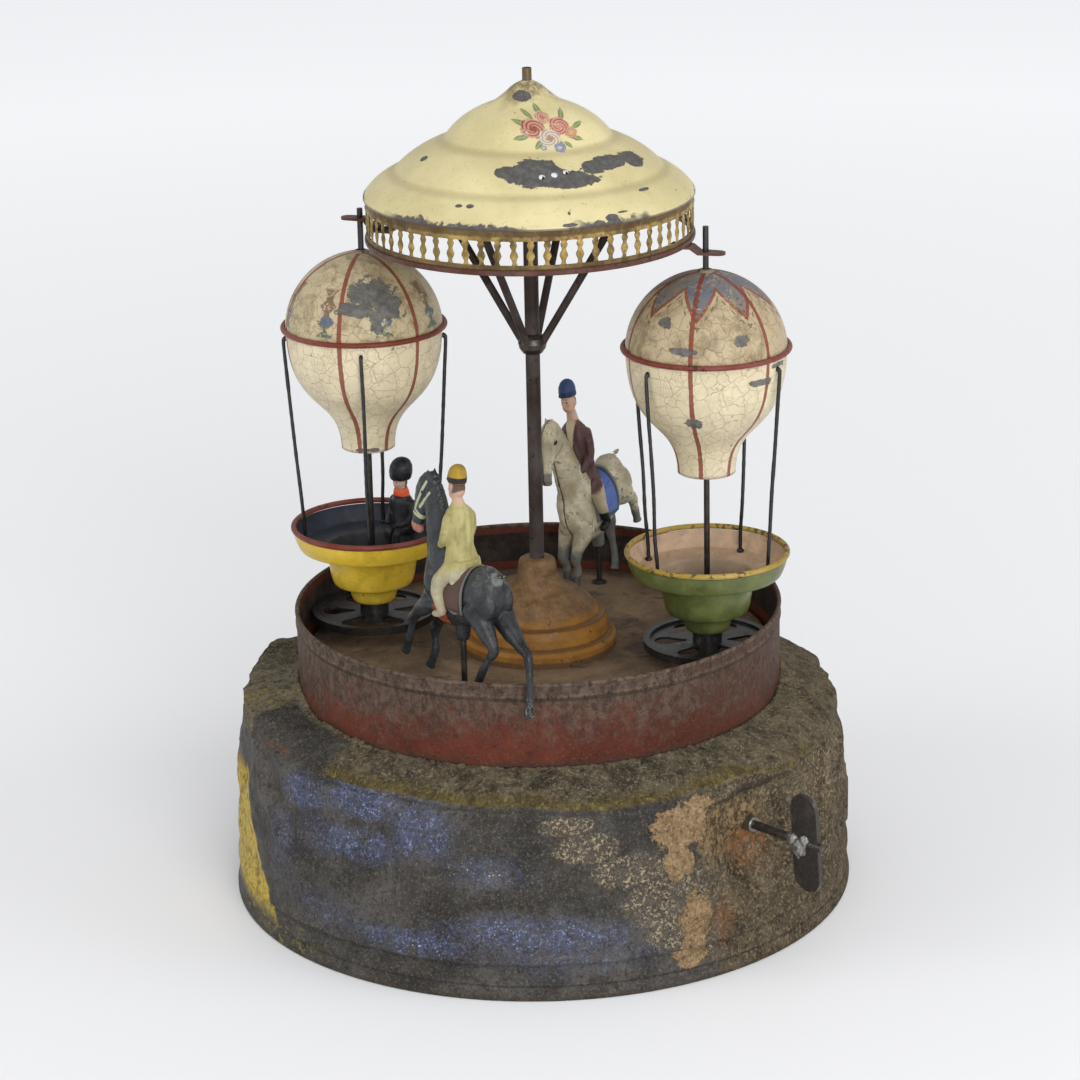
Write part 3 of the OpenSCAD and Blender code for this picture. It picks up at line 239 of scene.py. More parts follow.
class Finish:
    """A material in the making, on Object coordinates in metres about a middle."""

    def __init__(self, name, middle=(0, 0, 0)):
        self.material = bpy.data.materials.new(name)
        self.material.use_nodes = True
        self.tree = self.material.node_tree
        self.shader = self.tree.nodes["Principled BSDF"]
        place = self.node("ShaderNodeTexCoord").outputs["Object"]
        shift = self.node("ShaderNodeMapping")
        shift.inputs["Location"].default_value = [-c for c in middle]
        self.tree.links.new(place, shift.inputs["Vector"])
        self.place = shift.outputs["Vector"]
        self.heights = []

    def node(self, kind):
        return self.tree.nodes.new(kind)

    def put(self, socket, value):
        if isinstance(value, Wire):
            self.tree.links.new(value.socket, socket)
        elif socket.type == "RGBA" and len(value) == 3:
            socket.default_value = (*value, 1.0)
        else:
            socket.default_value = value

    def sum(self, kind, a, b=0.0):
        node = self.node("ShaderNodeMath")
        node.operation = kind
        self.put(node.inputs[0], a)
        self.put(node.inputs[1], b)
        return Wire(self, node.outputs[0])

    def axes(self):
        """X, Y and Z as wires."""
        node = self.node("ShaderNodeSeparateXYZ")
        self.tree.links.new(self.place, node.inputs[0])
        return [Wire(self, s) for s in node.outputs]

    def around(self):
        """Angle in turns, radius and height about the middle's upright axis."""
        x, y, z = self.axes()
        angle = y.of("ARCTAN2", x) / (2 * math.pi)
        return angle, (x * x + y * y).of("SQRT"), z

    def stretched(self, scale):
        """The place scaled along each axis, for streaks."""
        node = self.node("ShaderNodeMapping")
        node.inputs["Scale"].default_value = scale
        self.tree.links.new(self.place, node.inputs["Vector"])
        return node.outputs["Vector"]

    def grain(self, size, detail=3.0, rough=0.55, warp=0.0, place=None, offset=0.0):
        """Soft noise from 0 to 1 whose blotches are about a size across."""
        node = self.node("ShaderNodeTexNoise")
        node.noise_dimensions = "4D"
        node.inputs["W"].default_value = offset
        node.inputs["Scale"].default_value = 1.0 / size
        node.inputs["Detail"].default_value = detail
        node.inputs["Roughness"].default_value = rough
        node.inputs["Distortion"].default_value = warp
        self.tree.links.new(place or self.place, node.inputs["Vector"])
        return Wire(self, node.outputs["Fac"])

    def cells(self, size, feature="F1", place=None, loose=1.0):
        """Distance to the nearest cell's middle or edge, cells about a size across."""
        node = self.node("ShaderNodeTexVoronoi")
        node.feature = feature
        node.inputs["Scale"].default_value = 1.0 / size
        node.inputs["Randomness"].default_value = loose
        self.tree.links.new(place or self.place, node.inputs["Vector"])
        return Wire(self, node.outputs["Distance"])

    def jittered(self, amount, size):
        """The place pushed about by noise, so that edges run unevenly."""
        node = self.node("ShaderNodeTexNoise")
        node.inputs["Scale"].default_value = 1.0 / size
        node.inputs["Detail"].default_value = 4.0
        self.tree.links.new(self.place, node.inputs["Vector"])
        less = self.node("ShaderNodeVectorMath")
        less.operation = "SUBTRACT"
        less.inputs[1].default_value = (0.5, 0.5, 0.5)
        self.tree.links.new(node.outputs["Color"], less.inputs[0])
        scale = self.node("ShaderNodeVectorMath")
        scale.operation = "MULTIPLY_ADD"
        scale.inputs[1].default_value = (amount * 2, amount * 2, amount * 2)
        self.tree.links.new(less.outputs[0], scale.inputs[0])
        self.tree.links.new(self.place, scale.inputs[2])
        return scale.outputs[0]

    def mix(self, fac, a, b):
        node = self.node("ShaderNodeMix")
        node.data_type = "RGBA"
        self.put(node.inputs["Factor"], fac)
        self.put(node.inputs[6], a)
        self.put(node.inputs[7], b)
        return Wire(self, node.outputs[2])

    def blot(self, under, over, amount, span, *grain, **more):
        """Blotches of a colour over another where the grain rises through a span."""
        return self.mix(self.grain(*grain, **more).ramp(*span) * amount, under, over)

    def attribute(self, name):
        node = self.node("ShaderNodeAttribute")
        node.attribute_name = name
        return Wire(self, node.outputs["Fac"])

    def raise_by(self, height, depth):
        """Adds a relief of a depth in metres to the surface."""
        self.heights.append((height, depth))

    def done(self, colour, rough, metal=0.0, shine=0.18):
        self.put(self.shader.inputs["Base Color"], colour)
        self.shader.inputs["Specular IOR Level"].default_value = shine
        self.put(self.shader.inputs["Roughness"], rough)
        self.put(self.shader.inputs["Metallic"], metal)
        last = None
        for height, depth in self.heights:
            bump = self.node("ShaderNodeBump")
            bump.inputs["Strength"].default_value = 1.0
            bump.inputs["Distance"].default_value = depth
            self.put(bump.inputs["Height"], height)
            if last:
                self.tree.links.new(last, bump.inputs["Normal"])
            last = bump.outputs["Normal"]
        if last:
            self.tree.links.new(last, self.shader.inputs["Normal"])
        return self.material


def dull(colour, amount):
    """The colour darkened by an amount."""
    return tuple(c * amount for c in colour)


def toward(a, b, t):
    return tuple(x + (y - x) * t for x, y in zip(a, b))


# Finishes


def aged(name, colour, under, wear=0.5, dirt=0.5, chip=0.004, middle=(0, 0, 0), gloss=0.45, seed=0.0):
    """Old oil paint on tin: mottled, chipped to what is under it, with brown dirt in soft clouds."""
    f = Finish(name, middle)
    cloud = f.grain(0.022, 4, 0.6, offset=seed)
    fine = f.grain(0.0022, 4, 0.65, offset=seed + 3)
    base = f.mix(cloud.ramp(0.3, 0.75), dull(colour, 0.78), toward(colour, (1, 1, 1), 0.05))
    base = f.mix(fine.ramp(0.45, 0.8) * 0.35, base, dull(colour, 0.55))
    grime = f.grain(0.012, 5, 0.7, 0.4, offset=seed + 7).ramp(0.5, 0.78) * dirt
    base = f.mix(grime, base, toward(dull(colour, 0.3), (0.05, 0.04, 0.03), 0.5))
    chips = f.grain(chip, 6, 0.62, 0.3, offset=seed + 11) + f.grain(chip * 6, 2, 0.5,
            offset=seed + 13) * 0.5
    chips = chips.ramp(1.0 - 0.22 * wear, 1.02 - 0.22 * wear)
    specks = f.cells(0.0017).ramp(0.16, 0.1) * f.grain(0.01, 2, offset=seed + 5).ramp(0.5, 0.62)
    base = f.mix(specks * 0.6, base, under)
    base = f.mix(chips, base, under)
    f.raise_by(fine, 0.00012)
    f.raise_by(1.0 - chips, 0.0001)
    return f.done(base, (fine * 0.25 + (gloss - 0.1)) + chips * 0.12)


def dark_metal(name, colour, rust=0.35, bright=0.3, seed=0.0):
    """Old steel with a dark skin, rust blooms and rubbed bright places."""
    f = Finish(name)
    fine = f.grain(0.0015, 4, 0.6, offset=seed)
    bloom = f.grain(0.006, 5, 0.65, 0.3, offset=seed + 2).ramp(0.62 - 0.25 * rust, 0.8)
    rubbed = f.grain(0.004, 4, 0.7, offset=seed + 5).ramp(0.68 - 0.2 * bright, 0.8)
    base = f.mix(fine, dull(colour, 0.65), toward(colour, (0.5, 0.5, 0.5), 0.12))
    base = f.mix(rubbed * bright, base, (0.55, 0.54, 0.5))
    base = f.mix(bloom, base, (0.085, 0.04, 0.02))
    f.raise_by(fine, 0.00008)
    f.raise_by(bloom, 0.00008)
    return f.done(base, (fine * 0.3 + 0.22) + bloom * 0.35, 0.85 - bloom * 0.8)


def rock_finish(c):
    """Tin painted as rock: slate with blue veils, an olive band, gritty brown and bare tan patches."""
    f = Finish("rock paint")
    turns, radius, z = f.around()
    deg = turns * 360
    jag = f.grain(0.014, 5, 0.62)
    rag = f.grain(0.0045, 5, 0.68)
    grit = f.grain(0.0013, 3, 0.72, offset=4)
    sway = (jag - 0.5) * 1.5 + (rag - 0.5) * 1.3

    def near(a, half, edge):
        """1 within half degrees of a direction, ragged over an edge."""
        return (abs(deg.aside(a)) + sway * edge).ramp(half + edge * 0.3, half - edge * 0.3)

    def spot(a, height, wide, tall, edge=0.5, soft=0.12, ragged=None):
        """1 within an oval of half widths in degrees and metres."""
        across = deg.aside(a) / wide
        rise = (z - height) / tall
        return ((across * across + rise * rise).of("SQRT") + (ragged or sway) * edge).ramp(1 + soft,
                1 - soft)

    def any_of(*masks):
        total = masks[0]
        for m in masks[1:]:
            total = total.of("MAXIMUM", m)
        return total

    cloud = f.grain(0.022, 4, 0.6, offset=1)
    slate = f.mix(cloud.ramp(0.32, 0.68), dull(c.slate, 0.42),
                  toward(c.slate, (0.11, 0.102, 0.092), 0.5))
    slate = f.blot(slate, (0.062, 0.047, 0.034), 0.7, (0.48, 0.72), 0.008, 5, 0.7, 0.5, offset=2)
    slate = f.blot(slate, (0.028, 0.024, 0.019), 0.6, (0.46, 0.62), 0.0032, 5, 0.75, 0.3, offset=3)
    slate = f.mix(grit.ramp(0.55, 0.66) * 0.55, slate, (0.15, 0.135, 0.11))

    veil_field = any_of(spot(-140.5, 0.070, 5, 0.006, soft=0.5), spot(-126, 0.073, 9, 0.0065, soft=0.5),
                        spot(-125, 0.056, 7, 0.006, soft=0.6), spot(-113, 0.066, 6, 0.010, soft=0.6),
                        spot(-92, 0.028, 15, 0.006, soft=0.6), spot(-113, 0.021, 9, 0.005, soft=0.6))
    faint_field = any_of(spot(-132, 0.025, 8, 0.007, soft=0.7), spot(-146, 0.045, 4, 0.014, soft=0.6),
                         spot(-86, 0.018, 14, 0.007, soft=0.7), spot(-100, 0.052, 7, 0.006, soft=0.6),
                         spot(-134, 0.055, 5, 0.008, soft=0.6))
    dots = f.grain(0.0019, 5, 0.82, offset=7).ramp(0.46, 0.60)
    veil = (veil_field + faint_field * 0.45).of("MINIMUM", 1.0) * f.grain(0.005, 5, 0.72,
            offset=8).ramp(0.32, 0.54)
    veil = veil * (dots * 0.6 + 0.4)
    slate = f.mix(veil * 0.9, slate, c.sparkle)
    slate = f.mix(veil * f.grain(0.0012, 3, 0.8, offset=61).ramp(0.545, 0.60) * 0.85, slate,
                  (0.27, 0.33, 0.52))
    flake = f.cells(0.0013).ramp(0.30, 0.17) * f.grain(0.0042, 4, 0.75, offset=6).ramp(0.52, 0.62)
    flake_field = any_of(veil_field * 0.55, spot(-101, 0.053, 6, 0.006, soft=0.5),
                         spot(-114, 0.021, 9, 0.004, soft=0.5))
    slate = f.mix(flake * (flake_field * 0.95 + 0.05).of("MINIMUM", 1.0), slate, (0.50, 0.54, 0.62))
    cream_field = any_of(spot(-86, 0.071, 5, 0.004), spot(-82, 0.062, 6, 0.006),
                         spot(-75, 0.051, 7, 0.007),
                         spot(-70, 0.036, 6, 0.010), spot(-66, 0.024, 6, 0.008),
                         spot(-58, 0.018, 6, 0.008),
                         spot(-60, 0.040, 5, 0.008))
    grains = cream_field * f.grain(0.0013, 4, 0.8, offset=9).ramp(0.50, 0.56) * f.grain(0.007, 4, 0.7,
            offset=62).ramp(0.36, 0.50)
    slate = f.mix(cream_field * 0.3, slate, (0.12, 0.10, 0.07))
    slate = f.mix(grains * 0.9, slate, (0.42, 0.34, 0.225))

    sandy = f.mix(f.grain(0.010, 5, 0.7, 0.3, offset=12).ramp(0.32, 0.7), dull(c.sand, 0.26),
                  dull(c.sand, 1.15))
    sandy = f.blot(sandy, (0.026, 0.020, 0.014), 0.65, (0.54, 0.62), 0.0030, 5, 0.78, offset=63)
    sandy = f.blot(sandy, (0.30, 0.235, 0.145), 0.8, (0.52, 0.60), 0.0014, 4, 0.8, offset=13)
    sandy = f.mix(grit.ramp(0.40, 0.28) * 0.6, sandy, dull(c.sand, 0.2))
    right = near(-12, 47, 12)
    behind = near(90, 84, 18)
    sandy = f.mix(z.ramp(0.05, 0.014) * 0.25, sandy, dull(c.sand, 0.3))
    colour = f.mix(any_of(right, behind) * 0.96, slate, sandy)

    dip = abs(deg.aside(-72)).ramp(20, 5) * 0.0018 + deg.ramp(-52, -38) * 0.0042
    over = z + dip + sway * 0.0009 - 0.0772
    top = over.ramp(0.0, 0.0011)
    crust = f.mix(f.grain(0.007, 5, 0.72, 0.4, offset=25).ramp(0.34, 0.66), (0.032, 0.026, 0.017),
                  (0.125, 0.102, 0.064))
    crust = f.blot(crust, (0.024, 0.019, 0.014), 0.6, (0.54, 0.62), 0.0026, 5, 0.78, offset=64)
    crust = f.blot(crust, (0.25, 0.215, 0.15), 0.7, (0.53, 0.61), 0.0014, 4, 0.8, offset=26)
    crust = f.mix(near(-173, 14, 6) * f.grain(0.0022, 5, 0.78, offset=67).ramp(0.42, 0.56) * 0.6, crust,
                  (0.21, 0.185, 0.13))
    front = near(-80, 60, 8)
    olive = f.mix(f.grain(0.005, 5, 0.72, 0.4, offset=20).ramp(0.34, 0.68), dull(c.olive, 0.4), c.olive)
    olive = f.blot(olive, c.moss, 0.65, (0.52, 0.64), 0.0024, 4, 0.75, offset=23)
    low_band = (over + (jag - 0.5) * 0.006).ramp(0.0056, 0.0012) * near(-82, 56, 10)
    crust = f.mix(low_band * front, crust, olive)
    crust = f.mix(near(-10, 36, 10) * f.grain(0.006, 4, 0.7, offset=28).ramp(0.42, 0.62) * 0.5, crust,
                  (0.16, 0.125, 0.075))
    bald = near(-150, 13, 3) * (radius + (rag - 0.5) * 0.004).ramp(0.1025, 0.1045)
    colour = f.mix(top * (1.0 - bald) * 0.97, colour, crust)
    # painted shade: a dark line just under the shoulder's edge along the front
    colour = f.mix(over.ramp(0.0, -0.0008) * over.ramp(-0.0016, -0.0008) * front * 0.5, colour,
                   (0.03, 0.026, 0.022))
    joint = radius.ramp(0.1035, 0.1012) * top
    colour = f.mix(joint * f.grain(0.004, 4, 0.7, offset=27).ramp(0.45, 0.62) * 0.6, colour,
                   (0.20, 0.15, 0.09))

    torn = (f.grain(0.0030, 5, 0.8, offset=34) - 0.5) * 2.2 + (jag - 0.5) * 0.8
    tan = any_of(spot(-64.0, 0.0650, 6.2, 0.0090, 0.8, 0.05, torn),
                 spot(-62.2, 0.0255, 3.3, 0.0130, 0.8, 0.05, torn),
                 spot(-63.4, 0.0120, 3.6, 0.005, 0.8, 0.05, torn),
                 spot(-65.0, 0.051, 3.3, 0.0070, 0.8, 0.05, torn),
                 spot(-60.0, 0.0715, 2.6, 0.0040, 0.6, 0.05, torn))
    tan_colour = f.mix(f.grain(0.005, 5, 0.7, offset=30).ramp(0.32, 0.68), dull(c.bare, 0.66),
                       toward(c.bare, (0.45, 0.32, 0.18), 0.4))
    tan_colour = f.blot(tan_colour, dull(c.bare, 0.34), 0.6, (0.50, 0.60), 0.0016, 4, 0.8, offset=31)
    tan_colour = f.blot(tan_colour, (0.46, 0.36, 0.23), 0.5, (0.54, 0.60), 0.0011, 3, 0.8, offset=65)
    brown = spot(-52, 0.0565, 9, 0.0125, 0.7, 0.15, torn)
    brown_colour = f.mix(f.grain(0.0024, 5, 0.8, offset=32).ramp(0.42, 0.58), (0.045, 0.030, 0.018),
                         (0.27, 0.18, 0.09))
    colour = f.mix(brown * 0.85, colour, brown_colour)
    colour = f.mix(tan * (1.0 - top * 0.9) * 0.95, colour, tan_colour)
    rust = any_of(spot(-46, 0.046, 5.2, 0.0085, 0.9, 0.5, torn),
                  spot(-56.5, 0.022, 2.4, 0.009, 0.9, 0.5, torn) * 0.7,
                  spot(-152, 0.0795, 6, 0.0010, 0.4) * 0.5)
    colour = f.mix(rust * f.grain(0.0017, 4, 0.8, offset=33).ramp(0.44, 0.56) * 0.8, colour,
                   (0.23, 0.085, 0.028))
    # painted shadow under the overhanging crease above the key
    colour = f.mix(spot(-47, 0.0705, 9, 0.003, 0.4, 0.3) * 0.8, colour, (0.035, 0.029, 0.024))

    edge = (deg + 149.5) * 0.00275
    behind_sheet = (edge + z + sway * 0.0012).ramp(0.0150, 0.0134) * near(-169, 27,
            3) * (z + sway * 0.002).ramp(0.006, 0.014)
    yellow = f.mix(f.grain(0.004, 4, 0.7, offset=40).ramp(0.34, 0.56), (0.17, 0.12, 0.025),
                   (0.52, 0.375, 0.06))
    colour = f.mix(behind_sheet * z.ramp(0.066, 0.054), colour, yellow)
    colour = f.blot(colour, (0.03, 0.027, 0.024), 0.35, (0.58, 0.75), 0.025, 3, 0.6, offset=43)
    # painted shade: a dark line round the hem standing for a groove
    groove = abs(z - 0.0062).ramp(0.0007, 0.0002)
    colour = f.mix(groove * 0.5, colour, (0.016, 0.014, 0.012))
    old = any_of(near(-150, 14, 8) * z.ramp(0.014, 0.008), spot(-168, 0.088, 5, 0.004))
    colour = f.mix(old * f.grain(0.004, 5, 0.75, offset=41).ramp(0.5, 0.6) * 0.7, colour,
                   (0.24, 0.19, 0.045))
    colour = f.mix((z + (rag - 0.5) * 0.004).ramp(0.0035, 0.0005) * 0.6, colour, (0.05, 0.038, 0.028))

    colour = f.blot(colour, (0.24, 0.205, 0.15), 0.25, (0.57, 0.64), 0.0010, 2, 0.6, offset=60)
    colour = f.blot(colour, (0.016, 0.014, 0.012), 0.5, (0.53, 0.62), 0.0016, 3, 0.7, offset=66)
    coarse = any_of(top, right, behind)
    f.raise_by(f.grain(0.020, 4, 0.5, 0.5, offset=52), 0.0060 * c.grit)
    f.raise_by(f.grain(0.0035, 5, 0.7, offset=50), 0.0006 * c.grit)
    f.raise_by(grit * (coarse * 0.7 + 0.3), 0.0010 * c.grit)
    f.raise_by(grains * 0.6 + tan * -0.9, 0.0003)
    return f.done(colour, (coarse * 0.34 + 0.46) + (grit - 0.5) * 0.3 + tan * 0.15, shine=0.1)


def drum_finish(c):
    """Worn red on the lower wall with painted shade on its right side, brown rim and beads with a painted
    highlight band above a painted shade line, and the inside painted dark as shade between two red lines.
    """
    f = Finish("drum paint")
    turns, radius, z = f.around()
    rag = f.grain(0.006, 5, 0.72, 0.4) - 0.5
    streak = f.grain(0.0030, 5, 0.76, 0.3, place=f.stretched((1, 1, 0.62)), offset=3)
    cloud = f.grain(0.028, 4, 0.6, offset=5)
    spread = f.grain(0.010, 5, 0.7, 0.6, offset=6)
    red = f.mix(cloud.ramp(0.35, 0.7), dull(c.red, 0.55), c.red)
    red = f.mix(spread.ramp(0.55, 0.7) * 0.5, red, toward(c.red, (0.30, 0.04, 0.015), 0.5))
    grime = f.mix(streak.ramp(0.36, 0.64), dull(c.grime, 0.5),
                  toward(c.grime, (0.20, 0.125, 0.085), 0.35))
    gap = abs((turns * 360 + 90 + 540).of("FLOORED_MODULO", 360.0) - 180)
    worn = ((z - 0.0975) * 42 + gap * 0.007 + rag * 1.6 + (spread - 0.5) * 2.2).ramp(-0.1, 0.75)
    outer = f.mix(worn * 0.88, red, grime)
    fleck = f.grain(0.0021, 5, 0.78, offset=9).ramp(0.55, 0.64)
    outer = f.mix(fleck * (streak.ramp(0.35, 0.65) * 0.55 + 0.2), outer, (0.11, 0.085, 0.065))
    outer = f.blot(outer, (0.035, 0.020, 0.016), 0.6, (0.57, 0.66), 0.0032, 5, 0.75, offset=10)
    outer = f.mix(z.ramp(0.0905, 0.0865) * (rag + 0.7).ramp(0.3, 0.9) * 0.75, outer,
                  (0.055, 0.036, 0.028))
    outer = f.mix(z.ramp(0.1115, 0.1148) * 0.75, outer, grime)
    # painted shade: the right side of the wall is painted darker
    right_side_shade = (turns * 360).ramp(-66, -42) * (turns * 360).ramp(60, 20)
    outer = f.mix(right_side_shade * 0.45, outer, (0.052, 0.021, 0.013))
    outer = f.blot(outer, (0.18, 0.115, 0.08), 0.3, (0.57, 0.63), 0.0013, 3, 0.8, offset=18)
    # painted highlight: a lighter band along the bead below the rim
    line = z.ramp(0.1142, 0.1148) * z.ramp(0.1166, 0.1160)
    outer = f.mix(line * streak.ramp(0.4, 0.65) * 0.6, outer, (0.17, 0.125, 0.095))
    # painted shade: a thin dark line under the bead
    under = abs(z - 0.1142).ramp(0.0009, 0.0003) * 0.6
    outer = f.mix(under, outer, (0.028, 0.018, 0.014))
    # painted shade: the inside of the wall is painted near black, between two red lines
    inner = f.mix(f.grain(0.008, 4, 0.65, offset=14).ramp(0.3, 0.7), (0.018, 0.014, 0.013),
                  (0.06, 0.043, 0.036))
    lines = (z + rag * 0.0012).ramp(0.1165, 0.1172) + (z + rag * 0.0014).ramp(0.1042, 0.1035)
    inner = f.mix(lines.of("MINIMUM", 1.0) * 0.8, inner, c.red)
    colour = f.mix(radius.ramp(0.09955, 0.09945), outer, inner)
    rim = z.ramp(0.1190, 0.1197)
    rim_colour = f.mix(streak.ramp(0.35, 0.65), (0.042, 0.026, 0.020), (0.15, 0.105, 0.08))
    colour = f.mix(rim * 0.92, colour, rim_colour)
    f.raise_by(fleck + rag, 0.00016)
    f.raise_by(f.grain(0.0016, 4, 0.7, offset=17), 0.00025)
    return f.done(colour, (worn * 0.12 + 0.46) + fleck * 0.12, shine=0.13)


def floor_finish(c):
    """Dusty brown table with scraped dark patches, pale grit and painted shade along its edge by the drum
    wall.
    """
    f = Finish("table paint")
    x, y, _ = f.axes()
    _, radius, _ = f.around()
    cloud = f.grain(0.032, 5, 0.62, 0.4, offset=2)
    base = f.mix(cloud.ramp(0.32, 0.7), dull(c.floor, 0.6), toward(c.floor, (0.38, 0.26, 0.16), 0.35))
    base = f.blot(base, (0.06, 0.042, 0.030), 0.65, (0.5, 0.72), 0.006, 5, 0.72, 0.5, offset=4)
    scrape = f.grain(0.018, 5, 0.68, 1.2, place=f.stretched((0.55, 1.4, 1)), offset=6).ramp(0.59, 0.63)
    base = f.mix(scrape * 0.85, base, (0.060, 0.053, 0.048))

    def mark(px, py, wide, deep):
        gap = ((x - px) / wide).of("POWER", 2.0) + ((y - py) / deep).of("POWER", 2.0)
        return (gap + (cloud - 0.5) * 2.4 + (f.grain(0.004, 4, 0.7, offset=8) - 0.5) * 1.6).ramp(1.05,
                0.9)

    base = f.mix(mark(0.030, -0.062, 0.014, 0.007) * 0.85, base, (0.075, 0.07, 0.066))
    base = f.mix(mark(-0.047, -0.043, 0.012, 0.007) * 0.2, base, (0.05, 0.04, 0.032))
    base = f.mix(mark(0.045, -0.01, 0.01, 0.008) * 0.6, base, (0.06, 0.045, 0.035))
    off_track = abs(radius - WHEEL_TRACK)
    track = off_track.ramp(0.0285, 0.0255) * off_track.ramp(0.021, 0.024)
    base = f.mix(track * 0.25, base, (0.05, 0.035, 0.025))
    # painted shade: the table darkens towards its edge beside the drum wall
    base = f.mix(radius.ramp(0.084, 0.0965) * 0.65, base, (0.045, 0.031, 0.024))
    grit = f.cells(0.0022).ramp(0.2, 0.1) * f.grain(0.012, 3, 0.6, offset=10).ramp(0.48, 0.6)
    base = f.mix(grit * 0.8, base, (0.36, 0.27, 0.18))
    lint = f.grain(0.0016, 4, 0.75, offset=11).ramp(0.57, 0.68)
    base = f.mix(lint * 0.45, base, (0.30, 0.22, 0.15))
    f.raise_by(f.grain(0.004, 5, 0.7, offset=12), 0.0005)
    f.raise_by(scrape * -1.0 + grit, 0.00015)
    return f.done(base, f.grain(0.01, 3, offset=14) * 0.25 + 0.58)


def pedestal_finish(c):
    """Ochre, clear round the foot and under dust on the bell."""
    f = Finish("pedestal paint")
    _, _, z = f.around()
    up = z - TABLE_Z * MM
    rag = f.grain(0.007, 5, 0.68, 0.3) - 0.5
    ochre = f.mix(f.grain(0.018, 4, 0.6, offset=2).ramp(0.3, 0.7), dull(c.ochre, 0.66),
                  toward(c.ochre, (0.55, 0.27, 0.05), 0.3))
    dust = f.mix(f.grain(0.005, 5, 0.7, offset=4).ramp(0.3, 0.7), (0.085, 0.05, 0.026),
                 (0.22, 0.14, 0.078))
    bell = (up + rag * 0.006).ramp(0.0150, 0.0195)
    base = f.mix(bell * 0.85, ochre, dust)
    # the lowest two to three millimetres of the foot are painted darker
    grime = (up + rag * 0.0015).ramp(0.0028, 0.0020)
    base = f.mix(grime * 0.85, base, (0.10, 0.065, 0.040))
    hollow = abs(up - 0.0068).ramp(0.0012, 0.0004).of("MAXIMUM", abs(up - 0.0144).ramp(0.0011, 0.0003))
    base = f.mix(hollow * 0.6, base, (0.055, 0.032, 0.016))
    chips = (f.grain(0.0035, 5, 0.66, offset=7) + up.ramp(0.006, 0.002) * 0.05).ramp(0.648, 0.668)
    base = f.mix(chips * 0.85, base, (0.035, 0.027, 0.022))
    base = f.blot(base, (0.4, 0.29, 0.16), 0.5, (0.6, 0.7), 0.0013, 3, 0.75, offset=9)
    f.raise_by(f.grain(0.0025, 5, 0.7, offset=11), 0.0003)
    return f.done(base, bell * 0.22 + 0.4 + rag * 0.2)


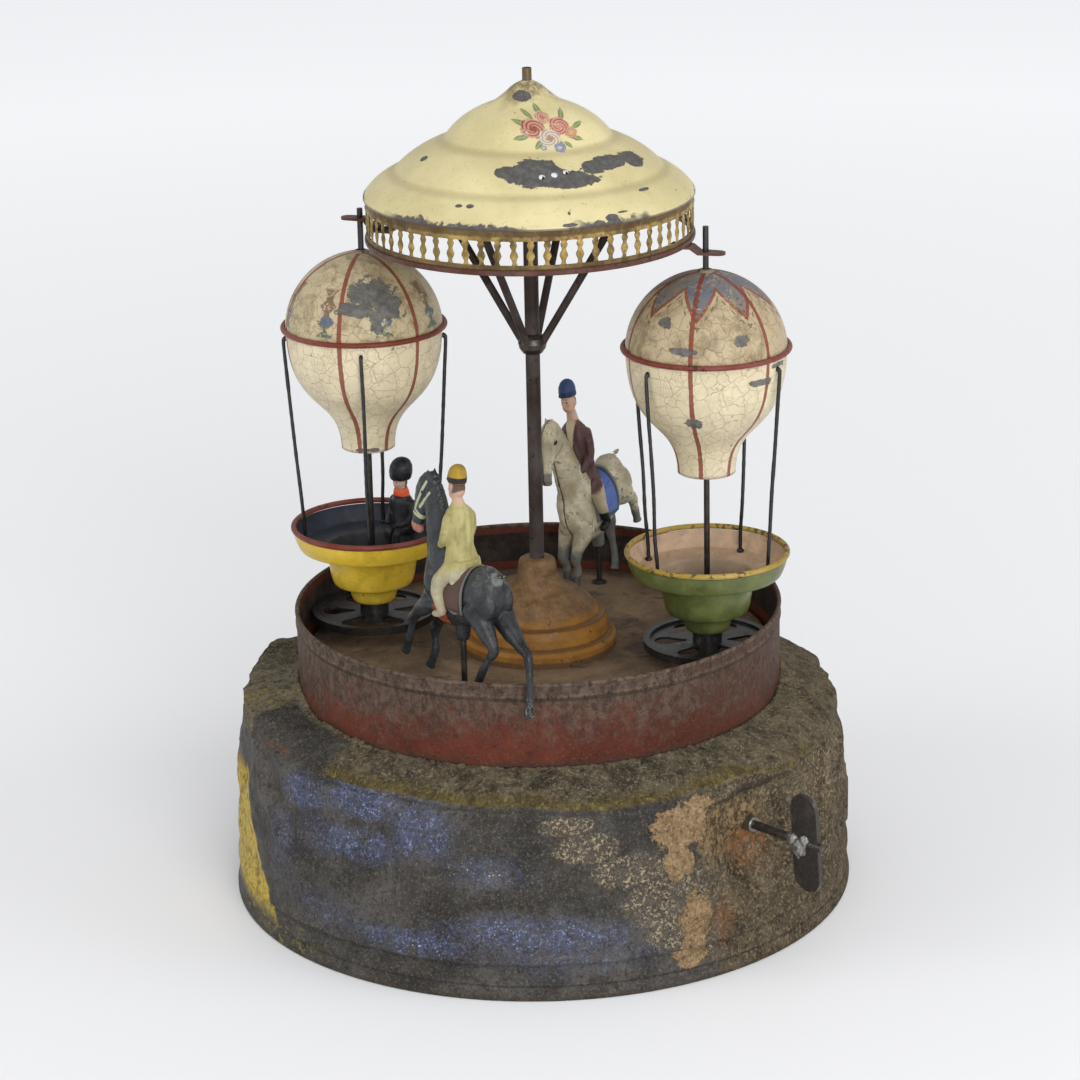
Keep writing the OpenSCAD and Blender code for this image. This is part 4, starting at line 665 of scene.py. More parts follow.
def canopy_finish(c):
    """Freckled cream with dark chips, a worn tip and a painted wreath."""
    f = Finish("canopy paint")
    x, y, z = f.axes()
    turns, _, _ = f.around()
    deg = turns * 360
    lip = LIP_Z * MM
    rag = f.grain(0.008, 6, 0.62, 0.5) - 0.5
    fine = f.grain(0.0014, 4, 0.7, offset=3) - 0.5
    cloud = f.grain(0.028, 3, 0.55, offset=4)
    cream = f.mix(cloud.ramp(0.3, 0.72), dull(c.cream, 0.88), toward(c.cream, (0.80, 0.71, 0.42), 0.4))
    cream = f.blot(cream, (0.46, 0.36, 0.14), 0.35, (0.52, 0.8), 0.006, 4, 0.7, offset=5)
    freckle = f.cells(0.0019).ramp(0.16, 0.08) * f.grain(0.014, 4, 0.65, offset=6).ramp(0.42, 0.58)
    cream = f.mix(freckle * 0.6, cream, (0.25, 0.13, 0.04))
    cream = f.blot(cream, (0.40, 0.29, 0.12), 0.3, (0.57, 0.64), 0.0016, 4, 0.8, offset=21)
    cream = f.mix(f.cells(0.0052).ramp(0.075, 0.04) * 0.75, cream, (0.12, 0.07, 0.035))
    worn_tip = (z - lip + rag * 0.012).ramp(0.0355, 0.0445)
    cream = f.mix(worn_tip * (rag + fine).ramp(-0.25, 0.1) * 0.85, cream, (0.15, 0.105, 0.05))
    for step in (0.0104, 0.0230):
        ring = abs(z - lip - step).ramp(0.0018, 0.0002)
        cream = f.mix(ring * 0.28, cream, (0.26, 0.19, 0.08))

    far = math.radians(-72)
    across = y * math.cos(far) - x * math.sin(far)
    front = (x * math.cos(far) + y * math.sin(far)).ramp(0.0, 0.002)
    kept = (rag * 1.3 + fine * 1.7).ramp(0.36, 0.16)

    def petals(side, height, wide, colour, heart, count, phase=0.0):
        """A round bloom of scalloped petals a distance aside from the wreath's middle."""
        nonlocal cream
        dx = across - side * 0.001
        dz = (z - lip - height * 0.001) * 1.5
        span = (dx * dx + dz * dz).of("SQRT") / (wide * 0.001)
        turn = dz.of("ARCTAN2", dx) * (count / (2 * math.pi)) + phase + 8.0
        scallop = abs(turn.of("FRACT") - 0.5) * 0.5
        body = (span + scallop * 0.6 + fine * 0.35).ramp(1.08, 0.94) * front * kept
        ring = (span * 3.4 + (turn * 0.5).of("FRACT")).of("FRACT")
        cream = f.mix(body * 0.9, cream, f.mix(ring.ramp(0.15, 0.75), dull(colour, 0.55),
                                               toward(colour, (0.9, 0.6, 0.5), 0.35)))
        cream = f.mix((span + fine * 0.6).ramp(0.42, 0.24) * front * kept * 0.8, cream, heart)

    def leaf(side, height, size, lean, colour=(0.085, 0.15, 0.05)):
        nonlocal cream
        dx = across - side * 0.001
        dz = (z - lip - height * 0.001) * 1.5
        t = math.radians(lean)
        u = (dx * math.cos(t) + dz * math.sin(t)) / (size * 0.001)
        v = (dz * math.cos(t) - dx * math.sin(t)) / (size * 0.00038)
        body = (u * u + abs(v) + fine * 0.5).ramp(1.05, 0.85) * front * kept
        cream = f.mix(body * 0.85, cream, f.mix(abs(v).ramp(0.1, 0.5),
                                                toward(colour, (0.4, 0.5, 0.2), 0.4), colour))

    for side, height, size, lean in ((-9.5, 33, 3.6, 150), (-11.5, 28.5, 3.4, 195),
                                     (-5.5, 26.2, 3.4, 235), (3.2, 25.4, 3.6, 290),
                                     (10.2, 27.2, 3.6, 330), (12.6, 31, 3.2, 20), (7.6, 34.6, 3.2, 60),
                                     (-1, 36.6, 3.4, 95),
                                     (-5.8, 35.6, 2.8, 120), (6.2, 25.3, 2.6, 310)):
        leaf(side, height, size, lean)
    petals(-6.0, 31.2, 4.9, (0.36, 0.055, 0.03), (0.22, 0.04, 0.02), 7)
    petals(4.6, 31.4, 4.4, (0.46, 0.06, 0.07), (0.55, 0.26, 0.2), 6, 0.4)
    petals(-0.6, 34.4, 3.0, (0.50, 0.24, 0.16), (0.4, 0.12, 0.06), 5, 0.2)
    petals(-0.8, 28.0, 4.6, (0.52, 0.48, 0.42), (0.30, 0.16, 0.10), 9, 0.1)
    petals(8.8, 29.0, 2.9, (0.52, 0.22, 0.10), (0.62, 0.40, 0.16), 6, 0.3)
    petals(-9.6, 30.2, 1.5, (0.45, 0.28, 0.22), (0.3, 0.1, 0.08), 5)
    petals(2.4, 24.6, 2.6, (0.06, 0.16, 0.38), (0.5, 0.5, 0.4), 5, 0.5)
    petals(-4.2, 24.9, 1.4, (0.12, 0.20, 0.36), (0.5, 0.5, 0.4), 5)

    def chip(a, height, wide, tall, edge=0.75):
        gap = deg.aside(a) / wide
        rise = (z - lip - height) / tall
        return ((gap * gap + rise * rise).of("SQRT") + rag * edge * 2 + fine * 0.5).ramp(1.03, 0.98)

    chips = chip(-86, 0.0178, 13.5, 0.0044)
    for m in (chip(-70, 0.0152, 13, 0.0026), chip(-57, 0.0172, 6, 0.0011),
              chip(-100, 0.0182, 8, 0.0016), chip(-46, 0.0185, 17, 0.0020),
              chip(-28, 0.0180, 8, 0.0026), chip(-117, 0.0076, 1.4, 0.0005),
              chip(-112.5, 0.0078, 1.5, 0.0006),
              chip(-39.5, 0.0089, 3.0, 0.0004), chip(-158, 0.0186, 2.5, 0.0008),
              chip(-106, 0.0409, 26, 0.0018),
              chip(-61.5, 0.0026, 2.6, 0.0013), chip(-77, 0.0016, 2.6, 0.0007),
              chip(-56, 0.0040, 2.0, 0.0003)):
        chips = chips.of("MAXIMUM", m)
    patches = f.grain(0.020, 3, 0.55, offset=12).ramp(0.44, 0.56)
    left_lip = abs((deg + 118 + 540).of("FLOORED_MODULO", 360.0) - 180).ramp(30, 22)
    worn_lip = ((z - lip) + rag * 0.008 + fine * 0.002).ramp(0.0024, 0.0016)
    chips = chips.of("MAXIMUM", worn_lip * patches.of("MAXIMUM", left_lip))
    loose = (f.grain(0.0044, 6, 0.62, offset=14) + fine * 0.05).ramp(0.69, 0.70)
    chips = chips.of("MAXIMUM", loose)
    tin = f.mix(f.grain(0.0022, 4, 0.7, offset=16).ramp(0.35, 0.7), dull(c.bare, 0.7),
                toward(c.bare, (0.22, 0.20, 0.17), 0.25))
    base = f.mix(chips, cream, tin)
    base = f.mix((z - lip).ramp(0.0011, 0.0004) * 0.8, base, (0.075, 0.05, 0.035))
    f.raise_by(1.0 - chips, 0.00022)
    f.raise_by(f.grain(0.003, 4, 0.6, offset=18), 0.00020)
    return f.done(base, (cloud * 0.12 + 0.34) + chips * 0.25 + freckle * 0.2, shine=0.4)


def balloon_finish(name, middle, c, side):
    """Crackled cream with red-brown seams; a star cap on the right, a band of lozenges on the left."""
    f = Finish(name, middle)
    _, _, z = f.axes()
    turns, radius, _ = f.around()
    left = side == "left"
    rag = f.grain(0.0065, 5, 0.66, 0.4, offset=1.0 if left else 21.0) - 0.5
    fine = f.grain(0.0014, 3, 0.7, offset=2) - 0.5
    cloud = f.grain(0.02, 4, 0.6, offset=3 if left else 33)
    cream = f.mix(cloud.ramp(0.3, 0.72), dull(c.cream, 0.84), toward(c.cream, (0.80, 0.72, 0.52), 0.4))
    above = z.ramp(-0.0005, 0.001)
    cream = f.mix(above * (0.65 if left else 0.75), cream,
                  (0.42, 0.335, 0.19) if left else (0.40, 0.305, 0.175))
    dirt = f.grain(0.011, 5, 0.7, 0.4, offset=4 if left else 44).ramp(0.44, 0.64)
    cream = f.mix(dirt * (above * 0.6 + 0.12), cream, (0.19, 0.135, 0.07))
    crack = f.cells(0.0064, "DISTANCE_TO_EDGE", place=f.jittered(0.0022, 0.006)).ramp(0.020, 0.004)
    hair = f.cells(0.0030, "DISTANCE_TO_EDGE", place=f.jittered(0.0009, 0.003)).ramp(0.035, 0.005)
    crackle = (crack * 0.8).of("MAXIMUM", hair * f.grain(0.012, 3, 0.6, offset=5).ramp(0.40, 0.58)
                               * 0.6)
    cream = f.mix(crackle * (above * 0.15 + 0.62), cream, (0.23, 0.12, 0.065))
    freckle = f.cells(0.0022).ramp(0.14, 0.08) * f.grain(0.01, 3, 0.6, offset=7).ramp(0.5, 0.62)
    cream = f.mix(freckle * 0.65, cream, (0.17, 0.10, 0.05))
    count = 6
    start = 0.26 if left else 0.235
    fold_ = abs((turns * count + start + 40.0).of("FRACT") - 0.5)
    width = fold_ * radius * (2 * math.pi / count)
    seam = (width + fine * 0.0006 + rag * 0.0007).ramp(0.00105, 0.0008) * radius.ramp(0.003, 0.004)
    colour = cream
    polar = radius.of("ARCTAN2", z + 0.0016)
    if not left:
        zig = abs((turns * 8 + 20.25).of("FRACT") - 0.5)
        edge = polar - zig * 0.95
        star = (edge + fine * 0.05 + rag * 0.06).ramp(0.455, 0.435)
        rim = (edge + fine * 0.04).ramp(0.430, 0.445) * (edge + fine * 0.04).ramp(0.530, 0.515)
        worn = (rag * 1.4 + fine * 1.5 + (cloud - 0.5)).ramp(0.34, 0.1)
        colour = f.mix(star * worn * (1.0 - dirt * 0.6) * 0.85, colour, c.star)
        colour = f.mix(rim * (worn * 0.6 + 0.4) * 0.85, colour, c.stripe)
        drop_turn = ((turns * 8 + 20.75).of("FRACT") - 0.5) * radius * (2 * math.pi / 8)
        row = ((polar * 11.0).of("FRACT") - 0.5) * 0.0029
        dots = (drop_turn * drop_turn + row * row).of("SQRT").ramp(0.00075, 0.0004)
        dots = dots * polar.ramp(0.62, 0.64) * polar.ramp(1.12, 1.1)
        side_turn = ((turns * 56).of("FRACT") - 0.5) * radius * (2 * math.pi / 56)
        string = abs(edge - 0.62) * 0.032
        dots = dots.of("MAXIMUM", (side_turn * side_turn + string * string).of("SQRT").ramp(0.0008,
                0.00045))
        colour = f.mix(dots * above * (rag + fine).ramp(0.3, 0.05) * 0.8, colour, (0.10, 0.055, 0.03))
    else:
        tall = (z - 0.0115) / 0.0095
        turn = ((turns * 8 + 20.1).of("FRACT") - 0.5) * 2.0
        kept = (rag * 1.5 + fine * 1.8).ramp(0.22, 0.02)
        stem = (abs(turn) - (tall + 0.2) * 0.05 + fine * 0.12).ramp(0.115, 0.085) * abs(tall).ramp(0.98,
                0.9)
        leafy = (abs(turn) * 2.6 + abs((tall * 1.6 + 40.0).of("FRACT") - 0.5) * 1.5 + fine * 0.5)
        leafy = leafy.ramp(0.95, 0.8) * abs(tall).ramp(1.0, 0.9)
        motif = stem.of("MAXIMUM", leafy)
        shade = f.mix(tall.ramp(-0.25, 0.05),
                      f.mix((tall + fine * 0.3).ramp(-0.5, -0.3), (0.06, 0.11, 0.08),
                            (0.05, 0.085, 0.16)),
                      (0.15, 0.085, 0.045))
        colour = f.mix(motif * kept * 0.88, colour, shade)
    colour = f.mix(seam * (rag + fine).ramp(0.42, 0.2) * 0.9, colour, c.stripe)

    def loss(a, height, wide, tall_, edge=1.0):
        gap = (turns * 360).aside(a) / wide
        rise = (z - height) / tall_
        return ((gap * gap + rise * rise).of("SQRT") + rag * 2.0 * edge + torn * 1.7 + fine
                * 0.5).ramp(1.03, 0.98)

    torn = f.grain(0.0030, 5, 0.75, 0.4, offset=56) - 0.5
    bare = (f.grain(0.0048, 6, 0.62, offset=11 if left else 41) + fine * 0.05).ramp(0.69, 0.70)
    spots = [(-78, 0.0185, 20, 0.0062), (-92, 0.0135, 17, 0.0028), (-64, 0.014, 10, 0.0045),
             (-78, 0.0085, 4.5, 0.0055),
             (-95, -0.0505, 30, 0.0008)] if left else \
        [(-66, 0.0095, 6, 0.0020), (-110, 0.006, 9, 0.0016), (-50, -0.0085, 10, 0.0014),
         (-104, -0.0245, 7, 0.0022),
         (-30, -0.0035, 8, 0.0012), (-128, 0.0155, 8, 0.0018)]
    for s in spots:
        bare = bare.of("MAXIMUM", loss(*s))
    tin = f.mix(f.grain(0.003, 4, 0.7, offset=13).ramp(0.35, 0.7), (0.075, 0.076, 0.076),
                (0.17, 0.165, 0.15))
    colour = f.mix(bare * 0.95, colour, tin)
    colour = f.mix(z.ramp(-0.0505, -0.0515) * 0.5, colour, (0.12, 0.08, 0.05))
    f.raise_by(1.0 - bare.of("MAXIMUM", crackle * 0.7), 0.00018)
    f.raise_by(f.grain(0.003, 4, 0.6, offset=15), 0.00018)
    return f.done(colour, (cloud * 0.15 + 0.34) + bare * 0.25, shine=0.35)


def gallery_finish(c):
    """Gold lacquer worn to brown, darker in the hollows and along both hoops."""
    f = Finish("gallery lacquer")
    _, radius, z = f.around()
    rag = f.grain(0.003, 5, 0.7) - 0.5
    gold = f.mix(f.grain(0.010, 3, 0.6, offset=2).ramp(0.35, 0.65), dull(c.gold, 0.5),
                 toward(c.gold, (0.62, 0.46, 0.18), 0.15))
    worn = (rag * 2.2 + (f.grain(0.014, 4, 0.65, offset=4) - 0.5) * 2.0).ramp(-0.25, 0.35)
    base = f.mix(worn * 0.85, gold, (0.085, 0.052, 0.024))
    foot = (z - BAND_LOW.z + rag * 0.0012).ramp(0.0024, 0.0015)
    head = (z - BAND_HIGH.z + rag * 0.0012).ramp(-0.0035, -0.0026)
    base = f.mix(foot.of("MAXIMUM", head) * 0.75, base, (0.085, 0.052, 0.026))
    base = f.mix(radius.ramp(0.0651, 0.0648) * 0.6, base, (0.06, 0.04, 0.022))
    f.raise_by(rag, 0.00015)
    return f.done(base, 0.42 + worn * 0.2, 0.25)


def gondola_finish(name, middle, outer, inner, under, seed):
    """Glossy paint on the stepped tin; the inside has its own dustier colour."""
    f = Finish(name, middle)
    _, radius, z = f.around()
    z = z - GONDOLA_Z * MM
    rag = f.grain(0.005, 6, 0.64, 0.4, offset=seed) - 0.5
    fine = f.grain(0.0013, 4, 0.7, offset=seed + 1)
    cloud = f.grain(0.016, 4, 0.6, offset=seed + 2)
    inside = f.attribute("inside").ramp(0.4, 0.6)
    out = f.mix(cloud.ramp(0.3, 0.7), dull(outer, 0.8), toward(outer, (0.9, 0.8, 0.4), 0.08))
    out = f.blot(out, dull(outer, 0.3), 0.5, (0.58, 0.75), 0.004, 5, 0.7, offset=seed + 3)
    soot = (f.grain(0.009, 5, 0.72, 0.4, offset=seed + 4) - z.ramp(0.014, 0.003) * 0.10).ramp(0.52,
            0.42) * 0.25
    out = f.mix(soot, out, dull(outer, 0.35))
    inn = f.mix(cloud.ramp(0.35, 0.7), dull(inner, 0.66), inner)
    inn = f.blot(inn, under, 0.6, (0.5, 0.72), 0.0035, 5, 0.72, offset=seed + 5)
    dusty = radius.ramp(0.024, 0.016) * z.ramp(0.014, 0.02)
    inn = f.mix(dusty * 0.45, inn, toward(dull(inner, 0.6), (0.16, 0.14, 0.11), 0.6))
    # painted shade: the inside darkens deep down in the bowl
    inn = f.mix(z.ramp(0.022, 0.012) * 0.6, inn, (0.045, 0.035, 0.028))
    base = f.mix(inside, out, inn)
    chips = (f.grain(0.0045, 6, 0.62, offset=seed + 7) + fine * 0.03 + rag * 0.02).ramp(0.695, 0.705)
    base = f.mix(chips * 0.9, base, under)
    specks = f.cells(0.0023).ramp(0.12, 0.07) * f.grain(0.01, 3, offset=seed + 8).ramp(0.48, 0.6)
    base = f.mix(specks * 0.65, base, (0.08, 0.05, 0.03))
    f.raise_by(1.0 - chips, 0.00012)
    f.raise_by(fine, 0.0001)
    return f.done(base, (inside * 0.25 + 0.24) + fine * 0.16 + chips * 0.2, shine=0.4)


def figure_place(f):
    """The figure's own place, in millimetres, nose along X and up along Z."""
    node = f.node("ShaderNodeAttribute")
    node.attribute_name = "own_place"
    split = f.node("ShaderNodeSeparateXYZ")
    f.tree.links.new(node.outputs["Vector"], split.inputs[0])
    return [Wire(f, s) for s in split.outputs]


def near_point(x, y, z, point, reach, squash=(1, 1, 1), rag=None):
    """1 close to a point of the figure, 0 beyond its reach."""
    gap = None
    for w, p, s in zip((x, y, z), point, squash):
        d = (w - p) / s
        gap = d * d if gap is None else gap + d * d
    gap = gap.of("SQRT")
    if rag:
        gap = gap + rag
    return gap.ramp(reach * 1.06, reach * 0.94)


def near_line(x, z, a, b, width):
    """1 close to the line from a to b in the plane of X and Z."""
    run = (b[0] - a[0], b[1] - a[1])
    size = run[0] * run[0] + run[1] * run[1]
    t = (((x - a[0]) * run[0] + (z - a[1]) * run[1]) / size).of("MAXIMUM", 0.0).of("MINIMUM", 1.0)
    dx = x - a[0] - t * run[0]
    dz = z - a[1] - t * run[1]
    return (dx * dx + dz * dz).of("SQRT").ramp(width * 1.3, width * 0.8)


def black_horse_finish(c):
    f = Finish("black horse paint")
    x, y, z = figure_place(f)
    rag = f.grain(0.004, 6, 0.66, 0.4) - 0.5
    fine = f.grain(0.0011, 4, 0.72, offset=2) - 0.5
    cloud = f.grain(0.012, 4, 0.6, offset=3)
    base = f.mix(cloud.ramp(0.3, 0.7), dull(c.black, 0.4), toward(c.black, (0.10, 0.105, 0.11), 0.22))
    worn = (rag * 1.5 + fine * 1.5 + (cloud - 0.5) * 0.7).ramp(0.30, 0.40)
    base = f.mix(worn * 0.6, base, c.lead)
    # painted highlight: lighter grey-blue on the top of the rump
    top = z.ramp(26, 31) * x.ramp(-12, -15) * (rag + fine).ramp(-0.1, 0.2)
    base = f.mix(top * 0.5, base, (0.20, 0.215, 0.19))
    hoof = near_point(x, y, z, (-40.4, 0.4, -19.5), 5.0, (1, 1, 1.3), rag * 7)
    base = f.mix(hoof * (fine * 5 + rag * 4 + 0.1).ramp(0.0, 0.6) * 0.8, base, (0.24, 0.24, 0.23))
    muzzle = near_point(x, y, z, (28.6, 0, 38.5), 3.4, rag=rag * 2)
    base = f.mix(muzzle * 0.85, base, (0.42, 0.17, 0.12))
    bridle = near_line(x, z, (19.5, 60), (27.5, 47), 0.55).of("MAXIMUM",
                                                              near_line(x, z, (28.6, 45.5), (23.0,
                                                                      42.8), 0.55))
    bridle = bridle.of("MAXIMUM", near_line(x, z, (17.5, 56), (24.2, 48.5), 0.5))
    bridle = bridle.of("MAXIMUM", near_line(x, z, (27.5, 47), (23.2, 43.5), 0.5))
    base = f.mix(bridle * (rag + fine).ramp(0.5, 0.2) * 0.9, base, (0.42, 0.47, 0.28))
    eye = near_point(x, abs(y), z, (21.6, 3.5, 55.0), 1.0)
    base = f.mix(eye, base, (0.005, 0.005, 0.005))
    girth = abs(x - 7.0 + rag * 3).ramp(4.4, 3.8) * (z + rag * 3).ramp(13.5,
            12.0) * (z + rag * 2).ramp(4.5, 6.0)
    base = f.mix(girth * (rag + fine).ramp(0.3, 0.0) * 0.85, base, (0.36, 0.075, 0.035))
    # painted shade: the tail's hole is painted near black
    hole = near_point(x, y, z, (-22.2, 0.3, 30.9), 1.2, rag=rag * 1.2)
    base = f.mix(hole, base, (0.003, 0.003, 0.003))
    ring = near_point(x, y, z, (-21.8, 0.3, 30.9), 3.4, rag=rag * 4) * (1.0 - hole)
    base = f.mix(ring * 0.5, base, (0.25, 0.27, 0.24))
    dent = near_point(x, y, z, (-20.0, -4.6, 21.0), 1.1)
    base = f.mix(dent * 0.8, base, (0.4, 0.4, 0.38))
    f.raise_by(fine + rag, 0.00018)
    return f.done(base, (rag * 0.3 + 0.26) + worn * 0.1, worn * 0.25, shine=0.32)


def white_horse_finish(c):
    f = Finish("white horse paint")
    x, y, z = figure_place(f)
    rag = f.grain(0.004, 6, 0.66, 0.4, offset=5) - 0.5
    fine = f.grain(0.0011, 4, 0.72, offset=6) - 0.5
    cloud = f.grain(0.010, 4, 0.62, offset=7)
    base = f.mix(cloud.ramp(0.3, 0.7), dull(c.white, 0.72), toward(c.white, (0.78, 0.72, 0.55), 0.45))
    worn = (rag * 1.6 + fine * 1.5 + (cloud - 0.5) * 0.8).ramp(0.17, 0.27)
    base = f.mix(worn * 0.75, base, (0.10, 0.105, 0.105))
    spots = f.cells(0.0034).ramp(0.24, 0.12) * x.ramp(2, -6)
    base = f.mix(spots * 0.6, base, (0.12, 0.125, 0.125))
    hind = x.ramp(0, -4)
    lower = (z + rag * 6).ramp(8.0, 4.0) * (1.0 - hind) + (z + rag * 6).ramp(12.5, 8.0) * hind
    base = f.mix(lower.of("MINIMUM", 1.0) * 0.85, base, (0.085, 0.09, 0.092))
    hoof = (z + rag * 1.0).ramp(-4.6, -5.6) * x.ramp(10, 14)
    base = f.mix(hoof * 0.7, base, (0.035, 0.035, 0.035))
    muzzle = near_point(x, y, z, (29.2, 0, 37.5), 5.6, rag=rag * 4)
    base = f.mix(muzzle * 0.8, base, (0.11, 0.105, 0.10))
    lips = near_point(x, y, z, (29.6, 0, 36.4), 2.2, rag=rag * 2)
    base = f.mix(lips * 0.6, base, (0.26, 0.12, 0.09))
    seam = abs(y + rag * 0.7).ramp(0.42, 0.2) * x.ramp(12, 14) * z.ramp(6, 8) * z.ramp(52, 46)
    seam = seam.of("MAXIMUM", abs(y + rag * 0.5).ramp(0.35, 0.15) * z.ramp(58, 60) * 0.8)
    base = f.mix(seam * 0.88, base, (0.02, 0.018, 0.016))
    eye = near_point(x, abs(y), z, (22.2, 3.5, 54.4), 1.25, (1.3, 1, 0.8))
    base = f.mix(eye, base, (0.008, 0.007, 0.006))
    line = near_line(x, z, (23.0, 47.0), (17.6, 52.5), 0.3).of("MAXIMUM",
                                                               near_line(x, z, (23.4, 46.5), (20.0,
                                                                       44.5), 0.3))
    base = f.mix(line * 0.55, base, (0.12, 0.10, 0.075))
    f.raise_by(fine + rag, 0.00016)
    f.raise_by(1.0 - seam, 0.0005)
    return f.done(base, (rag * 0.25 + 0.40) + worn * 0.1)


def cloth_finish(name, colour, edge, heart):
    """Painted saddle cloth with a worn edge line and a lighter field."""
    f = Finish(name)
    x, _, z = figure_place(f)
    rag = f.grain(0.003, 5, 0.68, 0.3) - 0.5
    fine = f.grain(0.001, 4, 0.7, offset=2) - 0.5
    base = f.mix(f.grain(0.008, 4, 0.6, offset=3).ramp(0.3, 0.7), dull(colour, 0.6), colour)
    field = abs(x + 0.5).ramp(6.4, 5.8) * z.ramp(14.6, 15.4)
    base = f.mix(field * (rag + fine).ramp(0.35, 0.05) * 0.8, base, heart)
    hem = abs(x + 0.3).ramp(7.2, 7.6).of("MAXIMUM", z.ramp(13.8, 13.2))
    base = f.mix(hem * (rag + fine).ramp(0.35, 0.1) * 0.85, base, edge)
    f.raise_by(fine + rag, 0.00015)
    return f.done(base, rag * 0.3 + 0.42)


def rider_finish(name, c, rise, head_rise, jacket, breeches, cap, band, collar, boots):
    """A cast rider's paint: cap, plain face, jacket, breeches and boots."""
    f = Finish(name)
    x, y, z = figure_place(f)
    rag = f.grain(0.003, 6, 0.66, 0.4) - 0.5
    fine = f.grain(0.0009, 4, 0.72, offset=2) - 0.5
    cloud = f.grain(0.008, 4, 0.6, offset=3)
    w = rag * 1.2 + fine * 0.6
    up = z - head_rise
    skin = f.mix(cloud, (0.42, 0.24, 0.16), (0.60, 0.42, 0.31))
    skin = f.mix(near_point(x, abs(y), up, (8.2, 1.9, 61.6), 1.3, rag=w) * 0.35, skin,
                 (0.5, 0.13, 0.09))
    coat = f.mix(cloud.ramp(0.3, 0.7), dull(jacket, 0.76), toward(jacket, (1, 1, 1), 0.06))
    # painted shade in the jacket's creases
    crease = f.grain(0.005, 4, 0.6, place=f.stretched((1, 1, 0.3)), offset=5).ramp(0.55, 0.75)
    coat = f.mix(crease * 0.5, coat, dull(jacket, 0.3))
    coat = f.blot(coat, (0.15, 0.10, 0.055), 0.45, (0.55, 0.7), 0.006, 5, 0.7, 0.4, offset=6)
    opening = abs(y + w) - (z - 40.0 - rise) * 0.16
    coat = f.mix(opening.ramp(0.5, -0.3) * x.ramp(4.5, 6.5) * (z - rise).ramp(40, 43), coat, collar)
    legs = f.mix(cloud.ramp(0.3, 0.7), dull(breeches, 0.62), breeches)
    boot = f.mix(cloud, dull(boots, 0.5), boots)
    hat = f.mix(cloud.ramp(0.3, 0.7), dull(cap, 0.6), cap)
    hat = f.mix(abs(up - 66.4 + w * 0.4).ramp(1.25, 1.0), hat, band)
    thigh = (z + (x - 1.0) * 0.35 + w * 2).ramp(29.5, 27.8)
    base = f.mix(thigh, coat, legs)
    hand = near_point(x, abs(y), z, (10.6, 3.0, 36.5), 2.0)
    base = f.mix(hand, base, skin)
    base = f.mix((z + w * 1.5).ramp(17.6, 16.8), base, boot)
    base = f.mix((z - rise + w * 0.8).ramp(55.0, 55.5), base, skin)
    hair = (up + x * 0.5 + w).ramp(62.5, 63.3) * x.ramp(4.4, 3.4)
    base = f.mix(hair * 0.85, base, (0.04, 0.025, 0.015))
    base = f.mix((up + w * 0.3).ramp(65.0, 65.3), base, hat)
    eye = near_point(x, abs(y), up, (8.4, 1.35, 62.9), 0.46, (3, 1.2, 0.7))
    brow = near_point(x, abs(y), up, (8.4, 1.4, 64.2), 0.5, (3, 1.8, 0.45))
    mouth = near_point(x, y, up, (8.2, 0, 59.2), 0.5, (3, 1.9, 0.5))
    base = f.mix(eye * 0.85, base, (0.03, 0.02, 0.015))
    base = f.mix(brow * 0.6, base, (0.10, 0.06, 0.035))
    base = f.mix(mouth * 0.6, base, (0.35, 0.10, 0.08))
    worn = (w + (cloud - 0.5) * 0.4).ramp(0.36, 0.5)
    base = f.mix(worn * 0.75, base, c.lead)
    f.raise_by(fine + rag, 0.00014)
    return f.done(base, rag * 0.3 + 0.42)


def passenger_finish(c):
    """Black coat and rounded hat, a red-orange scarf and a plain face."""
    f = Finish("passenger paint")
    x, y, z = figure_place(f)
    w = (f.grain(0.003, 6, 0.66, 0.4) - 0.5) * 1.2 + (f.grain(0.0009, 4, 0.72, offset=2) - 0.5) * 0.6
    cloud = f.grain(0.006, 4, 0.6, offset=3)
    base = f.mix(cloud.ramp(0.3, 0.7), (0.012, 0.012, 0.014), (0.045, 0.046, 0.05))
    base = f.mix((w + (cloud - 0.5) * 0.6).ramp(0.3, 0.5) * 0.5, base, c.lead)
    scarf = (z + w * 0.5).ramp(16.9, 17.3) * (z + w * 0.4).ramp(20.4, 20.0)
    base = f.mix(scarf, base, f.mix(cloud, (0.55, 0.06, 0.02), (0.85, 0.16, 0.06)))
    face = (z + w * 0.3).ramp(20.2, 20.6) * (z + w * 0.3).ramp(24.4, 24.0) * x.ramp(0.2, 1.2)
    base = f.mix(face, base, (0.55, 0.36, 0.26))
    eye = near_point(x, abs(y), z, (4.3, 1.1, 22.9), 0.36, (3, 1.2, 0.7))
    base = f.mix(eye * 0.85, base, (0.03, 0.02, 0.015))
    f.raise_by(w, 0.00014)
    return f.done(base, cloud * 0.2 + 0.2)


def stage_floor(c):
    """Plain pale floor that goes on evenly into the distance as the camera sees it."""
    f = Finish("floor paint")
    spread = f.grain(0.6, 3, 0.5)
    material = f.done(f.mix(spread, tuple(c.floor), dull(tuple(c.floor), 0.99)), 0.9)
    _, far, _ = f.around()
    rays = f.node("ShaderNodeLightPath")
    seen = Wire(f, rays.outputs["Is Camera Ray"])
    seen = seen.of("MAXIMUM", Wire(f, rays.outputs["Is Glossy Ray"]))
    seen = seen.of("MAXIMUM", Wire(f, rays.outputs["Is Transmission Ray"]))
    glow = f.node("ShaderNodeEmission")
    glow.inputs["Color"].default_value = (0.93, 0.97, 1.0, 1.0)
    f.put(glow.inputs["Strength"], seen * (far.ramp(0.25, 1.7, False) + 0.15) * c.glow)
    both = f.node("ShaderNodeAddShader")
    out = f.tree.nodes["Material Output"]
    f.tree.links.new(f.shader.outputs[0], both.inputs[0])
    f.tree.links.new(glow.outputs[0], both.inputs[1])
    f.tree.links.new(both.outputs[0], out.inputs["Surface"])
    return material


# Shapes


def as_mesh(work, name):
    """The mesh in the making as a finished mesh."""
    mesh = bpy.data.meshes.new(name)
    work.to_mesh(mesh)
    work.free()
    return mesh


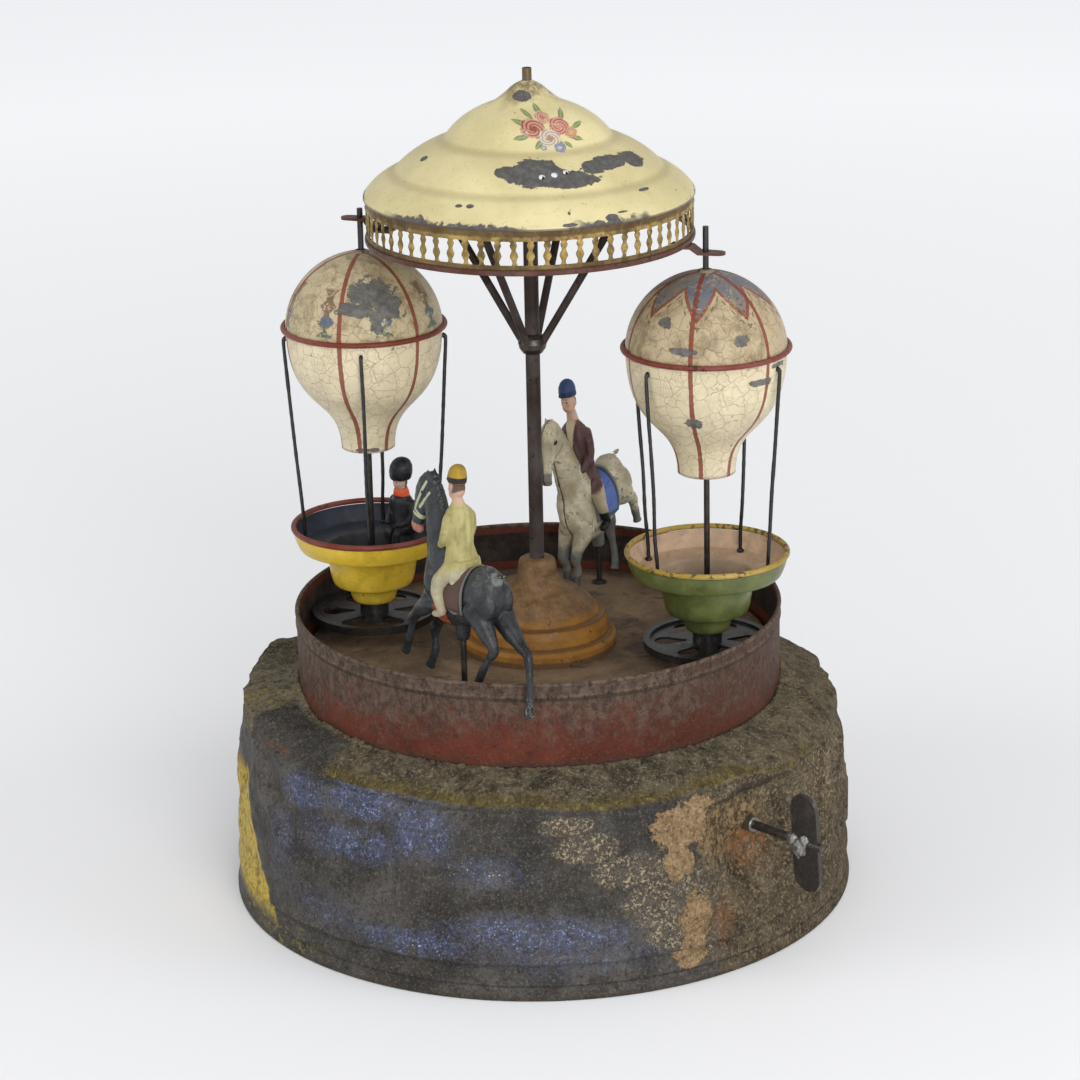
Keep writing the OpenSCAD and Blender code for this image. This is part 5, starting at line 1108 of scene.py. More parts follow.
def apply_shapers(obj, all_layers=True):
    """Keeps what an object's modifiers make as its plain mesh."""
    graph = bpy.context.evaluated_depsgraph_get()
    how = {"preserve_all_data_layers": True, "depsgraph": graph} if all_layers else {}
    mesh = bpy.data.meshes.new_from_object(obj.evaluated_get(graph), **how)
    obj.modifiers.clear()
    obj.data = mesh
    return mesh


def skin_over(work, rings):
    """Faces from ring to ring and over both ends."""
    for low, high in zip(rings, rings[1:]):
        for k in range(len(low)):
            n = (k + 1) % len(low)
            work.faces.new((low[k], low[n], high[n], high[k]))
    work.faces.new(rings[0][::-1])
    work.faces.new(rings[-1])


def pipe_rings(points, radii, sides):
    """Rings of places round a path, each square to it."""
    rings = []
    across = None
    for i, p in enumerate(points):
        run = (points[min(i + 1, len(points) - 1)] - points[max(i - 1, 0)]).normalized()
        across = across or run.orthogonal().normalized()
        across = (across - run * across.dot(run)).normalized()
        other = run.cross(across)
        rings.append([p + radii[i] * (across * math.cos(t) + other * math.sin(t))
                      for t in (2 * math.pi * k / sides for k in range(sides))])
    return rings


def sockets_of(tree, *wanted):
    """Gives a node tree a geometry in and out, and inputs of a name, a kind and a first value."""
    face = tree.interface
    for name, kind, *first in (("Geometry", "Geometry"), *wanted):
        socket = face.new_socket(name, in_out="INPUT", socket_type="NodeSocket" + kind)
        if first:
            socket.default_value = first[0]
    face.new_socket("Geometry", in_out="OUTPUT", socket_type="NodeSocketGeometry")


def to_scene(obj):
    bpy.context.scene.collection.objects.link(obj)
    return obj


def arc(centre, r, start, end, n):
    """Points of a round arc of n steps."""
    angles = [math.radians(start + (end - start) * i / n) for i in range(n + 1)]
    return [(centre[0] + r * math.cos(a), centre[1] + r * math.sin(a)) for a in angles]


def bow(p, q, bulge, n):
    """Points after p of a curve to q that bellies towards the corner above p."""
    middle = ((p[0] + q[0]) / 2, (p[1] + q[1]) / 2)
    pull = (middle[0] + bulge * (p[0] - middle[0]), middle[1] + bulge * (q[1] - middle[1]))
    steps = [i / n for i in range(1, n + 1)]
    return [tuple((1 - t) ** 2 * p[k] + 2 * t * (1 - t) * pull[k] + t * t * q[k] for k in (0, 1))
            for t in steps]


def bent(a, b, c, d, n):
    """Points of a curve from a to d that leaves towards b and arrives from c."""
    return [tuple((1 - t) ** 3 * a[k] + 3 * (1 - t) ** 2 * t * b[k] + 3 * (1 - t) * t * t * c[k]
                  + t ** 3 * d[k]
                  for k in (0, 1)) for t in (i / n for i in range(n + 1))]


def inner_line(line, t):
    """The line moved t to the left of its run."""
    def left(p, q):
        d = (Vector(q) - Vector(p)).normalized()
        return Vector((-d.y, d.x))
    out = []
    last = len(line) - 1
    for i, p in enumerate(line):
        a = left(line[i - 1], p) if i else left(line[0], line[1])
        b = left(p, line[i + 1]) if i < last else a
        moved = Vector(p) + t * (a + b) / (1 + a.dot(b))
        out.append((moved.x, moved.y))
    return out


def dense(line, step):
    """The line with points put in, so that none are further apart than a step."""
    out = [line[0]]
    for p, q in zip(line, line[1:]):
        n = max(1, math.ceil(math.dist(p, q) / step))
        out += [(p[0] + (q[0] - p[0]) * i / n, p[1] + (q[1] - p[1]) * i / n) for i in range(1, n + 1)]
    return out


def turned_tree():
    """Node tree that turns an outline of radii and heights about the upright axis.

    The outline is a mesh whose points carry the radius in X and the height in Z; those with Y
    above zero belong to the inside. Noise puts the tin a little out of true.
    """
    tree = bpy.data.node_groups.new("Turned tin", "GeometryNodeTree")
    sockets_of(tree, ("Sides", "Int", 128), ("Wobble", "Float", 0.0003), ("Dent Size", "Float", 0.04),
               ("Seed", "Float", 0.0), ("Place", "Vector"), ("Paint", "Material"))
    new, link = tree.nodes.new, tree.links.new
    entry, leave = new("NodeGroupInput"), new("NodeGroupOutput")

    def sums(kind, a, b=None):
        node = new("ShaderNodeMath")
        node.operation = kind
        for socket, value in zip(node.inputs, (a, b)):
            if value is None:
                continue
            if isinstance(value, (int, float)):
                socket.default_value = value
            else:
                link(value, socket)
        return node.outputs[0]

    size = new("GeometryNodeAttributeDomainSize")
    link(entry.outputs["Geometry"], size.inputs["Geometry"])
    rows = size.outputs["Point Count"]
    grid = new("GeometryNodeMeshGrid")
    link(sums("ADD", entry.outputs["Sides"], 1), grid.inputs["Vertices X"])
    link(rows, grid.inputs["Vertices Y"])
    split = new("ShaderNodeSeparateXYZ")
    link(new("GeometryNodeInputPosition").outputs[0], split.inputs[0])
    angle = sums("MULTIPLY", sums("ADD", split.outputs["X"], 0.5), 2 * math.pi)
    row = sums("ROUND", sums("MULTIPLY", sums("ADD", split.outputs["Y"], 0.5),
                             sums("SUBTRACT", rows, 1)))
    sample = new("GeometryNodeSampleIndex")
    sample.data_type = "FLOAT_VECTOR"
    link(entry.outputs["Geometry"], sample.inputs["Geometry"])
    link(new("GeometryNodeInputPosition").outputs[0], sample.inputs["Value"])
    link(row, sample.inputs["Index"])
    outline = new("ShaderNodeSeparateXYZ")
    link(sample.outputs[0], outline.inputs[0])
    radius, height = outline.outputs["X"], outline.outputs["Z"]
    cos, sin = sums("COSINE", angle), sums("SINE", angle)
    where = new("ShaderNodeCombineXYZ")
    for i, v in enumerate((sums("MULTIPLY", cos, radius), sums("MULTIPLY", sin, radius), height)):
        link(v, where.inputs[i])
    wave = new("ShaderNodeTexNoise")
    wave.noise_dimensions = "4D"
    link(where.outputs[0], wave.inputs["Vector"])
    link(sums("DIVIDE", 1.0, entry.outputs["Dent Size"]), wave.inputs["Scale"])
    link(entry.outputs["Seed"], wave.inputs["W"])
    wave.inputs["Detail"].default_value = 1.5
    swing = sums("MULTIPLY", sums("MULTIPLY", sums("SUBTRACT", wave.outputs[0], 0.5), 2.0),
                 entry.outputs["Wobble"])
    hold = sums("MINIMUM", sums("MULTIPLY", radius, 60.0), 1.0)
    wide = sums("ADD", radius, sums("MULTIPLY", swing, hold))
    put = new("ShaderNodeCombineXYZ")
    for i, v in enumerate((sums("MULTIPLY", cos, wide), sums("MULTIPLY", sin, wide), height)):
        link(v, put.inputs[i])
    keep = new("GeometryNodeStoreNamedAttribute")
    keep.data_type = "FLOAT"
    keep.domain = "POINT"
    keep.inputs["Name"].default_value = "inside"
    link(grid.outputs["Mesh"], keep.inputs["Geometry"])
    link(sums("MULTIPLY", outline.outputs["Y"], 1000.0), keep.inputs["Value"])
    shape = new("GeometryNodeSetPosition")
    link(keep.outputs["Geometry"], shape.inputs["Geometry"])
    link(put.outputs[0], shape.inputs["Position"])
    close = new("GeometryNodeMergeByDistance")
    close.inputs["Distance"].default_value = 0.000004
    link(shape.outputs["Geometry"], close.inputs["Geometry"])
    move = new("GeometryNodeTransform")
    link(close.outputs["Geometry"], move.inputs["Geometry"])
    link(entry.outputs["Place"], move.inputs["Translation"])
    real = new("GeometryNodeRealizeInstances")
    link(move.outputs["Geometry"], real.inputs["Geometry"])
    coat = new("GeometryNodeSetMaterial")
    link(real.outputs["Geometry"], coat.inputs["Geometry"])
    link(entry.outputs["Paint"], coat.inputs["Material"])
    link(coat.outputs["Geometry"], leave.inputs["Geometry"])
    return tree


def with_nodes(obj, tree, **values):
    """Runs a node tree on an object and keeps the result as its plain mesh."""
    modifier = obj.modifiers.new("shape", "NODES")
    modifier.node_group = tree
    sockets = {s.name: s.identifier for s in tree.interface.items_tree
               if s.item_type == "SOCKET" and s.in_out == "INPUT"}
    for name, value in values.items():
        modifier[sockets[name.replace("_", " ")]] = value
    apply_shapers(obj)
    return obj


def outward(mesh, angle=35):
    """Turns a closed mesh's faces outwards and shades it smooth between its sharp edges."""
    work = bmesh.new()
    work.from_mesh(mesh)
    bmesh.ops.recalc_face_normals(work, faces=work.faces)
    if work.calc_volume(signed=True) < 0:
        bmesh.ops.reverse_faces(work, faces=work.faces)
    work.to_mesh(mesh)
    work.free()
    mesh.shade_smooth()
    mesh.set_sharp_from_angle(angle=math.radians(angle))
    return mesh


def turned(name, body, line, inside, paint_, stands_for=(), place=(0, 0, 0), sides=128,
           wobble=0.0003, dent=0.04, seed=0.0, angle=35):
    """A turned piece from a closed outline in millimetres; inside holds 1 for each inner point."""
    mesh = bpy.data.meshes.new(name)
    verts = [(r * MM, 0.001 if i else 0.0, z * MM) for (r, z), i in zip(line, inside)]
    mesh.from_pydata(verts, [(i, i + 1) for i in range(len(verts) - 1)], [])
    obj = to_scene(bpy.data.objects.new(name, mesh))
    with_nodes(obj, bpy.data.node_groups.get("Turned tin") or turned_tree(), Sides=sides, Wobble=wobble,
               Dent_Size=dent, Seed=seed, Place=tuple(c * MM for c in place), Paint=paint_)
    outward(obj.data, angle)
    return settle(obj, body, stands_for)


def settle(obj, body, stands_for=()):
    """Puts a finished piece on its body, in place of CAD nodes where it stands for some."""
    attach(obj, body)
    if stands_for:
        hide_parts(*stands_for)
    return obj


def walled_outline(outside, t, step):
    """Closed outline of a wall t thick inside a line, with its inner points marked."""
    out = dense(outside, step)
    back = dense(inner_line(outside, t)[::-1], step * 1.5)
    line = out + back + [out[0]]
    return line, [0] * len(out) + [1] * len(back) + [0]


# Rock


def low_front(a):
    return 1 - smooth((turn_diff(a, -86) - 66) / 20)


def rock_relief(a, s):
    r = math.radians
    return s * (math.sin(r(5 * a + 150 * s)) + 0.8 * math.sin(r(11 * a - 240 * s + 60))
                + 0.5 * math.sin(r(17 * a + 90 * s))) * 1.6 / 2.3


def rock_dent(a, z):
    span = math.hypot(math.radians(turn_diff(a, CRANK_ANGLE)) * CRANK_DENT_R, z - CRANK_Z)
    return 1 - smooth((span - 10) / 22)


def rock_side(a, s):
    """Radius and height of the rock's side in millimetres, as the CAD's skin has them."""
    front = low_front(a)
    top = 80 - 5 * front + 0.96 * math.sin(math.radians(7 * a + 20)) + 8.5 * smooth((34
            - turn_diff(a, 178)) / 16)
    z = 15 + (top - 15) * s
    plain = (FOOT_R - 2.1) + (122 - FOOT_R + 2.1) * s * s + rock_relief(a, s) + 1.5 * smooth(1 - s * 12)
    return plain + (CRANK_DENT_R - plain) * rock_dent(a, z), z


def fold(a, z, at, low, high, lean, width, depth):
    """A crease in the tin that runs up the side, leaning by degrees for each millimetre."""
    if not low < z < high:
        return 0.0
    gap = ((a - at - (z - low) * lean + 540) % 360 - 180) / width
    if abs(gap) > 3:
        return 0.0
    hold = smooth((z - low) / 8) * smooth((high - z) / 8)
    return depth * hold * (math.exp(-gap * gap) - 0.5 * math.exp(-(gap - 1.3) ** 2))


FOLDS = (
    # place, from, to, lean, width, depth
    (-140.5, 36, 82, -0.46, 2.6, 2.6), (-141, 22, 66, 0.06, 2.2, 1.5), (-128, 20, 44, 0.30, 3.2, 1.1),
    (-104, 24, 58, 0.14, 2.6, 1.0), (-93, 34, 77, 0.05, 3.2, 1.7), (-114, 50, 78, -0.16, 2.6, 0.9),
    (-24, 20, 78, 0.06, 3.5, 2.2), (-33, 24, 70, -0.12, 2.4, 1.3), (-3, 18, 74, -0.08, 4.0, 2.6),
    (20, 20, 78, 0.08, 5, 1.9), (75, 20, 78, -0.08, 5, 1.9), (130, 20, 78, 0.1, 5, 1.7),
    (-174, 22, 80, 0.05, 4, 1.3),
)


def rock_push(kind, a, t, z, spot, crumple):
    """How far the tin is pushed outwards and upwards, in millimetres."""
    big = noise.noise(spot / 17 + Vector((3, 1, 7))) * 1.1 + noise.noise(spot / 8) * 0.5
    ridge = (1 - abs(noise.noise(spot / 13 + Vector((11, 5, 2))))) ** 5 - 0.35
    fine = noise.noise(spot / 2.6 + Vector((4, 9, 1))) * 0.16 + noise.noise(spot / 1.3) * 0.07
    push = crumple * (big + ridge * 0.6) + fine
    sandy = min(1.0, smooth((62 - turn_diff(a, -10)) / 14) + smooth((92 - turn_diff(a, 90)) / 14))
    push += sandy * (noise.noise(spot / 5 + Vector((2, 2, 2))) * 0.8
                     + noise.noise(spot / 12 + Vector((8, 3, 5))) * 1.5)
    lift = 0.0
    if kind == "side":
        push += sum(fold(a, z, *f) for f in FOLDS)
        if -176 < a < -150 and z < 74:
            push -= 1.5 * smooth(((a + 160.5) * -0.6 + 50 - z * 0.6) / 1.6) * smooth((74 - z) / 10)
        brow = smooth((15 - turn_diff(a, -47)) / 5)
        push += brow * (2.6 * smooth((z - 69.5) / 1.8) - 1.0 * smooth((z - 60) / 8)
                        * smooth((70 - z) / 2))
        ledge = smooth((16 - turn_diff(a, -104)) / 7)
        push += ledge * 1.5 * math.exp(-((z - 43) / 5) ** 2)
        return push, lift
    lift = push * 0.55 * smooth((1 - t) * 3) + 0.25 * noise.noise(spot / 1.7) * smooth((1 - t) * 6)
    lumps = smooth((11 - turn_diff(a, -143)) / 5) * smooth((t - 0.25) / 0.3)
    lift += lumps * (1.1 + 1.2 * noise.noise(spot / 3.4))
    lift += smooth((t - 0.82) / 0.18) * (0.8 + 0.8 * noise.noise(spot / 2.2))
    brow = smooth((15 - turn_diff(a, -47)) / 5) * smooth((0.6 - t) / 0.6)
    return push + brow * 8.0 * (1 - t), lift + brow * 0.6


def rock_skin(c):
    """The crumpled tin from the hem to the drum, one closed shell."""
    rows = [("side", j / 65) for j in range(66)] + [("top", j / 21) for j in range(1, 22)]
    work = bmesh.new()
    sheet = []
    crumple = c.crumple / MM
    for kind, t in rows:
        ring = []
        for i in range(ROCK_SIDES):
            a = CRANK_ANGLE + (i + 0.5) * 360 / ROCK_SIDES
            ar = math.radians(a)
            hold = 1.0
            if kind == "side":
                r, z = rock_side(a, t)
                hold = smooth(t * 9 - 0.3)
            else:
                start_r, start_z = rock_side(a, 1)
                front = low_front(a)
                climb = 1 - (1 - t) ** 2
                r = start_r + (ROCK_TOP_R - start_r) * t
                z = start_z + (91 - 5 * front - start_z) * (climb + (t - climb) * 0.8 * (1 - front))
            spot = Vector((math.cos(ar) * r, math.sin(ar) * r, z))
            push, lift = rock_push(kind, a, t, z, spot, crumple)
            out = min(r + push * hold * (1.0 if kind == "side" else 0.25), FOOT_R - 0.7)
            if kind == "top" and t > 0.9:
                out = max(out, ROCK_TOP_R)
            ring.append(work.verts.new((math.cos(ar) * out * MM, math.sin(ar) * out * MM,
                                        (z + lift) * MM)))
        sheet.append(ring)
    under = []
    for r, z in ((ROCK_TOP_R, 84.0), (112.0, 74.0), (119.5, 60.0), (121.0, 16.2), (FOOT_R - 3.4, 14.6)):
        ring = []
        for i in range(ROCK_SIDES):
            a = CRANK_ANGLE + (i + 0.5) * 360 / ROCK_SIDES
            ar = math.radians(a)
            room = r - (8.5 * rock_dent(a, z) if r > 110 else 0)
            ring.append(work.verts.new((math.cos(ar) * room * MM, math.sin(ar) * room * MM, z * MM)))
        under.append(ring)
    loop = sheet + under
    shaft = math.radians(CRANK_ANGLE)
    for j, ring in enumerate(loop):
        above = loop[(j + 1) % len(loop)]
        for i in range(ROCK_SIDES):
            k = (i + 1) % ROCK_SIDES
            work.faces.new((ring[i], ring[k], above[k], above[i]))
    hole = []
    for face in work.faces:
        p = face.calc_center_median() / MM
        side = -p.x * math.sin(shaft) + p.y * math.cos(shaft)
        ahead = p.x * math.cos(shaft) + p.y * math.sin(shaft)
        ragged = 3.0 + 0.5 * noise.noise(p / 1.4)
        if ahead > 100 and math.hypot(side, p.z - CRANK_Z) < ragged:
            hole.append(face)
    bmesh.ops.delete(work, geom=hole, context="FACES")
    work.normal_update()
    mesh = as_mesh(work, "rock")
    mesh.shade_smooth()
    return to_scene(bpy.data.objects.new("rock_skin", mesh))


# Tubes and cast figures


def tube(work, points, radii, sides=10):
    """Adds a closed round tube through points, in millimetres, to a mesh in the making."""
    points = [Vector(p) for p in points]
    skin_over(work, [[work.verts.new(p * MM) for p in ring]
                     for ring in pipe_rings(points, radii, sides)])


def flowing(points, step):
    """Points on a smooth curve through the given ones, about a step apart."""
    points = [Vector(p) for p in points]
    ends = [points[0] * 2 - points[1], *points, points[-1] * 2 - points[-2]]
    out = []
    for a, b, c, d in zip(ends, ends[1:], ends[2:], ends[3:]):
        n = max(2, int((c - b).length / step))
        for i in range(n):
            t = i / n
            out.append(0.5 * ((2 * b) + (c - a) * t + (2 * a - 5 * b + 4 * c - d) * t * t
                              + (3 * b - a - 3 * c + d) * t ** 3))
    return [*out, points[-1]]


class Casting:
    """Lumps in a figure's own millimetres that are melted into one skin."""

    def __init__(self):
        self.work = bmesh.new()

    def ring_skin(self, rings):
        """A closed skin over rings of points, pointed at the first and last middles."""
        skin_over(self.work, [[self.work.verts.new(p) for p in ring] for ring in rings])

    def loft(self, stations, sides=20):
        """Ovals in planes along the figure: x, z, slope, half width, half depth, and a boxiness."""
        rings = []
        for st in stations:
            x, z, slope, half_w, half_d = st[:5]
            power = st[5] if len(st) > 5 else 1.0
            s = math.radians(slope)
            ring = []
            for k in range(sides):
                a = 2 * math.pi * k / sides
                u, v = math.cos(a), math.sin(a)
                u = math.copysign(abs(u) ** power, u)
                v = math.copysign(abs(v) ** power, v)
                ring.append((x - half_d * v * math.sin(s), half_w * u, z + half_d * v * math.cos(s)))
            rings.append(ring)
        self.ring_skin(rings)

    def level_loft(self, stations, sides=24):
        """Level ovals: x, y, z, half length, half width."""
        rings = []
        for x, y, z, half_x, half_y in stations:
            rings.append([(x + half_x * math.cos(a), y + half_y * math.sin(a), z)
                          for a in (2 * math.pi * k / sides for k in range(sides))])
        self.ring_skin(rings)

    def ball(self, place, size, turn=(0, 0, 0)):
        """An egg with its half sizes along the figure's axes, turned by degrees."""
        made = bmesh.ops.create_icosphere(self.work, subdivisions=3, radius=1.0)
        size = (size, size, size) if isinstance(size, (int, float)) else size
        spin = Matrix.Rotation(math.radians(turn[2]), 4, "Z") @ Matrix.Rotation(math.radians(turn[1]),
                4, "Y") \
            @ Matrix.Rotation(math.radians(turn[0]), 4, "X")
        bmesh.ops.transform(self.work, matrix=Matrix.Translation(place) @ spin @ Matrix.Diagonal((*size,
                1)),
                            verts=made["verts"])

    def limb(self, joints, sides=14):
        """A round limb through places with a radius each, and a ball at each of them."""
        path = flowing([j[:3] for j in joints], 0.9)
        marks = [Vector(j[:3]) for j in joints]
        radii = []
        for p in path:
            best = None
            for (a, ja), (b, jb) in zip(zip(marks, joints), zip(marks[1:], joints[1:])):
                run = b - a
                t = max(0.0, min(1.0, (p - a).dot(run) / run.length_squared))
                gap = (a + run * t - p).length
                size = ja[3] + (jb[3] - ja[3]) * smooth(t)
                if best is None or gap < best[0]:
                    best = (gap, size)
            radii.append(best[1])
        self.ring_skin(pipe_rings(path, radii, sides))
        for j in joints:
            self.ball(j[:3], j[3])

    def plate(self, outline, y, t):
        """A flat piece with an outline in X and Z, t thick about y."""
        low = [self.work.verts.new((x, y - t / 2, z)) for x, z in outline]
        high = [self.work.verts.new((x, y + t / 2, z)) for x, z in outline]
        self.work.faces.new(low)
        self.work.faces.new(high[::-1])
        for i in range(len(outline)):
            k = (i + 1) % len(outline)
            self.work.faces.new((low[i], high[i], high[k], low[k]))

    def cast(self, name, place, paint_, voxel, passes=4, factor=0.5, carve=None):
        """Melts the lumps, smooths them, records the own place and stands the figure on its pin."""
        bmesh.ops.recalc_face_normals(self.work, faces=self.work.faces)
        obj = to_scene(bpy.data.objects.new(name, as_mesh(self.work, name)))
        melt = obj.modifiers.new("melt", "REMESH")
        melt.mode = "VOXEL"
        melt.voxel_size = voxel
        melt.adaptivity = 0.0
        file = obj.modifiers.new("file", "SMOOTH")
        file.iterations = passes
        file.factor = factor
        done = apply_shapers(obj, False)
        own = done.attributes.new("own_place", "FLOAT_VECTOR", "POINT")
        points = [v.co.copy() for v in done.vertices]
        own.data.foreach_set("vector", [c for p in points for c in p])
        if carve:
            normals = [v.normal.copy() for v in done.vertices]
            for v, p, n in zip(done.vertices, points, normals):
                v.co = p + n * carve(p)
        done.transform(Matrix.Diagonal((MM, MM, MM, 1)) @ place)
        done.shade_smooth()
        done.materials.clear()
        done.materials.append(paint_)
        return obj


def horse_place(side):
    """Matrix, in millimetres, that stands a figure on its horse's pin."""
    angle, lift, lean, heading = {"white": (70, 17.7, 8, -126.4), "black": (-112, 29.7, -2, 131)}[side]
    a = math.radians(angle)
    foot = Vector((79 * math.cos(a), 79 * math.sin(a), TABLE_Z + lift))
    return (Matrix.Translation(foot) @ Matrix.Rotation(math.radians(-lean), 4, "Y")
            @ Matrix.Rotation(math.radians(heading), 4, "Z"))


BLACK_LEGS = [
    [(15, 4.5, 12, 4.2), (25, 4.6, 3, 2.2), (26.6, 4.5, -2.5, 1.5), (27.6, 4.4, -6.2, 1.75),
     (29.7, 4.2, -11, 1.7)],
    [(14, -4.5, 10, 4.2), (22, -4.4, -3, 2.2), (22.2, -4.3, -8.5, 1.4), (22, -4.2, -12.5, 1.7),
     (24, -4.2, -17.5, 1.7)],
    [(-14, 5, 16, 5.6), (-19.5, 5, 9, 3.6), (-24, 5, 3, 2.2), (-20.8, 5, -2.5, 1.45),
     (-17.8, 5, -7.4, 1.7),
     (-15.5, 5, -12.4, 1.7)],
    [(-15, -5, 15, 5.6), (-24, -3.6, 9, 4.1), (-32, -1.8, 5.4, 2.6), (-37.2, -0.8, 3.1, 2.0),
     (-39.5, 0, -3.5, 1.45),
     (-40.1, 0.3, -9, 1.25), (-40.3, 0.4, -13.4, 1.5), (-40.3, 0.5, -18.4, 1.4)],
]
WHITE_LEGS = [
    [(13, -4.5, 12, 4.4), (20, -4.6, 2, 2.5), (19.2, -4.5, -2.5, 1.7), (19, -4.4, -5, 1.9),
     (20, -4.2, -7.6, 1.9)],
    [(14, 4.5, 12, 4.4), (23, 4.6, 3, 2.5), (23.2, 4.5, -1.2, 1.7), (23.5, 4.4, -4, 1.9),
     (25, 4.2, -7, 1.9)],
    [(-14, -5, 14, 5.6), (-15.4, -4.4, 6, 3.4), (-14.8, -4, 0, 2.1), (-14.2, -3.2, -5, 1.5),
     (-13.4, -2.5, -9, 1.6),
     (-11.9, -2, -13.6, 1.8)],
    [(-15, 5, 19, 5.6), (-19.5, 6.5, 15.5, 2.7), (-20, 7.2, 10.5, 1.8), (-20.1, 7.3, 8.4, 1.9),
     (-20.3, 7.4, 6.2, 1.8)],
]
HOOVES = {
    "black": [((29.9, 4.2, -12), -40), ((24.5, -4.2, -18.6), -30), ((-14.9, 5, -13.8), -25),
              ((-40.3, 0.5, -19.6), 8)],
    "white": [((20.2, -4.2, -8.4), -8), ((25.3, 4.2, -7.9), -12), ((-11.5, -2, -14.7), -25),
              ((-20.3, 7.4, 5.2), 6)],
}


def croup_rise(side, x):
    """How much higher the hind part of a trunk stands at a place along it."""
    return 3.5 * min(1.0, max(0.0, (-4 - x) / 12.5)) if side == "white" else 0.0


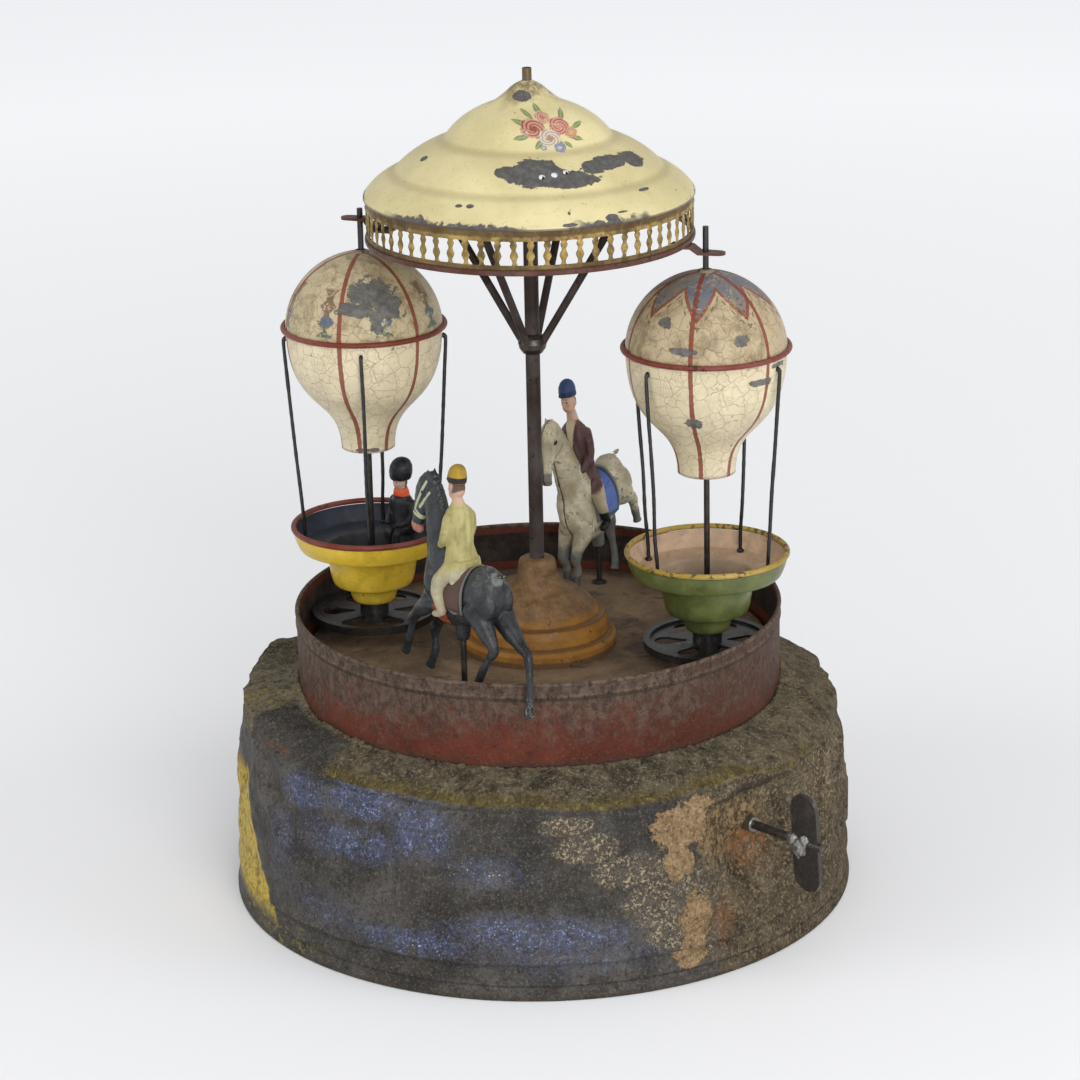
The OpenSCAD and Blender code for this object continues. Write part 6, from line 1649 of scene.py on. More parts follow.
def cast_horse(side, c):
    """One horse: trunk, neck, head, legs and hooves melted into one lead casting."""
    k = Casting()
    trunk = [(-22, 22, 0, 2.2, 3.6), (-20.8, 22, 0, 4.8, 7.6), (-18, 21.8, 0, 7.0, 10.4),
             (-14, 21.4, 0, 8.0, 12.2),
             (-10, 20.3, 0, 8.1, 12.3), (-5, 18.2, 0, 7.7, 11.6), (0, 16.6, 0, 7.5, 11.5),
             (4, 15.8, 0, 7.5, 11.9),
             (8, 16.2, 0, 7.5, 12.6), (12, 17.8, 0, 7.4, 13.3), (16, 20.6, 0, 6.5, 13.0),
             (18.4, 22.6, 0, 4.8, 10.6),
             (19.9, 23.8, 0, 2.2, 6.0)]
    k.loft([(x, z + croup_rise(side, x), *rest) for x, z, *rest in trunk])
    k.loft([(8, 22, 60, 6.6, 11.5), (10, 28, 64, 6.2, 10.4), (12, 33.4, 66, 5.4, 9.0),
            (14, 39.5, 67, 4.6, 7.8),
            (15.8, 46, 66, 3.9, 6.8), (17.4, 52, 60, 3.5, 6.0), (18.6, 56, 48, 3.2, 5.2)])
    k.loft([(17.2, 61.6, -40, 2.2, 3.2), (19.2, 60, -52, 3.1, 4.8), (21.4, 57.6, -60, 3.5, 5.5),
            (23.4, 54.2, -66, 3.4, 5.4), (25.1, 50.2, -69, 2.9, 4.3), (26.6, 46, -70, 2.35, 3.4),
            (27.9, 42, -70, 2.15, 2.9), (28.9, 38.9, -66, 2.2, 2.7), (29.3, 37.6, -60, 1.6, 2.0)])
    k.ball((20.9, 0, 52.8), (3.6, 3.1, 4.2), (0, -20, 0))
    k.ball((28.6, 0, 39.2), (2.5, 2.3, 2.4))
    k.ball((27.0, 0, 37.8), (1.6, 1.5, 1.3))
    rump = 0.8 * croup_rise(side, -22)
    for y in (-1, 1):
        k.ball((22.3, y * 2.9, 55.3), (1.7, 0.8, 1.2), (0, 25, 0))
        k.level_loft([(19.6, y * 1.6, 58.6, 1.6, 1.35), (19.9, y * 1.7, 60.6, 1.3, 1.05),
                      (20.1, y * 1.75, 62.8, 0.95, 0.7),
                      (20.2, y * 1.75, 64.8, 0.35, 0.3)], 12)
        k.ball((-15, y * 4.6, 19.5 + rump), (8.0, 4.2, 8.8), (0, -14, 0))
        k.ball((12.5, y * 3.8, 20), (5.4, 4.2, 8.6), (0, 16, 0))
        k.ball((15, y * 3.0, 14), (4.6, 3.8, 5.2))
    k.ball((17.2, 0, 19.5), (3.6, 5.2, 8.4))
    crest = [(18.4, 63), (15.2, 60), (12.4, 53.5), (9.8, 47), (7.2, 40.5), (4.0, 34.5), (1.0, 30.5),
             (4.0, 27),
             (11, 38), (14.6, 48), (17.5, 56)]
    k.plate(crest, 0, 1.7)
    for leg in (BLACK_LEGS if side == "black" else WHITE_LEGS):
        k.limb(leg)
    for (x, y, z), slope in HOOVES[side]:
        s = math.radians(slope)
        down = Vector((-math.sin(s), 0, -math.cos(s)))
        rings = []
        for dist, wide in ((-1.6, 1.4), (-0.4, 1.7), (0.7, 2.0), (1.4, 2.15), (1.6, 1.7)):
            mid = Vector((x, y, z)) + down * dist
            rings.append([(mid.x + wide * 1.12 * math.cos(t) * math.cos(s),
                           mid.y + wide * 0.9 * math.sin(t),
                           mid.z - wide * 1.12 * math.cos(t) * math.sin(s))
                          for t in (2 * math.pi * i / 14 for i in range(14))])
        k.ring_skin(rings)
    tail = croup_rise(side, -22)
    k.loft([(-16.5, 29.5 + tail, 70, 2.6, 2.8), (-20, 30.6 + tail, 70, 2.5, 2.6),
            (-23.2, 31.6 + tail, 70, 1.9, 2.0)], 14)
    k.level_loft([(0, 0, -0.6, 2.5, 2.5), (0, 0, 2, 2.8, 2.8), (0, 0, 8, 3.6, 3.6)], 20)

    def carve(p):
        """Small hollows: eyes, nostrils, the mane's locks, the chest's seam and the tail's hole."""
        deep = 0.0
        y = abs(p.y)
        deep -= 0.35 * math.exp(-((p.x - 22.0) ** 2 + (p.z - 54.7) ** 2) / 0.9) * (y > 2.2)
        deep -= 0.5 * math.exp(-((p.x - 29.4) ** 2 + (p.z - 39.4) ** 2 + (y - 1.4) ** 2) / 0.5)
        deep -= 0.4 * math.exp(-((p.z - 37.9 - (p.x - 28) * 0.3) / 0.35) ** 2) * smooth((p.x - 25.5)
                / 1.5) * (y < 2.6)
        if y < 1.6 and p.x < 18 and p.z > 31:
            deep += 0.16 * math.sin((p.z * 0.9 + p.x * 0.9) * 2.1)
        if side == "white" and p.x > 11 and 6 < p.z < 52:
            deep -= 0.55 * math.exp(-(p.y / 0.4) ** 2)
        if p.x < -19.5:
            span = math.dist((p.y, p.z), (0.3, 30.9 + tail))
            deep -= 1.3 * math.exp(-(span / 1.0) ** 2) * smooth((-20.4 - p.x) / 1.6)
        ribs = smooth((6 - abs(p.x)) / 4) * smooth((20 - p.z) / 6)
        deep += 0.10 * math.sin(p.x * 1.5) * ribs
        deep += 0.14 * noise.noise(p / 2.8) + 0.05 * noise.noise(p / 0.9)
        return deep

    coat = black_horse_finish(c) if side == "black" else white_horse_finish(c)
    horse = k.cast(side + "_horse", horse_place(side), coat, c.grain / MM, 5, 0.5, carve)
    return settle(horse, side + "_horse", ("horse_" + side,))


def cast_rider(side, c):
    """A seated rider with a plain head, melted from lumps."""
    skirt, s, h = RIDER_BUILD[side]
    waist = (skirt + 5.4) / 2
    k = Casting()
    k.level_loft([(0.8, 0, 24, 3.0, 4.0), (1.0, 0, 27, 5.6, skirt * 0.98),
                  (1.6, 0, 31, 5.2, (skirt + waist) / 2),
                  (2.0, 0, 35, 4.5, waist * 0.98), (2.4, 0, 39 + s / 2, 4.5, 5.6),
                  (3.0, 0, 44 + s, 4.9, 6.2),
                  (3.3, 0, 48 + s, 4.6, 6.7), (3.6, 0, 51 + s, 3.9, 6.4), (3.8, 0, 53 + s, 3.0, 4.6),
                  (3.9, 0, 54.6 + s, 2.4, 2.8), (4.0, 0, 57 + (s + h) / 2, 2.2, 2.3),
                  (4.3, 0, 59 + h, 2.0, 2.0)])
    k.ball((4.7, 0, 62.6 + h), (3.75, 3.1, 4.3))
    k.ball((5.6, 0, 60.2 + h), (2.7, 2.5, 2.4))
    k.ball((8.3, 0, 61.4 + h), (0.75, 0.55, 1.0), (0, -14, 0))
    for y in (-1, 1):
        k.ball((4.3, y * 3.1, 61.9 + h), (0.8, 0.5, 1.1))
    k.level_loft([(4.5, 0, 65.0 + h, 3.95, 3.5), (4.6, 0, 66.0 + h, 4.15, 3.75),
                  (4.55, 0, 67.4 + h, 4.1, 3.7),
                  (4.4, 0, 69.2 + h, 3.8, 3.5), (4.2, 0, 70.9 + h, 3.1, 2.9),
                  (4.0, 0, 72.0 + h, 1.9, 1.8),
                  (3.9, 0, 72.4 + h, 0.8, 0.8)])
    k.ball((7.4, 0, 66.0 + h), (2.4, 2.6, 0.5), (0, 12, 0))
    k.level_loft([(-0.8, 0, 23.6, 3.8, skirt * 0.86), (-1.0, 0, 27, 4.7, skirt * 0.97),
                  (-0.3, 0, 33, 4.2, waist)])
    for y in (-1, 1):
        k.limb([(3.0, y * 5.3, 49 + s, 2.4), (3.5, y * 6.3, 44.6 + s * 0.75, 2.1),
                (4.6, y * 6.3, 40.9 + s / 2, 2.0),
                (7.6, y * 4.8, 38.2, 1.6), (10.2, y * 3.1, 36.6, 1.45)])
        k.ball((11.0, y * 2.8, 36.5), (1.4, 1.1, 1.3))
        k.limb([(2.6, y * 4.9, 28, 3.9), (4.9, y * 7.8, 24.3, 3.3), (5.5, y * 8.9, 20.6, 2.7),
                (4.3, y * 8.9, 16.4, 2.3),
                (2.8, y * 8.8, 12.8, 1.9)])
        k.ball((4.0, y * 8.9, 16.2), (2.35, 2.1, 0.9))
        k.limb([(2.8, y * 8.8, 12.2, 1.75), (4.8, y * 8.8, 10.9, 1.6), (6.8, y * 8.8, 10.3, 1.3)])

    def carve(p):
        deep = 0.10 * noise.noise(p / 2.2) + 0.05 * noise.noise(p / 0.8)
        if 28 < p.z < 52 + s:
            deep -= 0.32 * math.exp(-(p.y / 0.5) ** 2) * smooth((0.5 - p.x) / 1.5)
            deep += 0.16 * math.sin(p.y * 2.1 + p.z * 0.25) * smooth((p.z - 28) / 3)
        if p.z > 57 + h and p.x > 5.5:
            for y in (-1.35, 1.35):
                deep -= 0.32 * math.exp(-((p.y - y) ** 2 / 0.9 + (p.z - 62.9 - h) ** 2 / 0.5))
            deep -= 0.2 * math.exp(-(p.y ** 2 / 2.4 + (p.z - 59.3 - h) ** 2 / 0.1))
        return deep

    suits = {
        "black": dict(jacket=tuple(c.yellow_green), breeches=(0.50, 0.45, 0.30),
                      cap=(0.42, 0.27, 0.035),
                      band=(0.025, 0.024, 0.022), collar=(0.62, 0.55, 0.36), boots=(0.50, 0.43, 0.29)),
        "white": dict(jacket=tuple(c.maroon), breeches=(0.48, 0.42, 0.27), cap=(0.045, 0.085, 0.19),
                      band=(0.02, 0.035, 0.08), collar=(0.55, 0.47, 0.33), boots=(0.02, 0.02, 0.022)),
    }
    paint_ = rider_finish(side + " rider paint", c, s, h, **suits[side])
    rider = k.cast(side + "_rider", horse_place(side), paint_, c.grain / MM * 0.9, 3, 0.5, carve)
    return settle(rider, side + "_horse", ("rider_" + side,))


TRUNK = [(-21, 22, 3.4, 5.5), (-18, 21.8, 7.0, 10.5), (-14, 21.4, 8.1, 12.4), (-10, 20.3, 8.3, 12.4),
         (-5, 18.2, 7.9, 11.7),
         (0, 16.6, 7.7, 11.6), (4, 15.8, 7.6, 12.0), (8, 16.2, 7.6, 12.7), (12, 17.8, 7.5, 13.4)]


def trunk_at(x, side):
    """Middle height, half width and half depth of the trunk at a place along it."""
    for a, b in zip(TRUNK, TRUNK[1:]):
        if x <= b[0]:
            t = max(0.0, (x - a[0]) / (b[0] - a[0]))
            z, w, d = (p + (q - p) * t for p, q in zip(a[1:], b[1:]))
            return z + croup_rise(side, x), w, d
    return TRUNK[-1][1:]


def saddle_cloth(side):
    """The cloth over the horse's back, a thin shell that follows the trunk, with a wavy hem."""
    work = bmesh.new()
    n, m = 40, 56
    layers = []
    for grow in (0.85, 0.12):
        rows = []
        for i in range(n + 1):
            x = -8.4 + 16.4 * i / n
            z0, w, d = trunk_at(x, side)
            row = []
            for j in range(m + 1):
                t = j / m * 2 - 1
                low = math.asin(max(-0.98, min(0.98,
                                               (13.4 + 0.5 * math.sin(x * 0.8 + (1 if t > 0 else 3))
                                                - z0) / d)))
                a = math.pi / 2 - t * (math.pi / 2 - low)
                roll = 0.12 * noise.noise(Vector((x, t * 12, 1)) / 1.7)
                row.append(work.verts.new((x, (w + grow + roll) * math.cos(a),
                                           z0 + (d + grow + roll) * math.sin(a))))
            rows.append(row)
        layers.append(rows)
    for rows, flip in ((layers[0], False), (layers[1], True)):
        for i in range(n):
            for j in range(m):
                quad = (rows[i][j], rows[i + 1][j], rows[i + 1][j + 1], rows[i][j + 1])
                work.faces.new(quad[::-1] if flip else quad)
    top, low = layers
    for i in range(n):
        work.faces.new((top[i][0], low[i][0], low[i + 1][0], top[i + 1][0]))
        work.faces.new((top[i + 1][m], low[i + 1][m], low[i][m], top[i][m]))
    for j in range(m):
        work.faces.new((top[0][j + 1], low[0][j + 1], low[0][j], top[0][j]))
        work.faces.new((top[n][j], low[n][j], low[n][j + 1], top[n][j + 1]))
    mesh = as_mesh(work, side + "_saddle")
    own = mesh.attributes.new("own_place", "FLOAT_VECTOR", "POINT")
    own.data.foreach_set("vector", [q for v in mesh.vertices for q in v.co])
    mesh.transform(Matrix.Diagonal((MM, MM, MM, 1)) @ horse_place(side))
    outward(mesh, 50)
    paints = {"black": ((0.085, 0.05, 0.04), (0.20, 0.19, 0.17), (0.10, 0.06, 0.05)),
              "white": ((0.05, 0.065, 0.10), (0.16, 0.16, 0.17), (0.09, 0.15, 0.42))}
    mesh.materials.append(cloth_finish(side + " saddle paint", *paints[side]))
    obj = to_scene(bpy.data.objects.new(side + "_saddle", mesh))
    return settle(obj, side + "_horse", ("saddle_" + side,))


def cast_passenger(c):
    """The passenger on the left gondola's ledge."""
    k = Casting()
    k.level_loft([(-0.5, 0, 0.2, 3.8, 5.0), (-0.5, 0, 3, 4.9, 5.9), (-0.3, 0, 7, 4.2, 5.2),
                  (-0.1, 0, 11, 4.0, 5.5),
                  (0.1, 0, 14.4, 3.7, 6.0), (0.3, 0, 16.4, 2.9, 4.6), (0.6, 0, 17.6, 2.2, 2.6),
                  (0.8, 0, 19.6, 1.9, 2.1)])
    k.level_loft([(0.6, 0, 16.6, 3.2, 3.6), (0.8, 0, 18.2, 3.4, 3.5), (0.9, 0, 19.8, 3.0, 3.1),
                  (0.9, 0, 20.8, 2.2, 2.2)])
    k.ball((1.2, 0, 22.6), (3.3, 2.9, 3.1))
    k.ball((4.4, 0, 22.0), (0.6, 0.45, 0.7))
    k.level_loft([(0.9, 0, 24.0, 4.2, 4.1), (0.9, 0, 25.0, 4.8, 4.6), (0.7, 0, 27.4, 5.1, 4.9),
                  (0.5, 0, 29.8, 4.9, 4.7),
                  (0.2, 0, 31.6, 4.0, 3.8), (0.1, 0, 32.8, 2.5, 2.4), (0.0, 0, 33.3, 1.1, 1.1)])
    for y in (-1, 1):
        k.limb([(0.2, y * 5.4, 14, 2.0), (0.8, y * 6.6, 9.6, 1.8), (2.6, y * 6.2, 6.6, 1.6),
                (6, y * 3.4, 5.4, 1.3)])
        k.limb([(0, y * 2.8, 2.4, 2.3), (5.6, y * 2.8, 1.9, 1.9), (6.6, y * 2.7, -1.5, 1.6),
                (7, y * 2.6, -5.6, 1.4)])
        k.ball((7.9, y * 2.6, -6.2), (1.9, 1.2, 1.0))
    a = math.radians(42)
    stand = Matrix.Translation(station("left")) @ Matrix.Rotation(a, 4, "Z") \
        @ Matrix.Translation((17.6, 0, GONDOLA_Z + GONDOLA_SEAT + 1.1)) @ Matrix.Rotation(math.pi, 4,
                "Z")
    figure = k.cast("seated_passenger", stand, passenger_finish(c), c.grain / MM * 0.9, 4, 0.5,
                    lambda p: 0.10 * noise.noise(p / 2.0) + 0.05 * noise.noise(p / 0.8))
    return settle(figure, "left_balloon", ("passenger",))


# Canopy, gallery, balloons and gondolas


def canopy_line():
    """The canopy's outside from its lip to its tip, in three steps."""
    top = LIP_Z + 1.1 + 9.5 + 0.6 + 12 + 22.4
    low = (CANOPY_R - 12.2, LIP_Z + 10.6)
    high = (CANOPY_R - 32.2, low[1] + 12.6)
    line = [(CANOPY_R, LIP_Z), (CANOPY_R, LIP_Z + 1.1)] + bow((CANOPY_R, LIP_Z + 1.1), low, 0.32, 12)
    line += [(low[0] - 0.6, low[1] + 0.6)] + bow((low[0] - 0.6, low[1] + 0.6), high, 0.28, 12)
    line += [(high[0] - 0.6, high[1] + 0.6)] + bow((high[0] - 0.6, high[1] + 0.6), (14, top - 8.6),
                                                   0.36, 12)
    return soften(line + [(9.4, top - 5.2), (5.6, top - 1.7), (2.0, top)], 1)


def soften(line, times):
    """The line with its corners cut, its ends kept."""
    for _ in range(times):
        out = [line[0]]
        for p, q in zip(line, line[1:]):
            out.append(tuple(0.75 * u + 0.25 * v for u, v in zip(p, q)))
            out.append(tuple(0.25 * u + 0.75 * v for u, v in zip(p, q)))
        line = out + [line[-1]]
    return line


def pierced(obj, holes):
    """Cuts round holes, each a place, a direction and a radius in millimetres, through a piece."""
    work = bmesh.new()
    for place, aim, r in holes:
        turn = Vector(aim).to_track_quat("Z", "Y").to_matrix().to_4x4()
        made = bmesh.ops.create_cone(work, cap_ends=True, segments=12, radius1=r * MM, radius2=r * MM,
                                     depth=8 * MM)
        bmesh.ops.transform(work, matrix=Matrix.Translation(Vector(place) * MM) @ turn,
                            verts=made["verts"])
    drill = to_scene(bpy.data.objects.new("drill", as_mesh(work, "drill")))
    cut = obj.modifiers.new("cut", "BOOLEAN")
    cut.operation = "DIFFERENCE"
    cut.solver = "EXACT"
    cut.object = drill
    apply_shapers(obj)
    bpy.data.objects.remove(drill)
    return obj


def gallery_tree():
    """Node tree that sets balusters round a ring, each a little out of line."""
    tree = bpy.data.node_groups.new("Baluster ring", "GeometryNodeTree")
    sockets_of(tree, ("Count", "Int", 64), ("Radius", "Float", 0.065), ("Height", "Float", 0.28),
               ("Slack", "Float", 0.05), ("Seed", "Int", 3), ("Paint", "Material"))
    new, link = tree.nodes.new, tree.links.new
    entry, leave = new("NodeGroupInput"), new("NodeGroupOutput")
    ring = new("GeometryNodeMeshCircle")
    link(entry.outputs["Count"], ring.inputs["Vertices"])
    link(entry.outputs["Radius"], ring.inputs["Radius"])
    split = new("ShaderNodeSeparateXYZ")
    link(new("GeometryNodeInputPosition").outputs[0], split.inputs[0])
    turn = new("ShaderNodeMath")
    turn.operation = "ARCTAN2"
    link(split.outputs["Y"], turn.inputs[0])
    link(split.outputs["X"], turn.inputs[1])
    tilt = new("FunctionNodeRandomValue")
    tilt.data_type = "FLOAT"
    low = new("ShaderNodeMath")
    low.operation = "MULTIPLY"
    low.inputs[1].default_value = -1.0
    link(entry.outputs["Slack"], low.inputs[0])
    link(low.outputs[0], tilt.inputs[2])
    link(entry.outputs["Slack"], tilt.inputs[3])
    link(entry.outputs["Seed"], tilt.inputs["Seed"])
    spin = new("ShaderNodeCombineXYZ")
    link(tilt.outputs[1], spin.inputs["X"])
    link(turn.outputs[0], spin.inputs["Z"])
    set_out = new("GeometryNodeInstanceOnPoints")
    link(ring.outputs["Mesh"], set_out.inputs["Points"])
    link(entry.outputs["Geometry"], set_out.inputs["Instance"])
    link(spin.outputs[0], set_out.inputs["Rotation"])
    lift = new("ShaderNodeCombineXYZ")
    link(entry.outputs["Height"], lift.inputs["Z"])
    move = new("GeometryNodeTransform")
    link(set_out.outputs["Instances"], move.inputs["Geometry"])
    link(lift.outputs[0], move.inputs["Translation"])
    real = new("GeometryNodeRealizeInstances")
    link(move.outputs["Geometry"], real.inputs["Geometry"])
    coat = new("GeometryNodeSetMaterial")
    link(real.outputs["Geometry"], coat.inputs["Geometry"])
    link(entry.outputs["Paint"], coat.inputs["Material"])
    link(coat.outputs["Geometry"], leave.inputs["Geometry"])
    return tree


def balusters(c, paint_):
    """The gallery's balusters: small pressed columns with a belly and two waists."""
    work = bmesh.new()
    rings = []
    for z, wide, deep in ((-5.6, 1.75, 0.26), (-4.9, 1.7, 0.3), (-4.3, 1.0, 0.34), (-3.2, 0.8, 0.4),
                          (-2.2, 1.25, 0.48),
                          (-1.2, 1.75, 0.52), (-0.2, 1.5, 0.5), (0.9, 0.9, 0.42), (1.6, 0.85, 0.42),
                          (2.6, 1.35, 0.48),
                          (3.4, 1.5, 0.46), (4.2, 1.0, 0.36), (4.9, 1.7, 0.3), (5.6, 1.8, 0.26)):
        rings.append([work.verts.new((deep * math.cos(a) * MM, wide * math.sin(a) * MM, z * MM))
                      for a in (2 * math.pi * k / 10 for k in range(10))])
    skin_over(work, rings)
    obj = to_scene(bpy.data.objects.new("gallery_balusters", as_mesh(work, "gallery_balusters")))
    foot = BAND_LOW.z / MM
    with_nodes(obj, gallery_tree(), Count=c.balusters, Radius=(CANOPY_R - 1.15) * MM,
               Height=(foot + 6.6) * MM,
               Slack=0.05, Seed=3, Paint=paint_)
    outward(obj.data, 60)
    return settle(obj, "rotor", ())


def hoop(name, low, high, outer, t, paint_, stands_for=(), curl=0.0, seed=0.0):
    """A thin hoop of tin, with a small bead along its edge if it curls."""
    line = [(outer, low), (outer + curl, low + 0.6), (outer, low + 1.2), (outer, high),
            (outer - t, high),
            (outer - t, low), (outer, low)]
    line = dense(line, 0.8)
    return turned(name, "rotor", line, [0] * len(line), paint_, stands_for, sides=256,
                  wobble=0.00025, dent=0.03, seed=seed, angle=50)


def balloon_shell(side, c):
    """Upper and lower half of one balloon."""
    middle = station(side) + Vector((0, 0, BEAD_Z))
    paint_ = balloon_finish(side + " balloon paint", middle * MM, c, side)
    body = side + "_balloon"
    centre = -1.6
    r = 32.4
    upper = arc((0, centre), r, math.degrees(math.asin(1.65 / r)), 87.7, 44)
    line, inside = walled_outline(upper, 0.7, 2.0)
    turned("balloon_" + side + "_dome", body, line, inside, paint_, ("balloon_" + side + "_top",),
           place=middle, sides=160, wobble=c.wobble, seed=1.0 if side == "left" else 4.0)
    belly = r - 0.2
    mouth = 11.2 if side == "left" else 11.8
    lower = bent((belly, 0), (belly, -0.69 * 52), (mouth + 0.6, -0.54 * 52), (mouth - 0.1, -51.2), 40)
    lower = [(1.3, -52.0), (6, -52.0), (mouth - 0.4, -52.0), (mouth - 0.1, -51.8)] + lower[::-1]
    line, inside = walled_outline(lower, 0.7, 2.0)
    turned("balloon_" + side + "_drop", body, line, inside, paint_, ("balloon_" + side + "_bottom",),
           place=middle, sides=160, wobble=c.wobble * 1.3, seed=2.0 if side == "left" else 5.0)
    top = centre + r
    collar = soften([(1.26, top - 0.6), (3.3, top - 0.5), (3.4, top + 0.1), (2.7, top + 0.8),
                     (1.26, top + 0.9),
                     (1.26, top - 0.6)], 1)
    turned("balloon_" + side + "_collar", body, collar, [0] * len(collar),
           aged(side + " collar paint", (0.3, 0.24, 0.15),
           (0.08, 0.07, 0.06), 0.9, 0.6), (), place=middle, sides=48, wobble=0.0001)


def gondola_shell(side, c):
    """One stepped gondola with rounded presses."""
    s, well, r = GONDOLA_SEAT, 19.0, 32.6
    outside = [(1.3, 0.1), (5.5, 0.1), (8.2, 0.4), (9.4, 2.3), (10.4, 7.1), (10.8, 7.9),
               (well - 3.2, 8.2), (well - 2, 9.5),
               (well - 0.8, s - 9.4), (well, s - 1.2), (well + 0.4, s - 0.4), (r - 2.8, s),
               (r - 2, s + 1),
               (r - 0.4, s + 5.1), (r, s + 7.8)]
    line, inside = walled_outline(soften(outside, 2), 0.7, 1.6)
    middle = station(side) + Vector((0, 0, GONDOLA_Z))
    if side == "left":
        paint_ = gondola_finish("left gondola paint", (station(side) * MM), tuple(c.yellow),
                                (0.033, 0.042, 0.062), (0.10, 0.085, 0.07), 1.0)
    else:
        paint_ = gondola_finish("right gondola paint", (station(side) * MM), tuple(c.green),
                                (0.60, 0.42, 0.28), (0.22, 0.15, 0.10), 9.0)
    turned("gondola_" + side + "_shell", side + "_balloon", line, inside, paint_, ("gondola_" + side,),
           place=middle, sides=128,
           wobble=c.wobble,
           seed=6.0 if side == "left" else 8.0, angle=45)


def wires(side):
    """Four hand-bent wires from a balloon down into its gondola, with a lump where each is soldered."""
    work = bmesh.new()
    seat = GONDOLA_Z + GONDOLA_SEAT
    high = BEAD_Z - 7
    draw = random.Random(5 if side == "left" else 9)
    for turn in WIRE_TURNS[side]:
        a = math.radians(turn)
        out = Vector((math.cos(a), math.sin(a), 0))
        along = Vector((-math.sin(a), math.cos(a), 0))
        base = station(side)

        def at(r, z, sway=0.0):
            return base + out * r + along * sway + Vector((0, 0, z))

        path = [at(32.1, BEAD_Z - 4.6), at(33.0, BEAD_Z - 5.3), at(33.3, high - 0.4)]
        for t in (0.16, 0.36, 0.56, 0.76, 0.9):
            path.append(at(33.3 - 5.7 * t + draw.uniform(-0.2, 0.2), high - (high - seat - 1) * t,
                           draw.uniform(-0.3, 0.3)))
        path.append(at(27.6, seat + 1.0))
        line = flowing(path, 1.1)
        radii = [0.78 + 0.12 * noise.noise(p / 2.5) for p in line]
        tube(work, line, radii, 10)
        for place, size in ((at(27.6, seat + 1.3), (1.6, 1.6, 1.0)),
                            (at(32.5, BEAD_Z - 5.2), (0.9, 1.1, 1.1))):
            made = bmesh.ops.create_icosphere(work, subdivisions=2, radius=1.0)
            bmesh.ops.transform(work, verts=made["verts"],
                                matrix=Matrix.Translation(place
                                                          * MM) @ Matrix.Diagonal((*[v * MM
                                                                  for v in size], 1)))
    bmesh.ops.recalc_face_normals(work, faces=work.faces)
    mesh = as_mesh(work, "wires")
    mesh.shade_smooth()
    mesh.materials.append(dark_metal(side + " wire skin", (0.028, 0.027, 0.027), 0.25, 0.25, 3.0))
    obj = to_scene(bpy.data.objects.new("gondola_" + side + "_wires", mesh))
    return settle(obj, side + "_balloon", ("wires_" + side,))


def key_solder():
    """Rough silver lumps where the key's plate is soldered to its shaft."""
    k = Casting()
    inner = (FOOT_R + 10.8)
    for x, y, z, sx, sy, sz in ((inner + 0.4, 0, 0, 3.4, 3.0, 3.2),
                                (inner + 3.2, 1.3, 1.6, 3.0, 1.8, 3.6),
                                (inner + 3.4, -1.2, -2.4, 3.2, 1.8, 4.2),
                                (inner + 5.6, 1.0, -4.4, 2.6, 1.5, 3.2),
                                (inner + 6.4, -1.0, 1.0, 2.6, 1.5, 3.0),
                                (inner + 2.4, 0.8, -6.4, 1.8, 1.4, 2.4),
                                (inner + 8.0, 0.9, 3.6, 1.8, 1.3, 2.0),
                                (inner - 2.0, 0.2, 0.4, 1.9, 2.2, 2.3)):
        k.ball((x, y, z), (sx, sy, sz), (12, 8, 5))
    place = Matrix.Rotation(math.radians(CRANK_ANGLE), 4, "Z") @ Matrix.Translation((0, 0, CRANK_Z))
    lump = k.cast("key_lumps", place, dark_metal("solder skin", (0.30, 0.30, 0.29), 0.12, 0.8, 6.0),
                  0.4, 2, 0.5,
                  lambda p: 0.45 * noise.noise(p / 1.7) + 0.2 * noise.noise(p / 0.7))
    return settle(lump, "crank", ("key_solder",))


def recoat(paint_, *nodes):
    """Gives CAD nodes a finish in all of their slots."""
    for n in nodes:
        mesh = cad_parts[n].data
        if not mesh.materials:
            mesh.materials.append(paint_)
        for i in range(len(mesh.materials)):
            mesh.materials[i] = paint_


# Operators, one for each piece or group of like pieces


class MakeRock(bpy.types.Operator):
    """Make the crumpled rock and coat the hem and the bottom"""
    bl_idname = "carousel.make_rock"
    bl_label = "Rock Base"

    def execute(self, context):
        c = context.scene.carousel_rock
        rock = rock_skin(c)
        rock.data.materials.append(rock_finish(c))
        settle(rock, "base", ("rock_shell",))
        recoat(rock.data.materials[0], "foot_hem")
        recoat(aged("bottom tin", (0.10, 0.085, 0.065), (0.07, 0.04, 0.025), 0.9, 0.8), "bottom_plate")
        return {"FINISHED"}


class MakeDrum(bpy.types.Operator):
    """Coat the drum, the turntable, the pedestal and the column"""
    bl_idname = "carousel.make_drum"
    bl_label = "Drum and Column"

    def execute(self, context):
        c = context.scene.carousel_drum
        recoat(drum_finish(c), "drum_wall")
        recoat(floor_finish(c), "turntable")
        recoat(aged("deck paint", (0.09, 0.06, 0.045), (0.05, 0.035, 0.03), 0.6, 0.7), "deck_plate")
        recoat(pedestal_finish(c), "pedestal")
        recoat(aged("column paint", dull(tuple(c.maroon), 0.6), (0.022, 0.016, 0.014), 0.55, 0.45,
                    0.003, gloss=0.5),
               "column", "canopy_struts")
        recoat(dark_metal("old solder", (0.075, 0.055, 0.045), 0.5, 0.35, 2.0), "strut_solder")
        return {"FINISHED"}


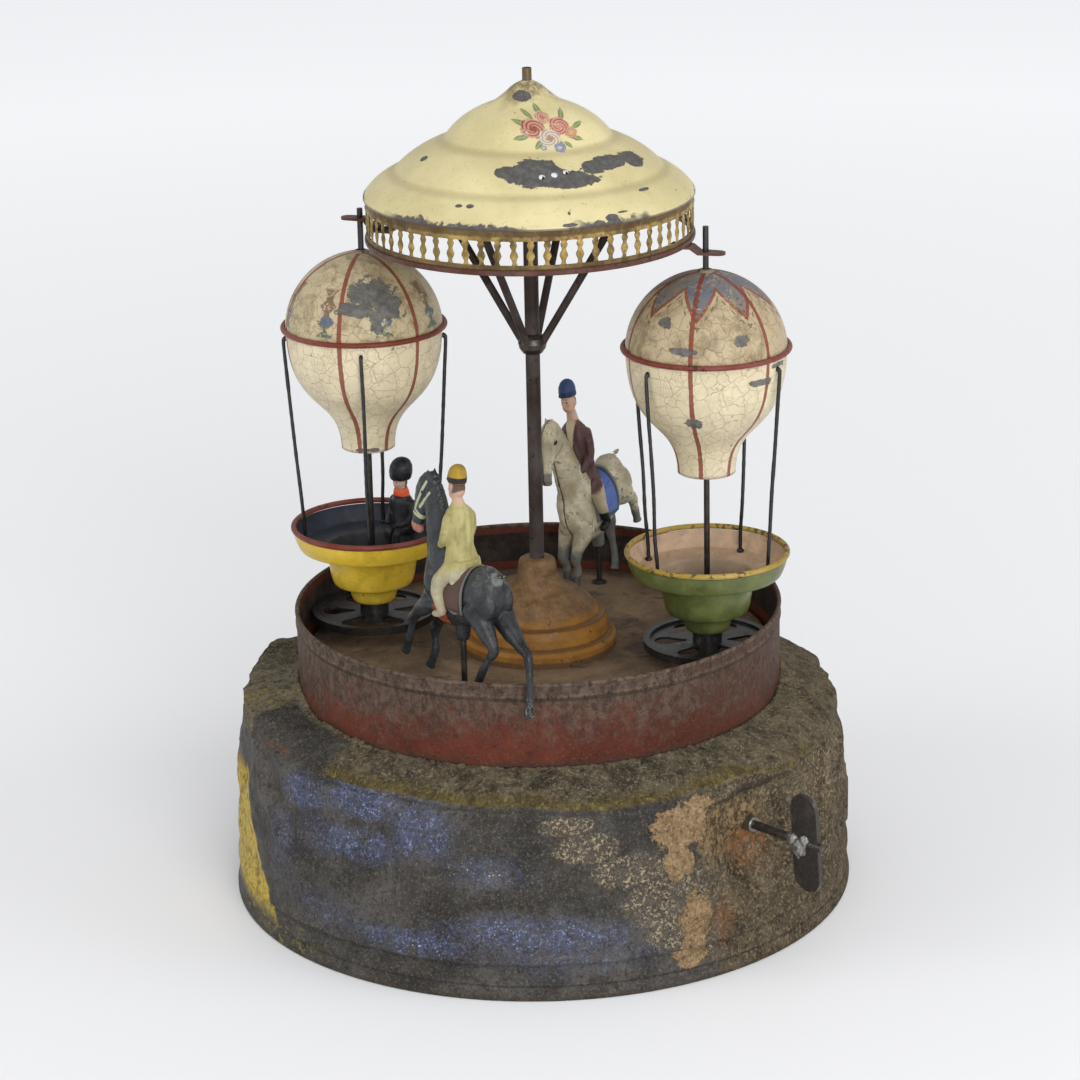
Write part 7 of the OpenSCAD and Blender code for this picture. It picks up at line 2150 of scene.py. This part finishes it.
class MakeCanopy(bpy.types.Operator):
    """Turn the canopy, cut its three small holes and set the gallery below it"""
    bl_idname = "carousel.make_canopy"
    bl_label = "Canopy and Gallery"

    def execute(self, context):
        c = context.scene.carousel_canopy
        line, inside = walled_outline(canopy_line(), 0.7, 1.6)
        dome = turned("canopy_tin", "rotor", line, inside, canopy_finish(c), (), sides=c.sides,
                      wobble=c.wobble, dent=0.045, seed=2.0)
        settle(pierced(dome, CANOPY_HOLES), "rotor", ("canopy_dome",))
        gold = gallery_finish(c)
        foot, head = BAND_LOW.z / MM, BAND_HIGH.z / MM
        outer = CANOPY_R - 0.8
        hoop("gallery_foot_hoop", foot, foot + 1.9, outer, 0.7, gold, ("gallery_band",), 0.35, 3.0)
        hoop("gallery_head_hoop", foot + 11.4, head, outer, 0.7, gold, (), 0.25, 4.0)
        balusters(c, gold)
        recoat(aged("ring paint", (0.10, 0.032, 0.018), (0.05, 0.035, 0.028), 0.6, 0.6, 0.002,
                    gloss=0.4),
               "gallery_ring", "arm_left", "arm_right")
        recoat(dark_metal("broken staff", (0.16, 0.11, 0.055), 0.6, 0.4, 8.0), "finial_stub")
        return {"FINISHED"}


class MakeBalloons(bpy.types.Operator):
    """Turn the balloons and gondolas, bend their wires and coat rods, beads and wheels"""
    bl_idname = "carousel.make_balloons"
    bl_label = "Balloons and Gondolas"

    def execute(self, context):
        c = context.scene.carousel_balloons
        bead = aged("bead paint", tuple(c.stripe), (0.06, 0.03, 0.022), 0.5, 0.5, 0.002, gloss=0.36)
        yellow = aged("yellow rim paint", (0.42, 0.29, 0.05), (0.12, 0.08, 0.04), 0.8, 0.5, 0.002,
                      gloss=0.36)
        steel = dark_metal("rod steel", (0.03, 0.028, 0.026), 0.35, 0.35, 4.0)
        wheel = dark_metal("wheel steel", (0.045, 0.044, 0.043), 0.35, 0.55, 5.0)
        for side in ("left", "right"):
            balloon_shell(side, c)
            gondola_shell(side, c)
            wires(side)
            recoat(bead, "balloon_" + side + "_bead")
            recoat(bead if side == "left" else yellow, "gondola_" + side + "_rim")
            recoat(steel, "rod_" + side)
            recoat(wheel, "wheel_" + side)
        recoat(dark_metal("cup steel", (0.08, 0.075, 0.07), 0.5, 0.4, 7.0), "pivot_cups", "pin_sockets")
        return {"FINISHED"}


class MakeHorses(bpy.types.Operator):
    """Cast the two horses and lay on their saddle cloths"""
    bl_idname = "carousel.make_horses"
    bl_label = "Horses"

    def execute(self, context):
        c = context.scene.carousel_figures
        for side in ("black", "white"):
            cast_horse(side, c)
            saddle_cloth(side)
        recoat(dark_metal("pin steel", (0.05, 0.045, 0.04), 0.5, 0.25, 9.0), "pin_black", "pin_white")
        return {"FINISHED"}


class MakeRiders(bpy.types.Operator):
    """Cast the two riders and the passenger"""
    bl_idname = "carousel.make_riders"
    bl_label = "Riders and Passenger"

    def execute(self, context):
        c = context.scene.carousel_figures
        for side in ("black", "white"):
            cast_rider(side, c)
        cast_passenger(c)
        return {"FINISHED"}


class MakeWorks(bpy.types.Operator):
    """Coat the winding key, the music and the works in the base"""
    bl_idname = "carousel.make_works"
    bl_label = "Key and Works"

    def execute(self, context):
        key_solder()
        recoat(dark_metal("key steel", (0.07, 0.062, 0.058), 0.5, 0.45, 1.0), "wing_key", "crank_shaft")
        recoat(dark_metal("works steel", (0.22, 0.21, 0.19), 0.35, 0.6, 2.5), "spindle",
               "spindle_collar", "music_comb",
               "comb_bracket", "bearing_bridge", "crank_frame", "crank_bush")
        recoat(dark_metal("works brass", (0.42, 0.30, 0.11), 0.3, 0.3, 3.5), "spindle_bearing",
               "comb_screws",
               "drive_pinion", "pin_barrel", "crown_wheel")
        return {"FINISHED"}


class MakeStage(bpy.types.Operator):
    """Set the camera, the soft lamps and the plain pale floor"""
    bl_idname = "carousel.make_stage"
    bl_label = "Stage"

    def execute(self, context):
        c = context.scene.carousel_stage
        scene = context.scene
        scene.view_settings.view_transform = "Standard"
        floor = bpy.data.meshes.new("floor")
        corners = [(x * STAGE_HALF, y * STAGE_HALF, 0) for x, y in ((-1, -1), (1, -1), (1, 1), (-1, 1))]
        floor.from_pydata(corners, [], [(0, 1, 2, 3)])
        floor.materials.append(stage_floor(c))
        to_scene(bpy.data.objects.new("stage_floor", floor))

        pitch, yaw, roll = map(math.radians, (CAMERA_PITCH, CAMERA_YAW, CAMERA_ROLL))
        ahead = Vector((math.sin(yaw) * math.cos(pitch), math.cos(yaw) * math.cos(pitch),
                        -math.sin(pitch)))
        right = Vector((math.cos(yaw), -math.sin(yaw), 0))
        up = right.cross(ahead)
        across = right * math.cos(roll) + up * math.sin(roll)
        over = -right * math.sin(roll) + up * math.cos(roll)
        view = bpy.data.cameras.new("camera")
        view.sensor_width = SENSOR
        view.lens = CAMERA_FOCUS / PICTURE_SIDE * SENSOR
        view.clip_start = 0.05
        view.clip_end = 50
        camera = to_scene(bpy.data.objects.new("camera", view))
        camera.matrix_world = (Matrix.Translation(CAMERA_PLACE)
                               @ Matrix((across, over, -ahead)).transposed().to_4x4())
        scene.camera = camera

        for name, place, size, amount in LAMPS:
            light = bpy.data.lights.new(name, "AREA")
            light.shape = "DISK"
            light.size = size
            light.energy = c.lamp * amount
            obj = to_scene(bpy.data.objects.new(name, light))
            obj.location = place
            obj.rotation_euler = (LAMP_AIM - Vector(place)).to_track_quat("-Z", "Y").to_euler()
        world = scene.world or bpy.data.worlds.new("world")
        scene.world = world
        world.use_nodes = True
        back = world.node_tree.nodes["Background"]
        back.inputs["Color"].default_value = (1.0, 1.0, 1.0, 1.0)
        back.inputs["Strength"].default_value = c.sky
        return {"FINISHED"}


OPERATORS = (MakeStage, MakeRock, MakeDrum, MakeCanopy, MakeBalloons, MakeHorses, MakeRiders, MakeWorks)
GROUPS = (("carousel_rock", CarouselRock), ("carousel_drum", CarouselDrum),
          ("carousel_canopy", CarouselCanopy),
          ("carousel_balloons", CarouselBalloons), ("carousel_figures", CarouselFigures),
          ("carousel_stage", CarouselStage))


class CarouselPanel(bpy.types.Panel):
    """Buttons and settings of the carousel"""
    bl_idname = "VIEW3D_PT_carousel"
    bl_label = "Tin Musical Carousel"
    bl_space_type = "VIEW_3D"
    bl_region_type = "UI"
    bl_category = "Carousel"

    def draw(self, context):
        for name, group in GROUPS:
            box = self.layout.box()
            for prop in group.__annotations__:
                box.prop(getattr(context.scene, name), prop)
        for op in OPERATORS:
            self.layout.operator(op.bl_idname)


def register():
    for name, group in GROUPS:
        bpy.utils.register_class(group)
        setattr(bpy.types.Scene, name, PointerProperty(type=group))
    for cls in (*OPERATORS, CarouselPanel):
        bpy.utils.register_class(cls)


def unregister():
    for cls in (CarouselPanel, *reversed(OPERATORS)):
        bpy.utils.unregister_class(cls)
    for name, group in reversed(GROUPS):
        delattr(bpy.types.Scene, name)
        bpy.utils.unregister_class(group)


def main():
    register()
    for op in OPERATORS:
        call = getattr(bpy.ops.carousel, op.bl_idname.split(".")[1])
        call()



if __name__ == "__main__":
    main()
